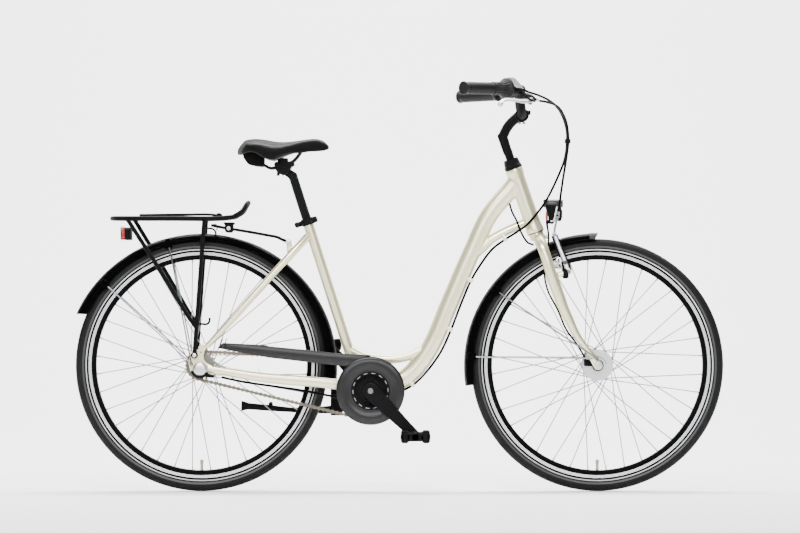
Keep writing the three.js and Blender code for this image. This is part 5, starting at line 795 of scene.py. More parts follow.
def saddle_cover():
    table = np.array(saddle_rows)
    places = np.concatenate([np.linspace(0, 0.12, 14), np.linspace(0.135, 0.9, 56), np.linspace(0.91, 1, 14)])
    smooth = [vec(row[1], row[2], row[3]) for row in saddle_rows]
    parts, rings = 36, []
    for place in places:
        index = int(np.searchsorted(table[:, 0], place, side="right") - 1)
        index = min(max(index, 0), len(table) - 2)
        span = table[index + 1, 0] - table[index, 0]
        t = (place - table[index, 0]) / span
        before, after = smooth[max(index - 1, 0)], smooth[min(index + 2, len(table) - 1)]
        here, there = smooth[index], smooth[index + 1]
        slope_in = (there - before) / (table[index + 1, 0] - table[max(index - 1, 0), 0]) * span
        slope_out = (after - here) / (table[min(index + 2, len(table) - 1), 0] - table[index, 0]) * span
        value = (here * (2 * t ** 3 - 3 * t ** 2 + 1) + slope_in * (t ** 3 - 2 * t ** 2 + t)
            + there * (3 * t ** 2 - 2 * t ** 3) + slope_out * (t ** 3 - t ** 2))
        width, top_share, skirt_share = value
        top, skirt = saddle_top - top_share * saddle_depth, saddle_top - skirt_share * saddle_depth
        half = max(width, 0.06) * saddle_half
        x = saddle_rear + place * saddle_length
        ring = []
        for step in range(parts + 1):
            angle = math.pi * step / parts
            spread = math.copysign(abs(math.cos(angle)) ** 0.75, math.cos(angle))
            rise = math.sin(angle) ** 0.7
            tuck = 1 - 0.07 * max(0, 0.25 - rise) / 0.25
            channel = 0.0016 * math.exp(-(spread / 0.22) ** 2) * min(1, max(0, (place - 0.06) / 0.2)) \
                * min(1, max(0, (0.75 - place) / 0.2))
            ring.append(vec(x, half * spread * tuck, skirt + (top - skirt) * rise - channel))
        hollow = min(0.014, (top - skirt) * 0.4)
        for share in (-0.88, -0.6, -0.3, 0, 0.3, 0.6, 0.88):
            ring.append(vec(x, half * share * 0.93, skirt + hollow * (1 - share ** 2)))
        rings.append(ring)
    return skinned(rings)


def coarse_relief(tree, source, output, strength, distance):
    """A coarser relief under the fine grain of a finish."""
    fine = next(node for node in tree.nodes if node.type == "BUMP")
    coarse = planted(tree, "ShaderNodeBump", {"Height": (source, output)}, {"Strength": strength,
        "Distance": distance})
    wire(tree, fine, {"Normal": (coarse, "Normal")})


def saddle_material():
    material = finish("saddle_cover", (15, 15, 15), (21, 21, 21), 0.27, grain=1400, bump=0.32, distance=0.0003,
        rough_spread=0.06, specular=0.35, edge=(2, 2, 2))
    tree = material.node_tree
    where = planted(tree, "ShaderNodeTexCoord")
    creases = planted(tree, "ShaderNodeTexVoronoi", {"Vector": (where, "Object")}, {"Scale": 620},
        feature="DISTANCE_TO_EDGE")
    edge = planted(tree, "ShaderNodeMapRange", {"Value": (creases, "Distance")}, {"From Max": 0.18})
    coarse_relief(tree, edge, "Result", 0.35, 0.00012)
    return material


saddle_gloss = saddle_material()
cover_mesh = bare_mesh("saddle_cover", [saddle_cover()])
rounding = object_from("saddle_rough", cover_mesh)
level = rounding.modifiers.new("round", "SUBSURF")
level.levels = level.render_levels = 1
saddle_pad = place_piece("saddle_pad", applied(rounding), saddle_gloss, "saddle", ["saddle_shell"],
    sharp=0)
bpy.data.objects.remove(rounding)


def rail_shapes():
    half = mm([(-400.7, 0, 911.3), (-398.2, 17.6, 908.8), (-383, 22, 906.3), (-374.6, 22, 903.5), (-355, 22, 895.2),
        (-322, 22, 905.1), (-296.6, 22, 913.2), (-285.2, 22, 923.7), (-271.2, 15.4, 942.3)])
    other = [(x, -y, z) for x, y, z in reversed(half[1:])]
    return [swept(other + half, [0.0042], sides=16, steps=120, wide=(0, 0.3, 1))]


def saddle_clamp_shapes():
    outline = mm([(-317.6, 889.1), (-329.7, 879.2), (-333, 879.2), (-337.9, 892.4), (-337.9, 907.8), (-331.3, 912.2),
        (-330.8, 923.2), (-309.3, 923.2), (-308.2, 911.1), (-299.4, 907.8), (-299.4, 893.5), (-305.5, 893.5)])
    cheeks = [eased(plate(outline, y, y + 0.016), 0.0014, 2) for y in (-0.03, 0.014)]
    bolt = turned(mm([(0, -33.5), (6.2, -33.5), (6.6, -32.8), (6.6, 32.8), (6.2, 33.5), (0, 33.5)]),
        (-0.3176, 0, 0.8925), side, 6)
    jaw = eased(plate(mm([(-344, 890.5), (-325, 875.5), (-317.5, 876.5), (-312, 886.5), (-322, 895), (-341, 899)]),
        -0.021, 0.021), 0.0015)
    screw = eased(bar_between((-0.3365, -0.0005, 0.874), (-0.3335, -0.0005, 0.9215), 0.0042, 20), 0.0008)
    wings = [eased(cross_bar((x, 0, z), 0.0075, 0.0335, 24), 0.001) for x, z in ((-0.3395, 0.9055),
        (-0.2985, 0.9065))]
    return cheeks + [bolt, jaw, screw, eased(cross_bar((-0.3215, 0, 0.9005), 0.0075, 0.028, 24), 0.001)] + wings


def saddle_housing_shapes():
    outline = mm([(-436.3, 942), (-372.8, 944), (-374.6, 898.6), (-392, 899.6), (-418.5, 905.1), (-429.9, 921.2)])
    return [eased(plate(outline, -0.046, 0.046), 0.005, 4)]


make_piece("saddle_rails_skin", rail_shapes(), satin_black, "saddle", ["saddle_rails"], sharp=60)
make_piece("saddle_clamp_skin", saddle_clamp_shapes(), satin_black, "saddle", ["saddle_clamp"])
housing_brown = finish("housing_plastic", (12, 10, 9), (18, 16, 15), 0.42, grain=1300, bump=0.15, specular=0.2,
    edge=(2, 2, 2))
make_piece("saddle_housing_skin", saddle_housing_shapes(), housing_brown, "saddle",
    ["saddle_rear_housing"])

# Wheels: 28 inch rims of black aluminium with a machined silver brake track, laced with 36 spokes.
# The tyre is moulded black rubber, with a fine tread, a pale reflecting stripe and a lighter band.
tyre_black = finish("tyre_rubber", (13, 13, 13), (21, 21, 21), 0.66, grain=1100, drift=9, bump=0.3, distance=0.0003,
    specular=0.12)
stripe_white = finish("reflecting_stripe", (222, 223, 225), (240, 241, 242), 0.5, metallic=0.2, grain=2000, bump=0.1)
band_grey = finish("sidewall_band", (30, 30, 31), (42, 42, 43), 0.55, grain=1500, bump=0.2)
valve_brass = finish("valve_brass", (150, 140, 112), (172, 162, 134), 0.36, metallic=0.8, grain=900)
rim_black = finish("rim_anodising", (9, 9, 10), (14, 14, 15), 0.3, grain=1800, bump=0.04, specular=0.18,
    edge=(2, 2, 2))
track_silver = finish("brake_track", (210, 211, 212), (234, 234, 235), 0.26, metallic=1.0, grain=1800, bump=0.06)


def tyre_profile():
    half = mm([(308.5, 11.2), (316.5, 11.4), (320.5, 14.8), (324.5, 17.6), (329, 19.3), (333.5, 19.8), (338, 18.8),
        (342, 16.4), (345.2, 12.8), (347.8, 7.8), (349.1, 3.6)])
    outer = half + [(0.3494, 0)] + [(r, -y) for r, y in reversed(half)]
    inner = mm([(308.5, -8.5), (316.5, -8.6), (325, -14.8), (334, -16.3), (342.5, -10.5), (345.8, 0), (342.5, 10.5),
        (334, 16.3), (325, 14.8), (316.5, 8.6), (308.5, 8.5)])
    return outer + inner


def sidewall_point(radius):
    half = tyre_profile()[:11]
    return float(np.interp(radius, [r for r, _ in half], [y for _, y in half]))


def sidewall_ring(axle, inner, outer, proud, sides=180):
    """A thin ring that lies on both flanks of the tyre, between two radii."""
    shapes = []
    for hand in (-1, 1):
        low, high = sidewall_point(inner), sidewall_point(outer)
        profile = [(inner, hand * (low - 0.0004)), (inner, hand * (low + proud)), (outer, hand * (high + proud)),
            (outer, hand * (high - 0.0004))]
        shapes.append(turned(profile, axle, side, sides))
    return shapes


def new_tree(name, inputs):
    """A geometry tree that takes a geometry and the other inputs, with the node that gives them."""
    tree = bpy.data.node_groups.new(name, "GeometryNodeTree")
    for label, kind in (("Geometry", "Geometry"),) + inputs:
        tree.interface.new_socket(label, in_out="INPUT", socket_type="NodeSocket" + kind)
    tree.interface.new_socket("Geometry", in_out="OUTPUT", socket_type="NodeSocketGeometry")
    return tree, planted(tree, "NodeGroupInput")


def end_tree(tree, given, shape):
    """Paints the shape and hands it out."""
    paint = planted(tree, "GeometryNodeSetMaterial", {"Geometry": (shape, "Geometry"), "Material": (given, "Finish")})
    planted(tree, "NodeGroupOutput", {"Geometry": (paint, "Geometry")})
    return tree


def ring_tree():
    """Copies of one unit stood evenly round a circle in the plane of the wheels."""
    tree, given = new_tree("ring_of_units", (("Unit", "Object"), ("Count", "Int"), ("Radius", "Float"),
        ("Center", "Vector"), ("Start", "Float"), ("Finish", "Material")))

    def worked(operation, first, second=None):
        node = planted(tree, "ShaderNodeMath", operation=operation)
        for slot_index, value in enumerate((first, second)):
            if isinstance(value, (int, float)):
                node.inputs[slot_index].default_value = value
            elif value is not None:
                tree.links.new(value, node.inputs[slot_index])
        return node.outputs[0]

    index = planted(tree, "GeometryNodeInputIndex")
    share = worked("DIVIDE", index.outputs["Index"], given.outputs["Count"])
    angle = worked("ADD", worked("MULTIPLY", share, math.tau), given.outputs["Start"])
    place, spin = planted(tree, "ShaderNodeCombineXYZ"), planted(tree, "ShaderNodeCombineXYZ")
    for part, operation in (("X", "COSINE"), ("Z", "SINE")):
        tree.links.new(worked("MULTIPLY", worked(operation, angle), given.outputs["Radius"]), place.inputs[part])
    tree.links.new(worked("MULTIPLY", angle, -1.0), spin.inputs["Y"])
    points = planted(tree, "GeometryNodePoints", {"Count": (given, "Count"), "Position": (place, "Vector")})
    unit = planted(tree, "GeometryNodeObjectInfo", {"Object": (given, "Unit")})
    copies = planted(tree, "GeometryNodeInstanceOnPoints", {"Points": (points, 0), "Instance": (unit, "Geometry"),
        "Rotation": (spin, "Vector")})
    real = planted(tree, "GeometryNodeRealizeInstances", {"Geometry": (copies, "Instances")})
    shift = planted(tree, "GeometryNodeSetPosition", {"Geometry": (real, "Geometry"), "Offset": (given, "Center")})
    return end_tree(tree, given, shift)


def grown(name, tree, values, source=None):
    """The plain mesh that a tree makes from the given inputs."""
    rough = object_from(name + "_rough", source or bpy.data.meshes.new(name))
    maker = rough.modifiers.new("maker", "NODES")
    maker.node_group = tree
    for socket in tree.interface.items_tree:
        if socket.in_out == "INPUT" and socket.name in values:
            maker[socket.identifier] = values[socket.name]
    mesh = applied(rough)
    bpy.data.objects.remove(rough)
    return mesh


ring_of_units = ring_tree()


def ring_of(name, shapes, count, radius, center, start, material):
    """Copies of one shape round an axle. In the shape, X points outwards and Z runs along the ring."""
    unit = object_from(name + "_unit", bare_mesh(name + "_unit", shapes))
    mesh = grown(name, ring_of_units, {"Unit": unit, "Count": count, "Radius": radius, "Center": tuple(center),
        "Start": start, "Finish": material})
    bpy.data.objects.remove(unit)
    return mesh


def block(low, high):
    (x0, y0, z0), (x1, y1, z1) = low, high
    return plate([(x0, z0), (x1, z0), (x1, z1), (x0, z1)], y0, y1)


def tread_blocks():
    """Slanted blocks on both shoulders and small sipes beside the centre line."""
    shapes = []
    for hand in (-1, 1):
        for lead, y0, y1, r0, r1 in ((0.0, 0.0075, 0.0125, -0.0022, -0.005), (0.0042, 0.0135, 0.0172, -0.0058,
            -0.0098)):
            verts = [vec(r, hand * y, z) for y, r in ((y0, r0), (y1, r1)) for z in (lead - 0.0026, lead + 0.0022)]
            tops = [vec(v.x + 0.0011, v.y * 1.03, v.z) for v in verts]
            all_verts = verts + tops
            faces = [(0, 1, 3, 2), (4, 6, 7, 5), (0, 4, 5, 1), (2, 3, 7, 6), (0, 2, 6, 4), (1, 5, 7, 3)]
            shapes.append((all_verts, faces))
    return shapes


def rim_profile():
    return mm([(316, 13), (315.2, 13.3), (304, 13.1), (303.2, 12.9), (296.5, 12.5), (292.5, 10.8), (291.5, 7),
        (291.5, -7), (292.5, -10.8), (296.5, -12.5), (303.2, -12.9), (304, -13.1), (315.2, -13.3), (316, -13),
        (315.8, -11.7), (299.5, -11.2), (298.5, -9), (298.5, 9), (299.5, 11.2), (315.8, 11.7)])


def spoke_tree():
    """A round wire along every edge of the source, and a nipple at each outer end."""
    tree, given = new_tree("laced_spokes", (("Wire", "Float"), ("Nipple", "Object"), ("Finish", "Material")))
    line = planted(tree, "GeometryNodeMeshToCurve", {0: (given, "Geometry")})
    ring = planted(tree, "GeometryNodeCurvePrimitiveCircle", {"Radius": (given, "Wire")}, {"Resolution": 8})
    rods = planted(tree, "GeometryNodeCurveToMesh", {"Curve": (line, "Curve"), "Profile Curve": (ring, "Curve")},
        {"Fill Caps": True})
    outer = planted(tree, "GeometryNodeInputNamedAttribute", (), {"Name": "outer_end"}, data_type="FLOAT")
    lean = planted(tree, "GeometryNodeInputNamedAttribute", (), {"Name": "lean"}, data_type="FLOAT_VECTOR")
    turn = planted(tree, "FunctionNodeAlignRotationToVector", {"Vector": (lean, "Attribute")}, axis="Z")
    nipple = planted(tree, "GeometryNodeObjectInfo", {"Object": (given, "Nipple")})
    copies = planted(tree, "GeometryNodeInstanceOnPoints", {"Points": (given, "Geometry"),
        "Selection": (outer, "Attribute"), "Instance": (nipple, "Geometry"), "Rotation": (turn, "Rotation")})
    both = planted(tree, "GeometryNodeJoinGeometry", {"Geometry": (rods, "Mesh")})
    wire(tree, both, {"Geometry": (copies, "Instances")})
    real = planted(tree, "GeometryNodeRealizeInstances", {"Geometry": (both, "Geometry")})
    return end_tree(tree, given, real)


laced_spokes = spoke_tree()
spoke_steel = finish("spoke_steel", (84, 86, 88), (112, 113, 115), 0.3, metallic=0.7, grain=900, bump=0.03)
spoke_count, nipple_radius = 36, 0.2936
nipple_profile = mm([(0, -12.5), (1.4, -12.5), (1.7, -11.8), (1.7, -4), (2.1, -3.5), (2.1, 0), (0, 0)])


def spokes_mesh(name, axle, flange_radius, flanges):
    verts, ends, leans = [], [], []
    for spoke in range(spoke_count):
        rim_angle = math.radians((spoke + 0.5) * 360 / spoke_count)
        hand = 1 if spoke % 2 == 0 else -1
        lean = 1 if spoke % 4 < 2 else -1
        hub_angle = rim_angle + lean * math.radians(60)
        flange = flanges[(hand + 1) // 2]
        inner = axle + vec(flange_radius * math.cos(hub_angle), flange + lean * 0.0022,
            flange_radius * math.sin(hub_angle))
        outer = axle + vec(nipple_radius * math.cos(rim_angle), hand * 0.0018, nipple_radius * math.sin(rim_angle))
        verts += [inner, outer]
        ends += [0.0, 1.0]
        leans += [(outer - inner).normalized()] * 2
    source = bpy.data.meshes.new(name + "_source")
    source.from_pydata(verts, [(2 * index, 2 * index + 1) for index in range(spoke_count)], [])
    source.attributes.new("outer_end", "FLOAT", "POINT").data.foreach_set("value", ends)
    source.attributes.new("lean", "FLOAT_VECTOR", "POINT").data.foreach_set("vector",
        [v for lean in leans for v in lean])
    nipple = object_from("nipple_unit", bare_mesh("nipple_unit", [turned(nipple_profile, (0, 0, 0), (0, 0, 1), 8)]))
    mesh = grown(name, laced_spokes, {"Wire": 0.00135, "Nipple": nipple, "Finish": spoke_steel}, source)
    bpy.data.objects.remove(nipple)
    for label in ("outer_end", "lean"):
        if label in mesh.attributes:
            mesh.attributes.remove(mesh.attributes[label])
    return mesh


tread_count, tread_radius = 170, 0.3498


def wheel(prefix, axle, body, hub, flange_radius, flanges):
    make_piece(prefix + "_tyre_casing", [turned(tyre_profile(), axle, side, 180)], tyre_black, body,
        [prefix + "_tyre"], sharp=0)
    make_piece(prefix + "_stripe", sidewall_ring(axle, 0.3183, 0.3208, 0.0003), stripe_white, body,
        sharp=60)
    make_piece(prefix + "_band", sidewall_ring(axle, 0.3248, 0.3302, 0.00025), band_grey, body,
        sharp=60)
    tread = ring_of(prefix + "_tread", tread_blocks(), tread_count, tread_radius, axle, 0.0, tyre_black)
    place_piece(prefix + "_tread_blocks", tread, tyre_black, body, sharp=40)
    make_piece(prefix + "_rim_hoop", [turned(rim_profile(), axle, side, 180)], rim_black, body,
        [prefix + "_rim"], sharp=50)
    tracks = [turned([(0.3048, hand * 0.0128), (0.305, hand * 0.0134), (0.3128, hand * 0.0136),
        (0.313, hand * 0.013)], axle, side, 180) for hand in (-1, 1)]
    make_piece(prefix + "_brake_track", tracks, track_silver, body, sharp=60)
    valve = mm([(0, 0), (5.2, 0), (5.2, 3), (4, 3.5), (4, 18), (4.8, 18.5), (4.8, 30), (4, 31.2), (0, 31.2)])
    make_piece(prefix + "_valve", [turned(valve, axle + vec(0, 0, -0.2933), (0, 0, 1), 20)], valve_brass, body,
        [prefix + "_inner_tube"])
    make_piece(prefix + "_hub_shell", hub, bright_alloy, body, [prefix + "_hub_and_spokes"])
    place_piece(prefix + "_spokes", spokes_mesh(prefix + "_spokes", axle, flange_radius, flanges), spoke_steel, body,
        sharp=50)


def rear_hub():
    profile = mm([(5.5, -40.5), (15, -40.5), (17.2, -39.5), (17.2, -38.8), (32.2, -38.8), (33, -38), (33, -34),
        (32.2, -33.2), (26.2, -32.6), (25, -30), (23.5, -10), (23.5, 12), (25, 32), (26.2, 34.6), (32.2, 35.2),
        (33, 36), (33, 40), (32.2, 40.8), (20, 41.2), (17.5, 44), (15, 50), (5.5, 50)])
    return [turned(profile, rear_axle, side, 64)]


def front_hub():
    profile = mm([(5, -33), (22, -33), (24, -30.4), (42.2, -30.4), (43, -29.6), (43, -24.6), (42.2, -23.8),
        (37.8, -23.6), (37, -22), (36.2, -10), (36.2, 10), (37, 22), (37.8, 23.6), (42.2, 23.8), (43, 24.6),
        (43, 29.6), (42.2, 30.4), (24, 31), (20, 36), (5, 36)])
    return [turned(profile, front_axle, side, 72)]


wheel("rear", rear_axle, "rear_wheel", rear_hub(), 0.03, (-0.036, 0.038))
wheel("front", front_axle, "front_wheel", front_hub(), 0.04, (-0.027, 0.027))

# Mudguards: strips of glossy black polycarbonate with rolled edges, bent round each wheel.
# Black clips at their sides hold two thin stainless stays, whose eyes are screwed on beside the axles.
# A strap joins the front one to the fork crown and ends in the knuckle that the lamp hangs on.
gloss_black = finish("mudguard_black", (3, 3, 4), (6, 6, 7), 0.22, grain=1600, bump=0.05, specular=0.12,
    edge=(2, 2, 2))


guard_lip = 0.348


def guard_strip(axle, first, last, rises, thin=0.0014, slant=0.0, end_slant=0.0):
    """A domed strip from one angle to the other; each share of 20 mm is its crown's rise above the lip."""
    half, rows, parts, dome, rings = 0.0265, 96, 22, 0.62, []
    for step in range(rows + 1):
        share = step / rows
        angle = math.radians(first + (last - first) * share)
        rise = 0.02 * float(np.interp(share, np.linspace(0, 1, len(rises)), rises))
        ring = []
        for inner in (False, True):
            sweep = range(parts + 1) if not inner else range(parts, -1, -1)
            for part in sweep:
                turn = math.pi * part / parts
                y = (half - (thin if inner else 0)) * math.cos(turn)
                r = guard_lip + (rise - (thin if inner else 0)) * abs(math.sin(turn)) ** dome
                lean = slant * (1 - share) ** 4 - end_slant * share ** 6
                cut = angle + math.radians(lean) * (1 - abs(math.sin(turn)) ** dome)
                ring.append(axle + vec(r * math.cos(cut), y, r * math.sin(cut)))
        rings.append(ring)
    return skinned(rings)


def lip_beads(axle, first, last):
    """The rolled edge along both lips."""
    arc = [(guard_lip * math.cos(math.radians(a)), guard_lip * math.sin(math.radians(a))) for a in np.linspace(first,
        last, 49)]
    return [swept([axle + vec(x, hand * 0.0262, z) for x, z in arc], [0.0014], sides=10, steps=120) for hand in (-1,
        1)]


def stay_clips(axle, angles):
    """The moulded clip that holds each stay's wire on the flank of the mudguard."""
    shapes = []
    for angle in angles:
        turn = math.radians(angle)
        along = vec(-math.sin(turn), 0, math.cos(turn))
        for hand in (-1, 1):
            outline = mm([(-12, 337), (9, 337), (12, 350), (7, 362), (-6, 362)])
            low, high = sorted((hand * 0.0255, hand * 0.0325))
            shape = plate(outline, low, high, (0, 1, 0), axle, along * -1)
            shapes.append(eased(shape, 0.0016, 2))
    return shapes


def stay_wires(axle, angles, eye):
    clip_radius, knee_radius, shapes = 0.357, 0.325, []
    for angle in angles:
        turn = math.radians(angle)
        out = vec(math.cos(turn), 0, math.sin(turn))
        for hand in (-1, 1):
            top = axle + out * clip_radius + vec(0, hand * 0.0295, 0)
            knee = axle + out * knee_radius + vec(0, hand * 0.031, 0)
            foot = vec(eye[0], hand * abs(eye[1]), eye[2])
            shapes.append(swept([top, knee, knee.lerp(foot, 0.5), foot], [0.002], sides=10, steps=28))
    for hand in (-1, 1):
        foot = vec(eye[0], hand * abs(eye[1]), eye[2])
        shapes.append(turned(mm([(2.4, -1.6), (5.2, -1.6), (5.2, 1.6), (2.4, 1.6)]), foot, side, 20))
    return shapes


stay_steel = finish("stay_steel", (92, 93, 95), (116, 117, 119), 0.3, metallic=0.8, grain=900, bump=0.05)
rear_rises, front_rises = (1.45, 1.25, 1, 0.825, 0.8, 1.025, 1.4), (0.85, 0.87, 0.95, 1.05, 1.1)
rear_guard = [guard_strip(rear_axle, -10, 157.8, rear_rises, end_slant=1.6)] + lip_beads(rear_axle, -10, 156) \
    + stay_clips(rear_axle, (105.3, 140))
make_piece("rear_mudguard_skin", rear_guard, gloss_black, "frame", ["rear_mudguard"], sharp=50)
front_guard = [guard_strip(front_axle, 90.3, 189, front_rises, slant=1.5)] + lip_beads(front_axle, 91.9, 189) \
    + stay_clips(front_axle, (143.5, 176))
strap_line = mm([(413.5, 0, 679.4), (411.8, 0, 691.7), (413, 0, 704.9), (410.8, 0, 723), (407.7, 0, 738),
    (406.9, 0, 747.6)])
strap = swept(strap_line, [0.01], [0.0017], 16, 40, (0, 1, 0), 6.0)
knuckle = eased(cross_bar((0.4221, 0, 0.747), 0.0065, 0.0125, 28), 0.0012)
arm = eased(plate([(0.4056, 0.7415), (0.4056, 0.7524), (0.4221, 0.7524), (0.4221, 0.7415)], -0.009, 0.009), 0.0012)
make_piece("front_mudguard_skin", front_guard, gloss_black, "steering", ["front_mudguard"], sharp=50)
tip_grey = finish("mudguard_tip", (38, 39, 41), (54, 55, 57), 0.5, grain=1300, bump=0.1, specular=0.1)
make_piece("front_mudguard_tip", [guard_strip(front_axle, 89.7, 93.6, (0.92, 0.93), 0.0026, 1.5)], tip_grey,
    "steering", sharp=50)
make_piece("headlight_strap", [strap, arm, knuckle], satin_black, "steering", sharp=50)
make_piece("rear_stay_wires", stay_wires(rear_axle, (105.3, 140), (-0.5735, 0.0718, 0.3545)), stay_steel, "frame",
    ["rear_mudguard_stays"])
make_piece("front_stay_wires", stay_wires(front_axle, (143.5, 176), (0.5441, 0.0613, 0.3695)), stay_steel, "steering",
    ["front_mudguard_stays"])

# Luggage rack: bent and welded aluminium tube with a satin black coating.
# A hoop with four cross tubes and two flat bars makes the deck, over legs that bolt on beside the axle.
# Bent wire hooks stand on the legs and on the mudguard.
rack_black = finish("rack_coating", (14, 14, 15), (20, 20, 21), 0.34, grain=1500, drift=11, bump=0.16, specular=0.18,
    edge=(2, 2, 2))


def rack_shapes():
    half, top = 0.062, 0.756
    shapes = []
    rear, front = -0.794, -0.458
    hoop = [(front, -half + 0.004, top + 0.004), (-0.5, -half, top), (-0.62, -half, top), (-0.744, -half, top),
        (rear + 0.012, -half + 0.008, top), (rear, -half + 0.035, top), (rear, 0, top), (rear, half - 0.035, top),
        (rear + 0.012, half - 0.008, top), (-0.744, half, top), (-0.62, half, top), (-0.5, half, top),
        (front, half - 0.004, top + 0.004)]
    shapes.append(swept(hoop, [0.0064], sides=20, steps=150, wide=(0, 0, 1)))
    rise = [(front, -half + 0.004, top + 0.004), (-0.436, -half + 0.012, 0.774), (-0.424, -half + 0.03, 0.792),
        (-0.419, 0, 0.799), (-0.424, half - 0.03, 0.792), (-0.436, half - 0.012, 0.774),
        (front, half - 0.004, top + 0.004)]
    shapes.append(swept(rise, [0.0068], sides=20, steps=90, wide=(0, 0, 1)))
    for x in (-0.742, -0.64, -0.552, -0.472):
        shapes.append(cross_bar((x, 0, top), 0.0044, half, 20))
    for y in (-0.024, 0.024):
        bar = plate([(-0.794, top - 0.00275), (-0.472, top - 0.00275), (-0.472, top + 0.00275),
            (-0.794, top + 0.00275)], y - 0.00275, y + 0.00275)
        shapes.append(eased(bar, 0.0009, 2))
    foot = vec(-0.565, 0.0764, 0.379)
    for hand in (-1, 1):
        base = vec(foot.x, hand * foot.y, foot.z)
        front_top, rear_top = vec(-0.538, hand * half, top), vec(-0.752 + (0.012 if hand > 0 else 0), hand * half,
            top)
        shapes.append(swept([front_top, front_top.lerp(base, 0.3), front_top.lerp(base, 0.75), base], [0.006],
            sides=20, steps=40))
        joint = front_top.lerp(base, 0.8)
        shapes.append(swept([rear_top, rear_top.lerp(joint, 0.06), rear_top.lerp(joint, 0.5),
            rear_top.lerp(joint, 0.9) + vec(-0.004, 0, 0.002), joint], [0.006], sides=20, steps=60))
        eye = turned(mm([(3.5, -3), (9.5, -3), (9.5, 3), (3.5, 3)]), base, side, 28)
        shapes.append(eye)
    return shapes


make_piece("rack_tubes", rack_shapes(), rack_black, "frame", ["luggage_rack"], sharp=45)


def rack_screws():
    head = mm([(0, 0), (5.8, 0), (6.2, 0.6), (5.8, 2.4), (3.4, 3.8), (0, 4)])
    return [turned(head, vec(-0.565, hand * 0.0794, 0.379), (0, hand, 0), 24) for hand in (-1, 1)]


make_piece("rack_foot_screws", rack_screws(), bright_alloy, "frame")


def rod_shapes():
    shapes, half = [], 0.0378
    for hand in (-1, 1):
        line = [(-0.52, hand * 0.024, 0.737), (-0.49, hand * half, 0.731), (-0.472, hand * half, 0.728),
            (-0.42, hand * half, 0.7195), (-0.365, hand * half, 0.7095), (-0.3465, hand * half, 0.7062),
            (-0.336, hand * (half - 0.001), 0.7035), (-0.3265, hand * (half - 0.001), 0.6985),
            (-0.3069, hand * (half - 0.001), 0.6906)]
        shapes.append(swept(line, [0.0041], sides=14, steps=60, wide=(0, 0, 1)))
        shapes.append(turned(mm([(0, -3), (6.8, -3), (6.8, 3), (0, 3)]), (-0.3069, hand * (half - 0.001), 0.6916),
            side, 24))
    shapes.append(cross_bar((-0.472, 0, 0.728), 0.0033, half, 16))
    return shapes


make_piece("rack_rods", rod_shapes(), rack_black, "frame", ["rack_stay_rod"])
rod_bracket = mm([(-486, 745.5), (-457.5, 745.5), (-457.5, 741), (-461.5, 738.5), (-461.5, 721.5), (-466, 716.5),
    (-478, 716.5), (-482.5, 721.5), (-482.5, 738.5), (-486, 741)])
brackets = [eased(plate(rod_bracket, *sorted((hand * 0.036, hand * 0.046))), 0.0015) for hand in (-1, 1)]
make_piece("rod_brackets", brackets, rack_black, "frame")
bracket_bolts, eye_bolts = [], []
for hand in (-1, 1):
    bracket_bolts.append(turned(mm([(0, 0), (5.2, 0), (5.6, 0.8), (5, 2.6), (2.6, 3), (2.2, 1.8), (0, 1.8)]),
        (-0.472, hand * 0.046, 0.7285), (0, hand, 0), 28))
    eye_bolts.append(turned(mm([(0, 0), (6.6, 0), (7, 0.8), (6.2, 2.8), (3, 3.4), (0, 3.4)]),
        (-0.3069, hand * 0.0398, 0.6912), (0, hand, 0), 28))
make_piece("rod_bolts", bracket_bolts + eye_bolts, bright_alloy, "frame")
low_hook = swept(mm([(-554, -68, 465), (-542, -70, 464.5), (-533, -71, 463.8), (-526.5, -71, 467), (-523.5, -71, 474),
    (-523.2, -71, 482)]), [0.003], sides=12, steps=24)
side_hook = swept(mm([(-538, -34, 727), (-526, -36, 728.5), (-514.5, -36, 726), (-508.5, -36, 718.5),
    (-508.5, -36, 708.5), (-514.5, -36, 703.5)]), [0.0026], sides=12, steps=30)
hook = swept(mm([(-518.5, -12, 733.5), (-516.5, -12, 738.5), (-508, -12, 739), (-505.5, -12, 734),
    (-506, -12, 722.5)]), [0.0019], sides=10, steps=30, wide=(0, 1, 0))
make_piece("mudguard_hook", [hook, low_hook, side_hook], rack_black, "frame")

# Spring clip: two sprung wires of black coated steel that press a load down on the rack.
# They turn on a sleeve across the deck and meet in a cross wire at the back.
clip_pin = vec(-0.5, 0, 0.763)


def clip_shapes():
    shapes = [cross_bar(clip_pin, 0.006, 0.02075, 24)]
    bends = mm([(1, -18, 0), (-20, -18, 3.6), (-100, -18, 3.6), (-190, -18, 2.6), (-208, -21, 2.4), (-215, -27, 2.4)])
    line = [clip_pin + Vector(bend) for bend in bends]
    other = [vec(p.x, -p.y, p.z) for p in line]
    shapes.append(swept(line + list(reversed(other)), [0.0034], sides=14, steps=120, wide=(0, 0, 1)))
    for hand in (-1, 1):
        coil = [clip_pin + vec(0.0072 * math.cos(a), hand * (0.0205 + 0.0006 * a),
            0.0072 * math.sin(a)) for a in np.linspace(0, math.tau * 2.5, 50)]
        shapes.append(swept(coil, [0.0012], sides=8, steps=150))
    return shapes


make_piece("clip_wires", clip_shapes(), rack_black, "rack_clip", ["rack_spring_clip"])

# Rear light: a red lens with moulded prisms, pressed into a black housing.
# The housing is bolted to the plate at the back of the rack.
def lens_material(name, dark, light, clear):
    material = finish(name, dark, light, 0.12, grain=900, bump=0.02, coat=0.8, coat_roughness=0.05)
    tree = material.node_tree
    where = planted(tree, "ShaderNodeTexCoord")
    prisms = planted(tree, "ShaderNodeTexVoronoi", {"Vector": (where, "Object")}, {"Scale": 330, "Randomness": 0.0},
        feature="F1", distance="CHEBYCHEV")
    coarse_relief(tree, prisms, "Distance", 0.5, 0.0006)
    give(tree.nodes["Principled BSDF"], {"Transmission Weight": clear, "IOR": 1.49})
    return material


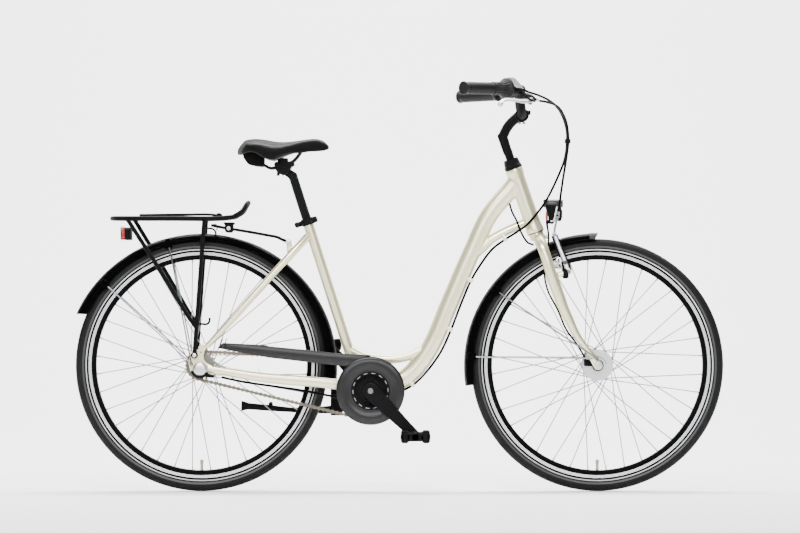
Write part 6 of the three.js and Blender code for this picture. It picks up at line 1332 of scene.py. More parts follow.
red_lens = lens_material("red_lens", (112, 3, 8), (146, 8, 14), 0.1)
clear_lens = lens_material("clear_lens", (196, 200, 204), (224, 227, 230), 0.35)


def light_block(x0, x1, half, low, high, soft):
    outline = [(-half + soft, low), (half - soft, low), (half, low + soft), (half, high - soft), (half - soft, high),
        (-half + soft, high), (-half, high - soft), (-half, low + soft)]
    return eased(plate(outline, x0, x1, (1, 0, 0), (0, 0, 0), (0, -1, 0)), 0.0012, 2)


make_piece("rear_light_case", [light_block(-0.7593, -0.7423, 0.038, 0.696, 0.731, 0.006)], black_plastic, "frame",
    ["rear_light_housing"])
make_piece("rear_light_glass", [light_block(-0.7716, -0.7593, 0.0365, 0.6965, 0.7335, 0.006)], red_lens, "frame",
    ["rear_light_lens"])

# Drivetrain: a bushed roller chain with bronze-grey steel plates, on a 40 tooth chainring and a 19 tooth sprocket.
# Outer and inner links alternate; the two wheels have the rounded teeth that the rollers sit between.
chain_bronze = finish("chain_plates", (78, 72, 62), (118, 111, 98), 0.3, metallic=0.75, grain=900, bump=0.1)


def toothed_outline(teeth, pitch, low, high):
    outline = []
    for tooth in range(teeth):
        for share, r in ((0.0, low), (0.16, low + 0.0002), (0.3, (low + high) / 2), (0.42, high), (0.58, high),
            (0.7, (low + high) / 2), (0.84, low + 0.0002)):
            angle = math.tau * (tooth + share) / teeth
            outline.append((pitch * r * math.cos(angle), pitch * r * math.sin(angle)))
    return outline


def toothed_ring(place, teeth, pitch, bore, thickness):
    """A ring with teeth outside and a plain bore, as one closed shape."""
    outline = toothed_outline(teeth, pitch, 1 - 0.0036 / pitch, 1 + 0.0042 / pitch)
    rings = []
    for radius_of, y in ((None, -thickness / 2), (None, thickness / 2), (bore, thickness / 2),
        (bore, -thickness / 2)):
        row = []
        for x, z in outline:
            angle = math.atan2(z, x)
            if radius_of is not None:
                x, z = radius_of * math.cos(angle), radius_of * math.sin(angle)
            row.append(place + Vector((x, y, z)))
        rings.append(row)
    return skinned(rings, closed=True)


chain_y, link_count = -0.047, 104
ring_teeth, ring_pitch, cog_teeth, cog_pitch = 40, 0.0809, 19, 0.0386
ring_place = bottom_bracket + vec(0, chain_y, 0)
cog_place = rear_axle + vec(0, chain_y, 0)
make_piece("chainring_plate", [toothed_ring(ring_place, ring_teeth, ring_pitch, 0.05, 0.0024)], dark_steel, "crank",
    ["chainring"], sharp=30)


def spider_arms():
    shapes = [turned(mm([(8, -6.5), (28.5, -6.5), (30.2, -4.5), (31, -1.5), (35.5, 0.5), (46.2, 1.2), (46.2, 4),
        (8, 4)]), ring_place, side, 72)]
    for arm in range(5):
        angle = math.tau * arm / 5 + 0.3
        tip = ring_place + vec(0.058 * math.cos(angle), 0.0, 0.058 * math.sin(angle))
        shapes.append(eased(link_between(ring_place, tip, 0.014, 0.0085, 0.0048, side), 0.0008, 2))
        shapes.append(turned(mm([(0, -4.2), (5.2, -4.2), (5.2, 3.6), (0, 3.6)]), tip, side, 20))
    return shapes


make_piece("chainring_spider", spider_arms(), satin_black, "crank")
cog = [toothed_ring(cog_place, cog_teeth, cog_pitch, 0.0165, 0.0024), turned(mm([(15.5, -12), (16.8, -12), (17, -11),
    (17, 5.5), (15.5, 5.5)]), cog_place, side, 48)]
make_piece("sprocket_plate", cog, dark_steel, "sprocket", ["rear_sprocket"], sharp=30)


def chain_path():
    """The closed line through the pins, on the pitch circles and their two outer tangents."""
    big, small = ring_pitch, cog_pitch
    gap = bottom_bracket - rear_axle
    reach = math.hypot(gap.x, gap.z)
    lean = math.atan2(gap.z, gap.x)
    spread = math.acos((small - big) / reach)
    line = []
    for angle in np.linspace(lean + spread, lean + math.tau - spread, 60):
        line.append(cog_place + vec(small * math.cos(angle), 0, small * math.sin(angle)))
    for angle in np.linspace(lean - spread, lean + spread, 90):
        line.append(ring_place + vec(big * math.cos(angle), 0, big * math.sin(angle)))
    return line + [line[0]]


def chain_points(count):
    line = chain_path()
    lengths = [0.0]
    for a, b in zip(line, line[1:]):
        lengths.append(lengths[-1] + (b - a).length)
    pins = []
    for step in range(count):
        want = lengths[-1] * step / count
        index = max(i for i in range(len(line) - 1) if lengths[i] <= want + 1e-9)
        share = (want - lengths[index]) / max(lengths[index + 1] - lengths[index], 1e-9)
        pins.append(line[index].lerp(line[index + 1], share))
    return pins


def chain_tree():
    """One of two link units at every point, turned to its tangent, by turns."""
    tree, given = new_tree("chain_of_links", (("Outer link", "Object"), ("Inner link", "Object"),
        ("Finish", "Material")))
    tangent = planted(tree, "GeometryNodeInputNamedAttribute", (), {"Name": "tangent"}, data_type="FLOAT_VECTOR")
    turn = planted(tree, "FunctionNodeAlignRotationToVector", {"Vector": (tangent, "Attribute")}, axis="X",
        pivot_axis="Y")
    index = planted(tree, "GeometryNodeInputIndex")
    odd = planted(tree, "ShaderNodeMath", {0: (index, "Index")}, {1: 2}, operation="MODULO")
    even = planted(tree, "ShaderNodeMath", {1: (odd, 0)}, {0: 1}, operation="SUBTRACT")
    both = planted(tree, "GeometryNodeJoinGeometry")
    for label, choice in (("Outer link", odd), ("Inner link", even)):
        unit = planted(tree, "GeometryNodeObjectInfo", {"Object": (given, label)})
        copies = planted(tree, "GeometryNodeInstanceOnPoints", {"Points": (given, "Geometry"),
            "Selection": (choice, 0), "Instance": (unit, "Geometry"), "Rotation": (turn, "Rotation")})
        wire(tree, both, {"Geometry": (copies, "Instances")})
    real = planted(tree, "GeometryNodeRealizeInstances", {"Geometry": (both, "Geometry")})
    return end_tree(tree, given, real)


def link_unit(outer):
    """One link about its middle, with X along the chain."""
    shapes, half = [], 0.00635
    y = 0.0039 if outer else 0.0029
    for hand in (-1, 1):
        outline = []
        for end in (-1, 1):
            for part in range(9):
                turn = math.pi * (part / 8 - 0.5) + (math.pi if end < 0 else 0)
                outline.append((end * half + 0.0052 * math.cos(turn), 0.0052 * math.sin(turn)))
            outline.append((0, 0.0028 * end))
        low, high = sorted((hand * y, hand * (y + 0.001)))
        shapes.append(plate(outline, low, high))
    pin = (0.0018, 0.0053, 12) if outer else (0.0038, 0.0029, 14)
    return shapes + [cross_bar((end * half, 0, 0), *pin) for end in (-1, 1)]


def chain_mesh():
    pins = chain_points(link_count)
    middles, tangents = [], []
    for index, pin in enumerate(pins):
        there = pins[(index + 1) % len(pins)]
        middles.append((pin + there) / 2)
        tangents.append((there - pin).normalized())
    source = bpy.data.meshes.new("chain_source")
    source.from_pydata(middles, [], [])
    source.attributes.new("tangent", "FLOAT_VECTOR", "POINT").data.foreach_set("vector",
        [v for t in tangents for v in t])
    outer = object_from("outer_link", bare_mesh("outer_link", link_unit(True)))
    inner = object_from("inner_link", bare_mesh("inner_link", link_unit(False)))
    mesh = grown("chain_links", chain_tree(), {"Outer link": outer, "Inner link": inner, "Finish": chain_bronze},
        source)
    for unit in (outer, inner):
        bpy.data.objects.remove(unit)
    if "tangent" in mesh.attributes:
        mesh.attributes.remove(mesh.attributes["tangent"])
    return mesh


place_piece("chain_links", chain_mesh(), chain_bronze, "frame", ["chain"], sharp=35)

# Chain guard: a moulded charcoal shield beside the upper run, with a round window over the chainring.
# The window has a dark ring with pale slots; a wire clip holds the rear end to the stay.
guard_charcoal = finish("chain_guard", (25, 25, 26), (32, 32, 33), 0.24, grain=1500, drift=8, bump=0.1, specular=0.22)


def guard_shapes():
    strip = mm([(-503, 398.5), (-487.4, 412.5), (-430, 409.5), (-368.7, 406.2), (-359.2, 403), (-270, 394.5),
        (-177, 384), (-80, 378.5), (-80, 346.1), (-177, 350.2), (-280, 362.2), (-360, 371.2), (-382.9, 375.5),
        (-470, 391.5)])
    return [eased(plate(strip, -0.058, -0.0555), 0.0008, 2)]


window_place = bottom_bracket + vec(0, -0.0568, 0)


def guard_disc():
    profile = mm([(52.2, 1.2), (52.2, -0.8), (53.5, -2.4), (56.5, -2.4), (58.5, -2.2), (66, -4), (74, -4.8),
        (82, -4.6), (89, -3.4), (92.5, -2.4), (93.7, -1.4), (94.5, -0.2), (94.5, 6), (93.1, 6), (93.1, 1.2)])
    return [turned(profile, window_place, side, 120)]


make_piece("guard_strip_skin", guard_shapes() + guard_disc(), guard_charcoal, "frame",
    ["chain_guard"], sharp=35)
inner_ring = turned(mm([(44.4, 0.6), (44.4, -1.6), (52.2, -1.6), (52.2, 0.6)]), window_place, side, 96)
make_piece("guard_inner_ring", [inner_ring], black_plastic, "frame", sharp=50)
slot_white = finish("guard_slots", (128, 129, 130), (150, 151, 152), 0.5, grain=1500, bump=0.05)
slots = ring_of("guard_slots", [block((-0.0008, -0.0588, -0.0054), (0.0008, -0.0581, 0.0054))], 14, 0.0484,
    bottom_bracket, 0.06, slot_white)
place_piece("guard_slots", slots, slot_white, "frame", sharp=40)


def guard_bracket():
    shapes = [eased(block((-0.0935, -0.058, 0.3706), (-0.081, -0.024, 0.377)), 0.0008, 2)]
    for x in (-0.493, -0.482):
        line = [(x, -0.057, 0.404), (x - 0.0005, -0.066, 0.407), (x + 0.002, -0.068, 0.414),
            (x + 0.004, -0.06, 0.421), (x + 0.006, -0.052, 0.423)]
        shapes.append(swept(line, [0.0014], sides=10, steps=30))
    return shapes


make_piece("guard_bracket_skin", guard_bracket(), rack_black, "frame")

# Cranks: forged aluminium arms with a satin black finish, drawn up on the square ends of the spindle.
# A silver bolt in a black ring closes each boss, and the bottom bracket's cups show beside the shell.
def crank_shapes(hand):
    foot = bottom_bracket + vec(0, hand * 0.069, 0)
    turn = vec(0.0437, 0, 0.1563) - vec(bottom_bracket.x, 0, bottom_bracket.z)
    reach = turn.length
    down = turn.normalized() * (1 if hand < 0 else -1)
    tip = foot + down * reach
    widths = ((0, 0.0225), (0.12, 0.0212), (0.3, 0.0196), (0.6, 0.0176), (0.85, 0.0153), (1, 0.0146))
    line = [foot.lerp(tip, share) for share, _ in widths]
    arm = swept(line, [half for _, half in widths], [0.007, 0.0067, 0.0063, 0.006, 0.0062], 24, 60, down.cross(side),
        3.0)
    boss = eased(cross_bar(foot, 0.021, 0.0072, 48), 0.002)
    end = eased(cross_bar(tip, 0.0137, 0.007, 40), 0.002)
    inner = eased(bar_between(foot, foot - vec(0, hand * 0.022, 0), 0.015, 40), 0.0012)
    return [arm, boss, end, inner], foot, tip


for name, hand in (("right", -1), ("left", 1)):
    shapes, foot, tip = crank_shapes(hand)
    weld_piece(name + "_crank_skin", shapes, 0.0014, 4, satin_black, "crank", [name + "_crank"])
    out = vec(0, hand, 0)
    bolt = turned(mm([(0, 0), (7.4, 0), (7.8, 0.6), (7.4, 1.8), (5.2, 2.4), (4.8, 1.2), (0, 1.2)]),
        foot + out * 0.0062, out, 36)
    make_piece(name + "_crank_bolt", [bolt], stay_steel, "crank")
    collar = turned(mm([(7.6, 0), (7.6, 1.2), (8.4, 1.8), (11.8, 1.8), (12.5, 1), (12.5, 0)]), foot + out * 0.0068,
        out, 40)
    make_piece(name + "_crank_cap", [collar], black_plastic, "crank")

# Pedals: moulded black cages with raised blocks at their ends, turning on steel axles in the crank ends.
# Amber reflectors sit in the front and rear edges.
amber = lens_material("amber_reflector", (92, 40, 4), (116, 54, 8), 0.1)


def pedal_shapes(place, hand):
    y0, y1 = sorted((place.y - hand * 0.047, place.y + hand * 0.047))
    x, z = place.x, place.z
    corner = mm([(40, 12.5), (36, 16.5), (22, 16.5), (18, 11.5)])
    shapes = []
    for lead in (-1, 1):
        edge_x = x + lead * 0.0362
        shapes.append(eased(block((edge_x - 0.0038, y0, z - 0.0085), (edge_x + 0.0038, y1, z + 0.0085)), 0.0016, 2))
    for y in (y0, y1 - 0.009):
        outline = [(x + u * ahead, z + v * up) for u, v, order in ((-1, -1, 1), (1, -1, -1), (1, 1, 1),
            (-1, 1, -1)) for ahead, up in corner[::order]]
        shapes.append(eased(plate(outline, y, y + 0.009), 0.0012, 2))
    shapes.append(eased(cross_bar(place, 0.0098, 0.047, 32), 0.001))
    for lead in (-1, 1):
        shapes.append(eased(block((x + lead * 0.019 - 0.004, y0, z - 0.0075), (x + lead * 0.019 + 0.004, y1,
            z + 0.0075)), 0.0014, 2))
    return shapes


def pedal_studs(place):
    """Short pegs that grip the sole, on both faces."""
    shapes = []
    for lead in (-1, 1):
        for step in range(5):
            y = place.y + (step - 2) * 0.0165
            for face in (-1, 1):
                foot = vec(place.x + lead * 0.019, y, place.z + face * 0.0065)
                shapes.append(turned(mm([(0, 0), (2.4, 0), (1.9, 2.8), (0, 2.8)]), foot, (0, 0, face), 12))
    return shapes


for name, place, hand in (("right", vec(0.0437, -0.126, 0.1563), -1), ("left", vec(-0.2037, 0.126, 0.4037), 1)):
    body = "pedal_" + name
    make_piece(name + "_pedal_cage", pedal_shapes(place, hand), black_plastic, body,
        [name + "_pedal"])
    make_piece(name + "_pedal_studs", pedal_studs(place), black_plastic, body)
    plates = [eased(block((place.x + lead * 0.0402 - 0.0012, place.y - 0.026, place.z - 0.006),
        (place.x + lead * 0.0402 + 0.0012, place.y + 0.026, place.z + 0.006)), 0.0006, 1) for lead in (-1, 1)]
    make_piece(name + "_pedal_reflectors", plates, amber, body)

# Bottom bracket: a sealed steel cartridge whose flanges show on both sides of the shell.
# Each is a dark ring with a bevelled rim, screwed against the end of the shell.
def cup_shapes():
    profile = mm([(9.5, 0), (19.2, 0), (19.8, 0.8), (19.8, 2.6), (18.8, 3.4), (9.5, 3.4)])
    return [turned(profile, bottom_bracket + vec(0, hand * 0.0338, 0), (0, hand, 0), 40) for hand in (-1, 1)]


make_piece("bottom_bracket_cups", cup_shapes(), dark_steel, "frame")

# Kickstand: a forged black arm on a hinge under the chain stay, with a moulded foot.
# It folds up beside the wheel and is shown folded, along the stay.
def kickstand_shapes():
    fold = math.radians(178)
    along = vec(math.cos(fold), 0, math.sin(fold))
    head = vec(stand_hinge.x, 0.049, stand_hinge.z)
    tip = head + along * 0.266
    sag = vec(0, 0, -0.0065)
    shaft = swept([head, head.lerp(tip, 0.2) + sag * 0.7, head.lerp(tip, 0.42) + sag, head.lerp(tip, 0.7) + sag * 0.5,
        head.lerp(tip, 0.95)], [0.012, 0.0088, 0.0068, 0.0086, 0.0094], [0.0062, 0.006, 0.0058, 0.0062, 0.0066], 24,
        60, (0, 0, 1), 2.5)
    foot = swept([head.lerp(tip, 0.93), head.lerp(tip, 0.965), tip], [0.0096, 0.0124, 0.0148],
        [0.0066, 0.0075, 0.0085], 24, 24, (0, 0, 1), 3.0)
    knob = eased(cross_bar(head.lerp(tip, 0.69) + vec(0, 0, 0.0085), 0.006, 0.0055, 24), 0.001)
    boss = eased(cross_bar(head, 0.0118, 0.0062, 36), 0.0014)
    return [shaft, boss, foot, knob]


weld_piece("kickstand_skin", kickstand_shapes(), 0.0013, 4, satin_black, "kickstand",
    ["kickstand_leg"])

# Axles and their nuts, the coaster brake arm on the left, and the gear actuator on the right.
# The actuator is a round silver cap with a black crescent under it, where the cable comes in.
def axle_ends(axle, rod, long, washer, thick, nut, tall, starts):
    """The threaded end of the axle on each side, with its washer and its hexagon nut."""
    shapes = []
    for hand in (-1, 1):
        out = vec(0, hand, 0)
        first, second, third = [axle + out * start for start in starts]
        shapes.append(turned([(0, 0), (rod, 0), (rod, long - 0.0015), (rod - 0.0006, long), (0, long)], first, out,
            20))
        shapes.append(turned([(rod, 0), (washer, 0), (washer, thick), (rod, thick)], second, out, 32))
        shapes.append(eased(turned([(rod, 0), (nut, 0), (nut, tall), (rod, tall)], third, out, 6), 0.0006, 2, 20))
    return shapes


def coaster_shapes():
    foot = rear_axle + vec(0, 0.055, 0)
    tip = vec(-0.3992, 0.0457, 0.3197)
    profile = mm([(5.5, -2), (17.5, -2), (18, -1.4), (18, 1.4), (17.5, 2), (5.5, 2)])
    arm = swept([foot, foot.lerp(tip, 0.25), foot.lerp(tip, 0.7), tip], [0.0125, 0.0098, 0.0082, 0.0078], [0.0017],
        16, 40, (0, 0, 1), 4.0)
    bolt = turned(mm([(0, -6), (5.8, -6), (5.8, -1), (3.2, -1), (3.2, 3.5), (0, 3.5)]), tip + vec(0.006, 0.003, 0),
        side, 6)
    band = swept([tip + vec(0.006, 0.003, 0.0), tip + vec(0.008, 0.001, 0.012), tip + vec(0.008, -0.006, 0.017)],
        [0.0065], [0.0008], 12, 16, side, 4.0)
    return [turned(profile, foot, side, 48), arm, bolt, band]


rear_ends = axle_ends(rear_axle, 0.0048, 0.0335, 0.0115, 0.0016, 0.0098, 0.0085, (0.0505, 0.0693, 0.0709))
make_piece("rear_axle_nuts", rear_ends, bright_alloy, "frame", ["rear_axle_and_brake_arm"])
make_piece("coaster_arm_skin", coaster_shapes(), bright_alloy, "frame", sharp=40)
actuator_place = vec(-0.5495, -0.0786, 0.3395)


def actuator_shapes():
    profile = mm([(0, 0), (18.8, 0), (19.8, -1), (19.8, -6.6), (18.8, -9.2), (16.6, -10.8), (12.8, -11.7), (8, -12),
        (0, -12.1)])
    return [turned(profile, actuator_place, side, 64)]


def actuator_hood():
    shapes = []
    outline = []
    for angle in np.linspace(math.radians(186), math.radians(342), 40):
        outline.append((0.0246 * math.cos(angle), 0.0246 * math.sin(angle)))
    for angle in np.linspace(math.radians(338), math.radians(190), 40):
        inner = 0.0165 + 0.0045 * abs(math.cos(angle + 0.12)) ** 2
        outline.append((inner * math.cos(angle), inner * math.sin(angle)))
    shapes.append(eased(plate(outline, -0.0138, -0.0006, (0, 1, 0), actuator_place), 0.0009, 2))
    spout = [actuator_place + vec(0.0115, -0.006, -0.012), actuator_place + vec(0.022, -0.0045, -0.0165),
        actuator_place + vec(0.038, -0.003, -0.02)]
    shapes.append(swept(spout, [0.0062, 0.0052, 0.004], sides=20, steps=24))
    return shapes


make_piece("actuator_cap", actuator_shapes(), bright_alloy, "frame", ["shift_actuator"], sharp=25)
make_piece("actuator_hood", actuator_hood(), black_plastic, "frame")


def dynamo_shapes():
    plate_profile = mm([(4.6, 0), (15.5, 0), (16, -0.8), (16, -4.4), (14.8, -5), (4.6, -5)])
    ring = turned(plate_profile, front_axle + vec(0, -0.038, 0), side, 48)
    x, z = front_axle.x, front_axle.z
    plug = eased(block((x - 0.038, -0.043, z - 0.002), (x - 0.004, -0.0378, z + 0.014)), 0.0014, 2)
    cap = eased(block((x - 0.0385, -0.0445, z), (x - 0.0225, -0.0372, z + 0.0155)), 0.0012, 2)
    return [ring, plug, cap]


front_ends = axle_ends(front_axle, 0.0044, 0.032, 0.0105, 0.0014, 0.0088, 0.0078, (0.036, 0.0548, 0.0562))
make_piece("front_axle_nuts", front_ends, bright_alloy, "steering", ["front_axle"])
make_piece("dynamo_terminal", dynamo_shapes(), black_plastic, "steering")

# Rim brake: forged silver arms with black edges, on posts of the fork, each with a cartridge pad.
# A steel noodle leads the cable in at the top; a flat return spring and a slotted steel link sit at each arm.
brake_dark = finish("brake_arm_dark", (58, 59, 61), (74, 75, 77), 0.36, metallic=0.6, grain=1200, bump=0.08)
pad_rubber = finish("pad_rubber", (12, 12, 13), (18, 18, 19), 0.7, grain=1000, bump=0.25, specular=0.25)


def brake_places(hand):
    return (vec(0.4658, hand * 0.046, 0.6088), vec(0.4277, hand * 0.038, 0.7148))


def brake_arm_shapes(hand):
    pivot, top = brake_places(hand)
    bow = (top - pivot).cross(side).normalized()
    line = [pivot, pivot.lerp(top, 0.3) + bow * -0.001, pivot.lerp(top, 0.65), top]
    arm = swept(line, [0.0066, 0.006, 0.0052, 0.0046], [0.0048, 0.0045, 0.0042, 0.004], 24, 50, bow, 3.2)
    boss = turned(mm([(3, -6.2), (8.5, -6.2), (9.2, -5.2), (9.2, 5.2), (8.5, 6.2), (3, 6.2)]), pivot, side, 36)
    return [arm, boss]


def arm_spring(hand):
    """The flat return spring and its cover, just behind the arm and a little wider."""
    pivot, top = brake_places(hand)
    bow = (top - pivot).cross(side).normalized()
    inward = vec(0, -hand * 0.0048, 0)
    line = [pivot + inward, pivot.lerp(top, 0.3) + inward, pivot.lerp(top, 0.65) + inward,
        pivot.lerp(top, 0.95) + inward]
    return [swept(line, [0.0118, 0.0104, 0.009, 0.0078], [0.0016], 20, 40, bow, 3.0)]


def pad_frame():
    angle, radius = math.radians(110.4), 0.3006
    center = front_axle + vec(radius * math.cos(angle), 0, radius * math.sin(angle))
    along = vec(-math.sin(angle), 0, math.cos(angle))
    return center, along, vec(math.cos(angle), 0, math.sin(angle))


def pad_shapes(hand):
    center, along, out = pad_frame()
    count, shoe, holder, face = 24, [], [], hand * 0.0156
    for rows, y0, y1, half, tall in ((shoe, 0.0, 0.0055, 0.025, 0.0045), (holder, 0.0045, 0.009, 0.0235, 0.0054)):
        for y in (y0, y1):
            ring = []
            for part in range(count):
                turn = math.tau * part / count
                u = half * math.copysign(abs(math.cos(turn)) ** 0.35, math.cos(turn))
                v = tall * math.copysign(abs(math.sin(turn)) ** 0.6, math.sin(turn))
                spot = center + along * u + out * (v - u * u * 1.6)
                ring.append(vec(spot.x, face + hand * y, spot.z))
            rows.append(ring)
    return [eased(skinned(shoe), 0.0008, 2)], [eased(skinned(holder), 0.0008, 2)]


def holder_plate(hand):
    """The slotted link that carries the pad, dark plates in its slots as painted shade, and the black washer stack at
    the arm's foot.
    """
    middle = vec(0.4415, hand * 0.0395, 0.6326)
    up = vec(-0.2, 0, 0.98)
    link = eased(link_between(middle - up * 0.0095, middle + up * 0.0095, 0.0082, 0.0072, 0.0014, side), 0.0005)
    # Painted shade: dark plates fill the two slots of the link, for the shade seen through them.
    dark = [eased(link_between(middle + up * (lift - 0.0028), middle + up * (lift + 0.0028), 0.0022, 0.0022, 0.002,
        side), 0.0003) for lift in (-0.008, 0.0075)]
    foot = vec(0.4585, hand * 0.0545, 0.6035)
    dark.append(eased(link_between(foot - up * 0.007, foot + up * 0.0075, 0.0075, 0.0062, 0.004, side), 0.001))
    return [link], dark


def pad_stud(hand):
    pivot, top = brake_places(hand)
    center, _, _ = pad_frame()
    at_arm = pivot.lerp(top, 0.24)
    start = vec(center.x, hand * 0.023, center.z)
    stud = swept([start, start + vec(0, hand * 0.006, 0), vec(at_arm.x, hand * 0.0385, at_arm.z)], [0.0034], sides=16,
        steps=20)
    nut = turned(mm([(0, 0), (6.2, 0), (6.2, 4.6), (3.4, 5.2), (0, 5.2)]), vec(at_arm.x, hand * 0.0495, at_arm.z),
        (0, hand, 0), 6)
    return [stud, nut]


def pivot_bolt(hand):
    pivot, _ = brake_places(hand)
    return [turned(mm([(0, 0), (5.2, 0), (5.6, 0.6), (5.6, 2.6), (4.8, 3.6), (2.6, 3.6), (2.2, 2.2), (0, 2.2)]),
        pivot + vec(0, hand * 0.006, 0), (0, hand, 0), 28)]


for name, hand in (("right", -1), ("left", 1)):
    body = "brake_" + name
    weld_piece(name + "_brake_arm_skin", brake_arm_shapes(hand), 0.0008, 3, bright_alloy, body,
        [name + "_brake_arm"])
    shoe, holder = pad_shapes(hand)
    make_piece(name + "_pad_shoe", shoe, pad_rubber, body)
    make_piece(name + "_pad_holder", holder, bright_alloy, body)
    make_piece(name + "_arm_spring", arm_spring(hand), satin_black, body)
    plate_link, slot_shade_and_washer = holder_plate(hand)
    make_piece(name + "_pad_link", plate_link, brushed_steel, body)
    # Painted shade in the link's slots, together with the real black washer stack.
    make_piece(name + "_pad_link_slots", slot_shade_and_washer, black_plastic, body)
    make_piece(name + "_pad_stud", pad_stud(hand), brake_dark, body)
    make_piece(name + "_pivot_bolt", pivot_bolt(hand), dark_steel, body)


def noodle_shapes():
    line = [vec(0.4375, -0.036, 0.766), vec(0.4345, -0.036, 0.75), vec(0.4305, -0.0365, 0.735),
        vec(0.428, -0.037, 0.7195), vec(0.427, -0.0375, 0.7085)]
    tube = swept(line, [0.0032], sides=18, steps=40)
    cap = turned(mm([(0, 0), (4.2, 0), (4.4, 1), (4.4, 9), (0, 9)]), line[0], line[0] - line[1], 20)
    block_end = eased(turned(mm([(0, -5), (5.8, -5), (5.8, 5), (0, 5)]), vec(0.4277, -0.038, 0.7118), side, 24),
        0.0007)
    return [tube, cap, block_end]


noodle_steel = finish("noodle_steel", (128, 130, 132), (154, 156, 158), 0.28, metallic=0.9, grain=1200, bump=0.05)
make_piece("brake_noodle", noodle_shapes(), noodle_steel, "brake_right", sharp=35)


# Headlight: a black body under a grey cylinder, hung on a hinge in front of the fork crown.
# A steel bracket holds a black bezel in front of the body, and the clear lens bulges forwards from it.
lamp_at, lamp_size = vec(0.4221, 0, 0.747), 0.05
lamp_grey = finish("lamp_roof", (46, 47, 49), (66, 67, 69), 0.26, metallic=0.55, grain=1200, bump=0.06)


def lamp_shares(shares):
    return [(lamp_at.x + x * lamp_size, lamp_at.z + z * lamp_size) for x, z in shares]


def lamp_body():
    body = lamp_shares([(-0.37, 0.95), (-0.36, 0.82), (-0.31, 0.66), (-0.25, 0.48), (-0.2, 0.3), (-0.17, 0.1),
        (0.08, 0.06), (0.14, 0.3), (0.19, 0.5), (0.23, 0.7), (0.25, 0.95)])
    bezel = lamp_shares([(0.31, 0.76), (0.36, 0.82), (0.5, 0.82), (0.56, 0.6), (0.56, 0.25), (0.5, 0.04),
        (0.36, 0.02), (0.31, 0.2)])
    return [eased(plate(body, -0.01575, 0.01575), 0.003, 3), eased(plate(bezel, -0.0185, 0.0185), 0.0025, 3)]


def lamp_bright_parts():
    wedge = lamp_shares([(0.2, 0.8), (0.34, 0.86), (0.35, 0.5), (0.17, -0.02), (-0.08, -0.02), (-0.1, 0.12),
        (0.08, 0.12)])
    slit = lamp_shares([(0.37, 0.66), (0.41, 0.68), (0.41, 0.2), (0.37, 0.22)])
    return [eased(plate(wedge, -0.0135, 0.0135), 0.001), eased(plate(slit, -0.0192, 0.0192), 0.0004)]


def lamp_roof():
    place = lamp_at + vec(-0.0235, 0, 0.0505)
    profile = mm([(0, 0), (8.5, 0), (10.6, 1.2), (11.2, 3), (11.2, 9), (10.4, 9.8), (10.4, 11.8), (11.2, 12.6),
        (11.4, 50.5), (10.2, 54.5), (0, 54.5)])
    return [turned(profile, place, (1, 0, 0), 48)]


def lamp_glass():
    bulge, wide, tall, rings = 0.0085, 0.0172, 0.0165, []
    for share in np.linspace(0, 1, 14):
        x = lamp_at.x + 0.022 + bulge * math.sin(share * math.pi / 2)
        size = math.cos(share * math.pi / 2) ** 0.55
        ring = []
        for part in range(40):
            turn = math.tau * part / 40
            ring.append(vec(x, max(size, 0.02) * wide * math.cos(turn), lamp_at.z + 0.021 + max(size,
                0.02) * tall * math.sin(turn)))
        rings.append(ring)
    return [skinned(rings)]


make_piece("headlight_case", lamp_body(), black_plastic, "headlight", ["headlight_housing"])
make_piece("headlight_bracket", lamp_bright_parts(), brushed_steel, "headlight")
make_piece("headlight_roof", lamp_roof(), lamp_grey, "headlight")
make_piece("headlight_glass", lamp_glass(), clear_lens, "headlight", ["headlight_lens"], sharp=0)
knob = turned(mm([(0, -5.5), (4.2, -4.8), (6.2, -1.6), (6.2, 1.6), (4.2, 4.8), (0, 5.5)]),
    lamp_at + vec(-0.0185, -0.0075, 0.056), side, 24)
make_piece("headlight_switch", [knob], black_plastic, "headlight", sharp=20)

# Cables: black outer casings for the brake and the gear, and thinner leads for the lights.
# They hang in curves from the bar and run down beside the frame, through blocks welded to it.
# A small ring ties the two casings.
casing_black = finish("cable_casing", (9, 9, 9), (14, 14, 14), 0.34, grain=1500, bump=0.06, specular=0.15,
    edge=(2, 2, 2))
shift_route = mm([(340.4, -184.4, 1104.8), (357, -168, 1098.5), (371.3, -155, 1094.7), (384.9, -141, 1090.4),
    (401.9, -123, 1083.6), (413.4, -109, 1077.5), (426.9, -91, 1068.2), (442.3, -72, 1050.4), (453.8, -58, 1027),
    (461.6, -49, 998), (462.5, -44, 971), (457, -39, 923), (437.5, -36, 870), (404, -34, 803), (381, -31, 771),
    (353, -26, 739), (324, -21, 718), (292.5, -8, 698), (257, -8, 671), (223, -8, 626), (197, -8, 582),
    (171, -8, 521), (142.5, -8, 447.5), (114, -8, 386), (76, -8, 333), (40, -10, 297), (8, -12, 279), (-35, -14, 259),
    (-85, -20, 250), (-130, -28, 252), (-174, -37, 262), (-203, -42, 268), (-275, -49, 282), (-351, -55, 293),
    (-430, -62, 305), (-490, -76, 318)])
hung = ("frame", "steering", (0.3, 0, 0.7), (0.385, 0, 0.775))
brake_route = mm([(383.6, -171.9, 1075.4), (395.1, -164, 1074.3), (412.1, -147, 1070.7), (421.7, -134, 1068.4),
    (441, -104, 1056), (460.5, -66, 1018.5), (466, -52, 971), (461, -46, 923), (452, -42, 867), (443, -38, 803),
    (438, -36, 770), (436.5, -36, 762)])
dynamo_route = mm([(409.5, -6, 782), (407.5, -12, 762), (409, -20, 738), (412, -27, 712), (412, -33, 690),
    (411, -33.5, 650), (401, -34, 603), (411, -35, 554), (437, -38, 504), (460, -42, 450), (490, -41, 408),
    (508, -40, 378), (514, -40.5, 365)])
rear_route = mm([(305, -6.5, 797), (312, -12, 774), (325, -15.5, 748), (335, -15.5, 722), (345, -16, 702),
    (357, -18, 688), (371.5, -20, 683)])


def casing(route, radius, steps):
    return swept([Vector(place) for place in route], [radius], sides=14, steps=steps, wide=(0.05, 1, 0.02))


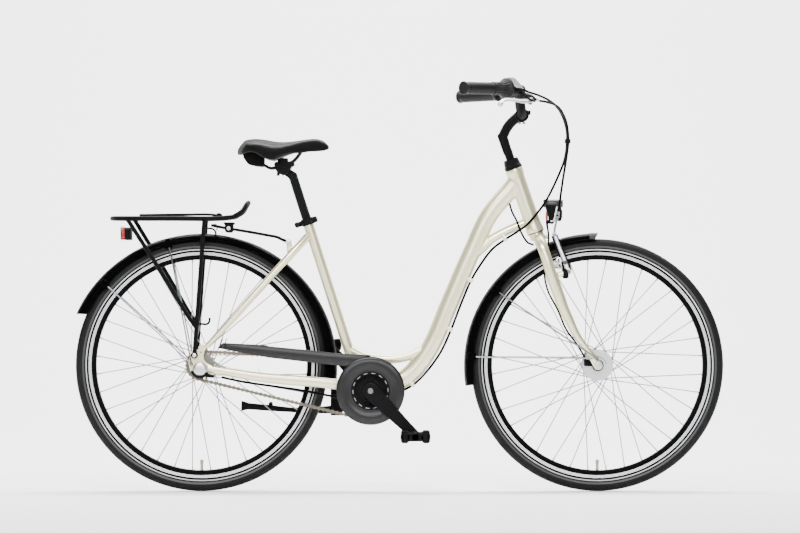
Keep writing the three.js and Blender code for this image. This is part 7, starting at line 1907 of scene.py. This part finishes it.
make_piece("shift_casing", [casing(shift_route, 0.0034, 300)], casing_black, hung, ["shift_cable"],
    sharp=60)
make_piece("brake_casing", [casing(brake_route, 0.0034, 140)], casing_black, "steering",
    ["brake_cable"], sharp=60)
make_piece("dynamo_wire", [casing(dynamo_route, 0.0028, 120)], casing_black, "steering",
    ["dynamo_lead"], sharp=60)
make_piece("rear_lamp_wire", [casing(rear_route, 0.003, 80)], casing_black, hung,
    ["rear_light_lead"], sharp=60)


def cable_guides():
    """Small blocks welded to the frame that carry the gear cable."""
    shapes = []
    for here, inward in (((0.2935, -0.009, 0.6985), (-0.5, 0, 0.86)), ((0.1985, -0.009, 0.5845), (-0.92, 0, 0.4)),
        ((0.1425, -0.009, 0.4485), (-0.92, 0, 0.4)), ((0.0365, -0.011, 0.2945), (-0.62, 0, 0.78))):
        outer = Vector(here) - Vector(inward) * 0.001
        shapes.append(eased(link_between(outer, outer + Vector(inward) * 0.011, 0.0056, 0.0048, 0.0062, side),
            0.0012))
    return shapes


make_piece("cable_guides", cable_guides(), champagne, "frame")
tie_at = vec(0.4643, -0.048, 0.969)
tie = swept([tie_at + vec(0.0002, 0, -0.006), tie_at, tie_at + vec(-0.0002, 0, 0.006)], [0.0092], [0.0085], 24, 12,
    (0, 1, 0))
make_piece("casing_tie", [eased(tie, 0.001)], black_plastic, "steering")
red_sleeve = finish("red_sleeve", (112, 8, 12), (132, 14, 18), 0.4, grain=1400, bump=0.05)
sleeve = swept([vec(0.4085, -0.0088, 0.774), vec(0.4075, -0.0128, 0.762), vec(0.4082, -0.0165, 0.749)], [0.0034],
    sides=14, steps=20)
make_piece("red_wire_sleeve", [sleeve], red_sleeve, "steering", sharp=60)

# Crank spindle and cartridge: dark steel, nearly hidden between the crank arms and inside the shell.
# They keep the shapes of the CAD and only take a finish here.
keeps = {"crank_spindle": dark_steel, "bottom_bracket_unit": dark_steel}
for node_name, kept_finish in keeps.items():
    if node_name in bpy.data.objects:
        for material_slot in bpy.data.objects[node_name].material_slots:
            material_slot.material = kept_finish
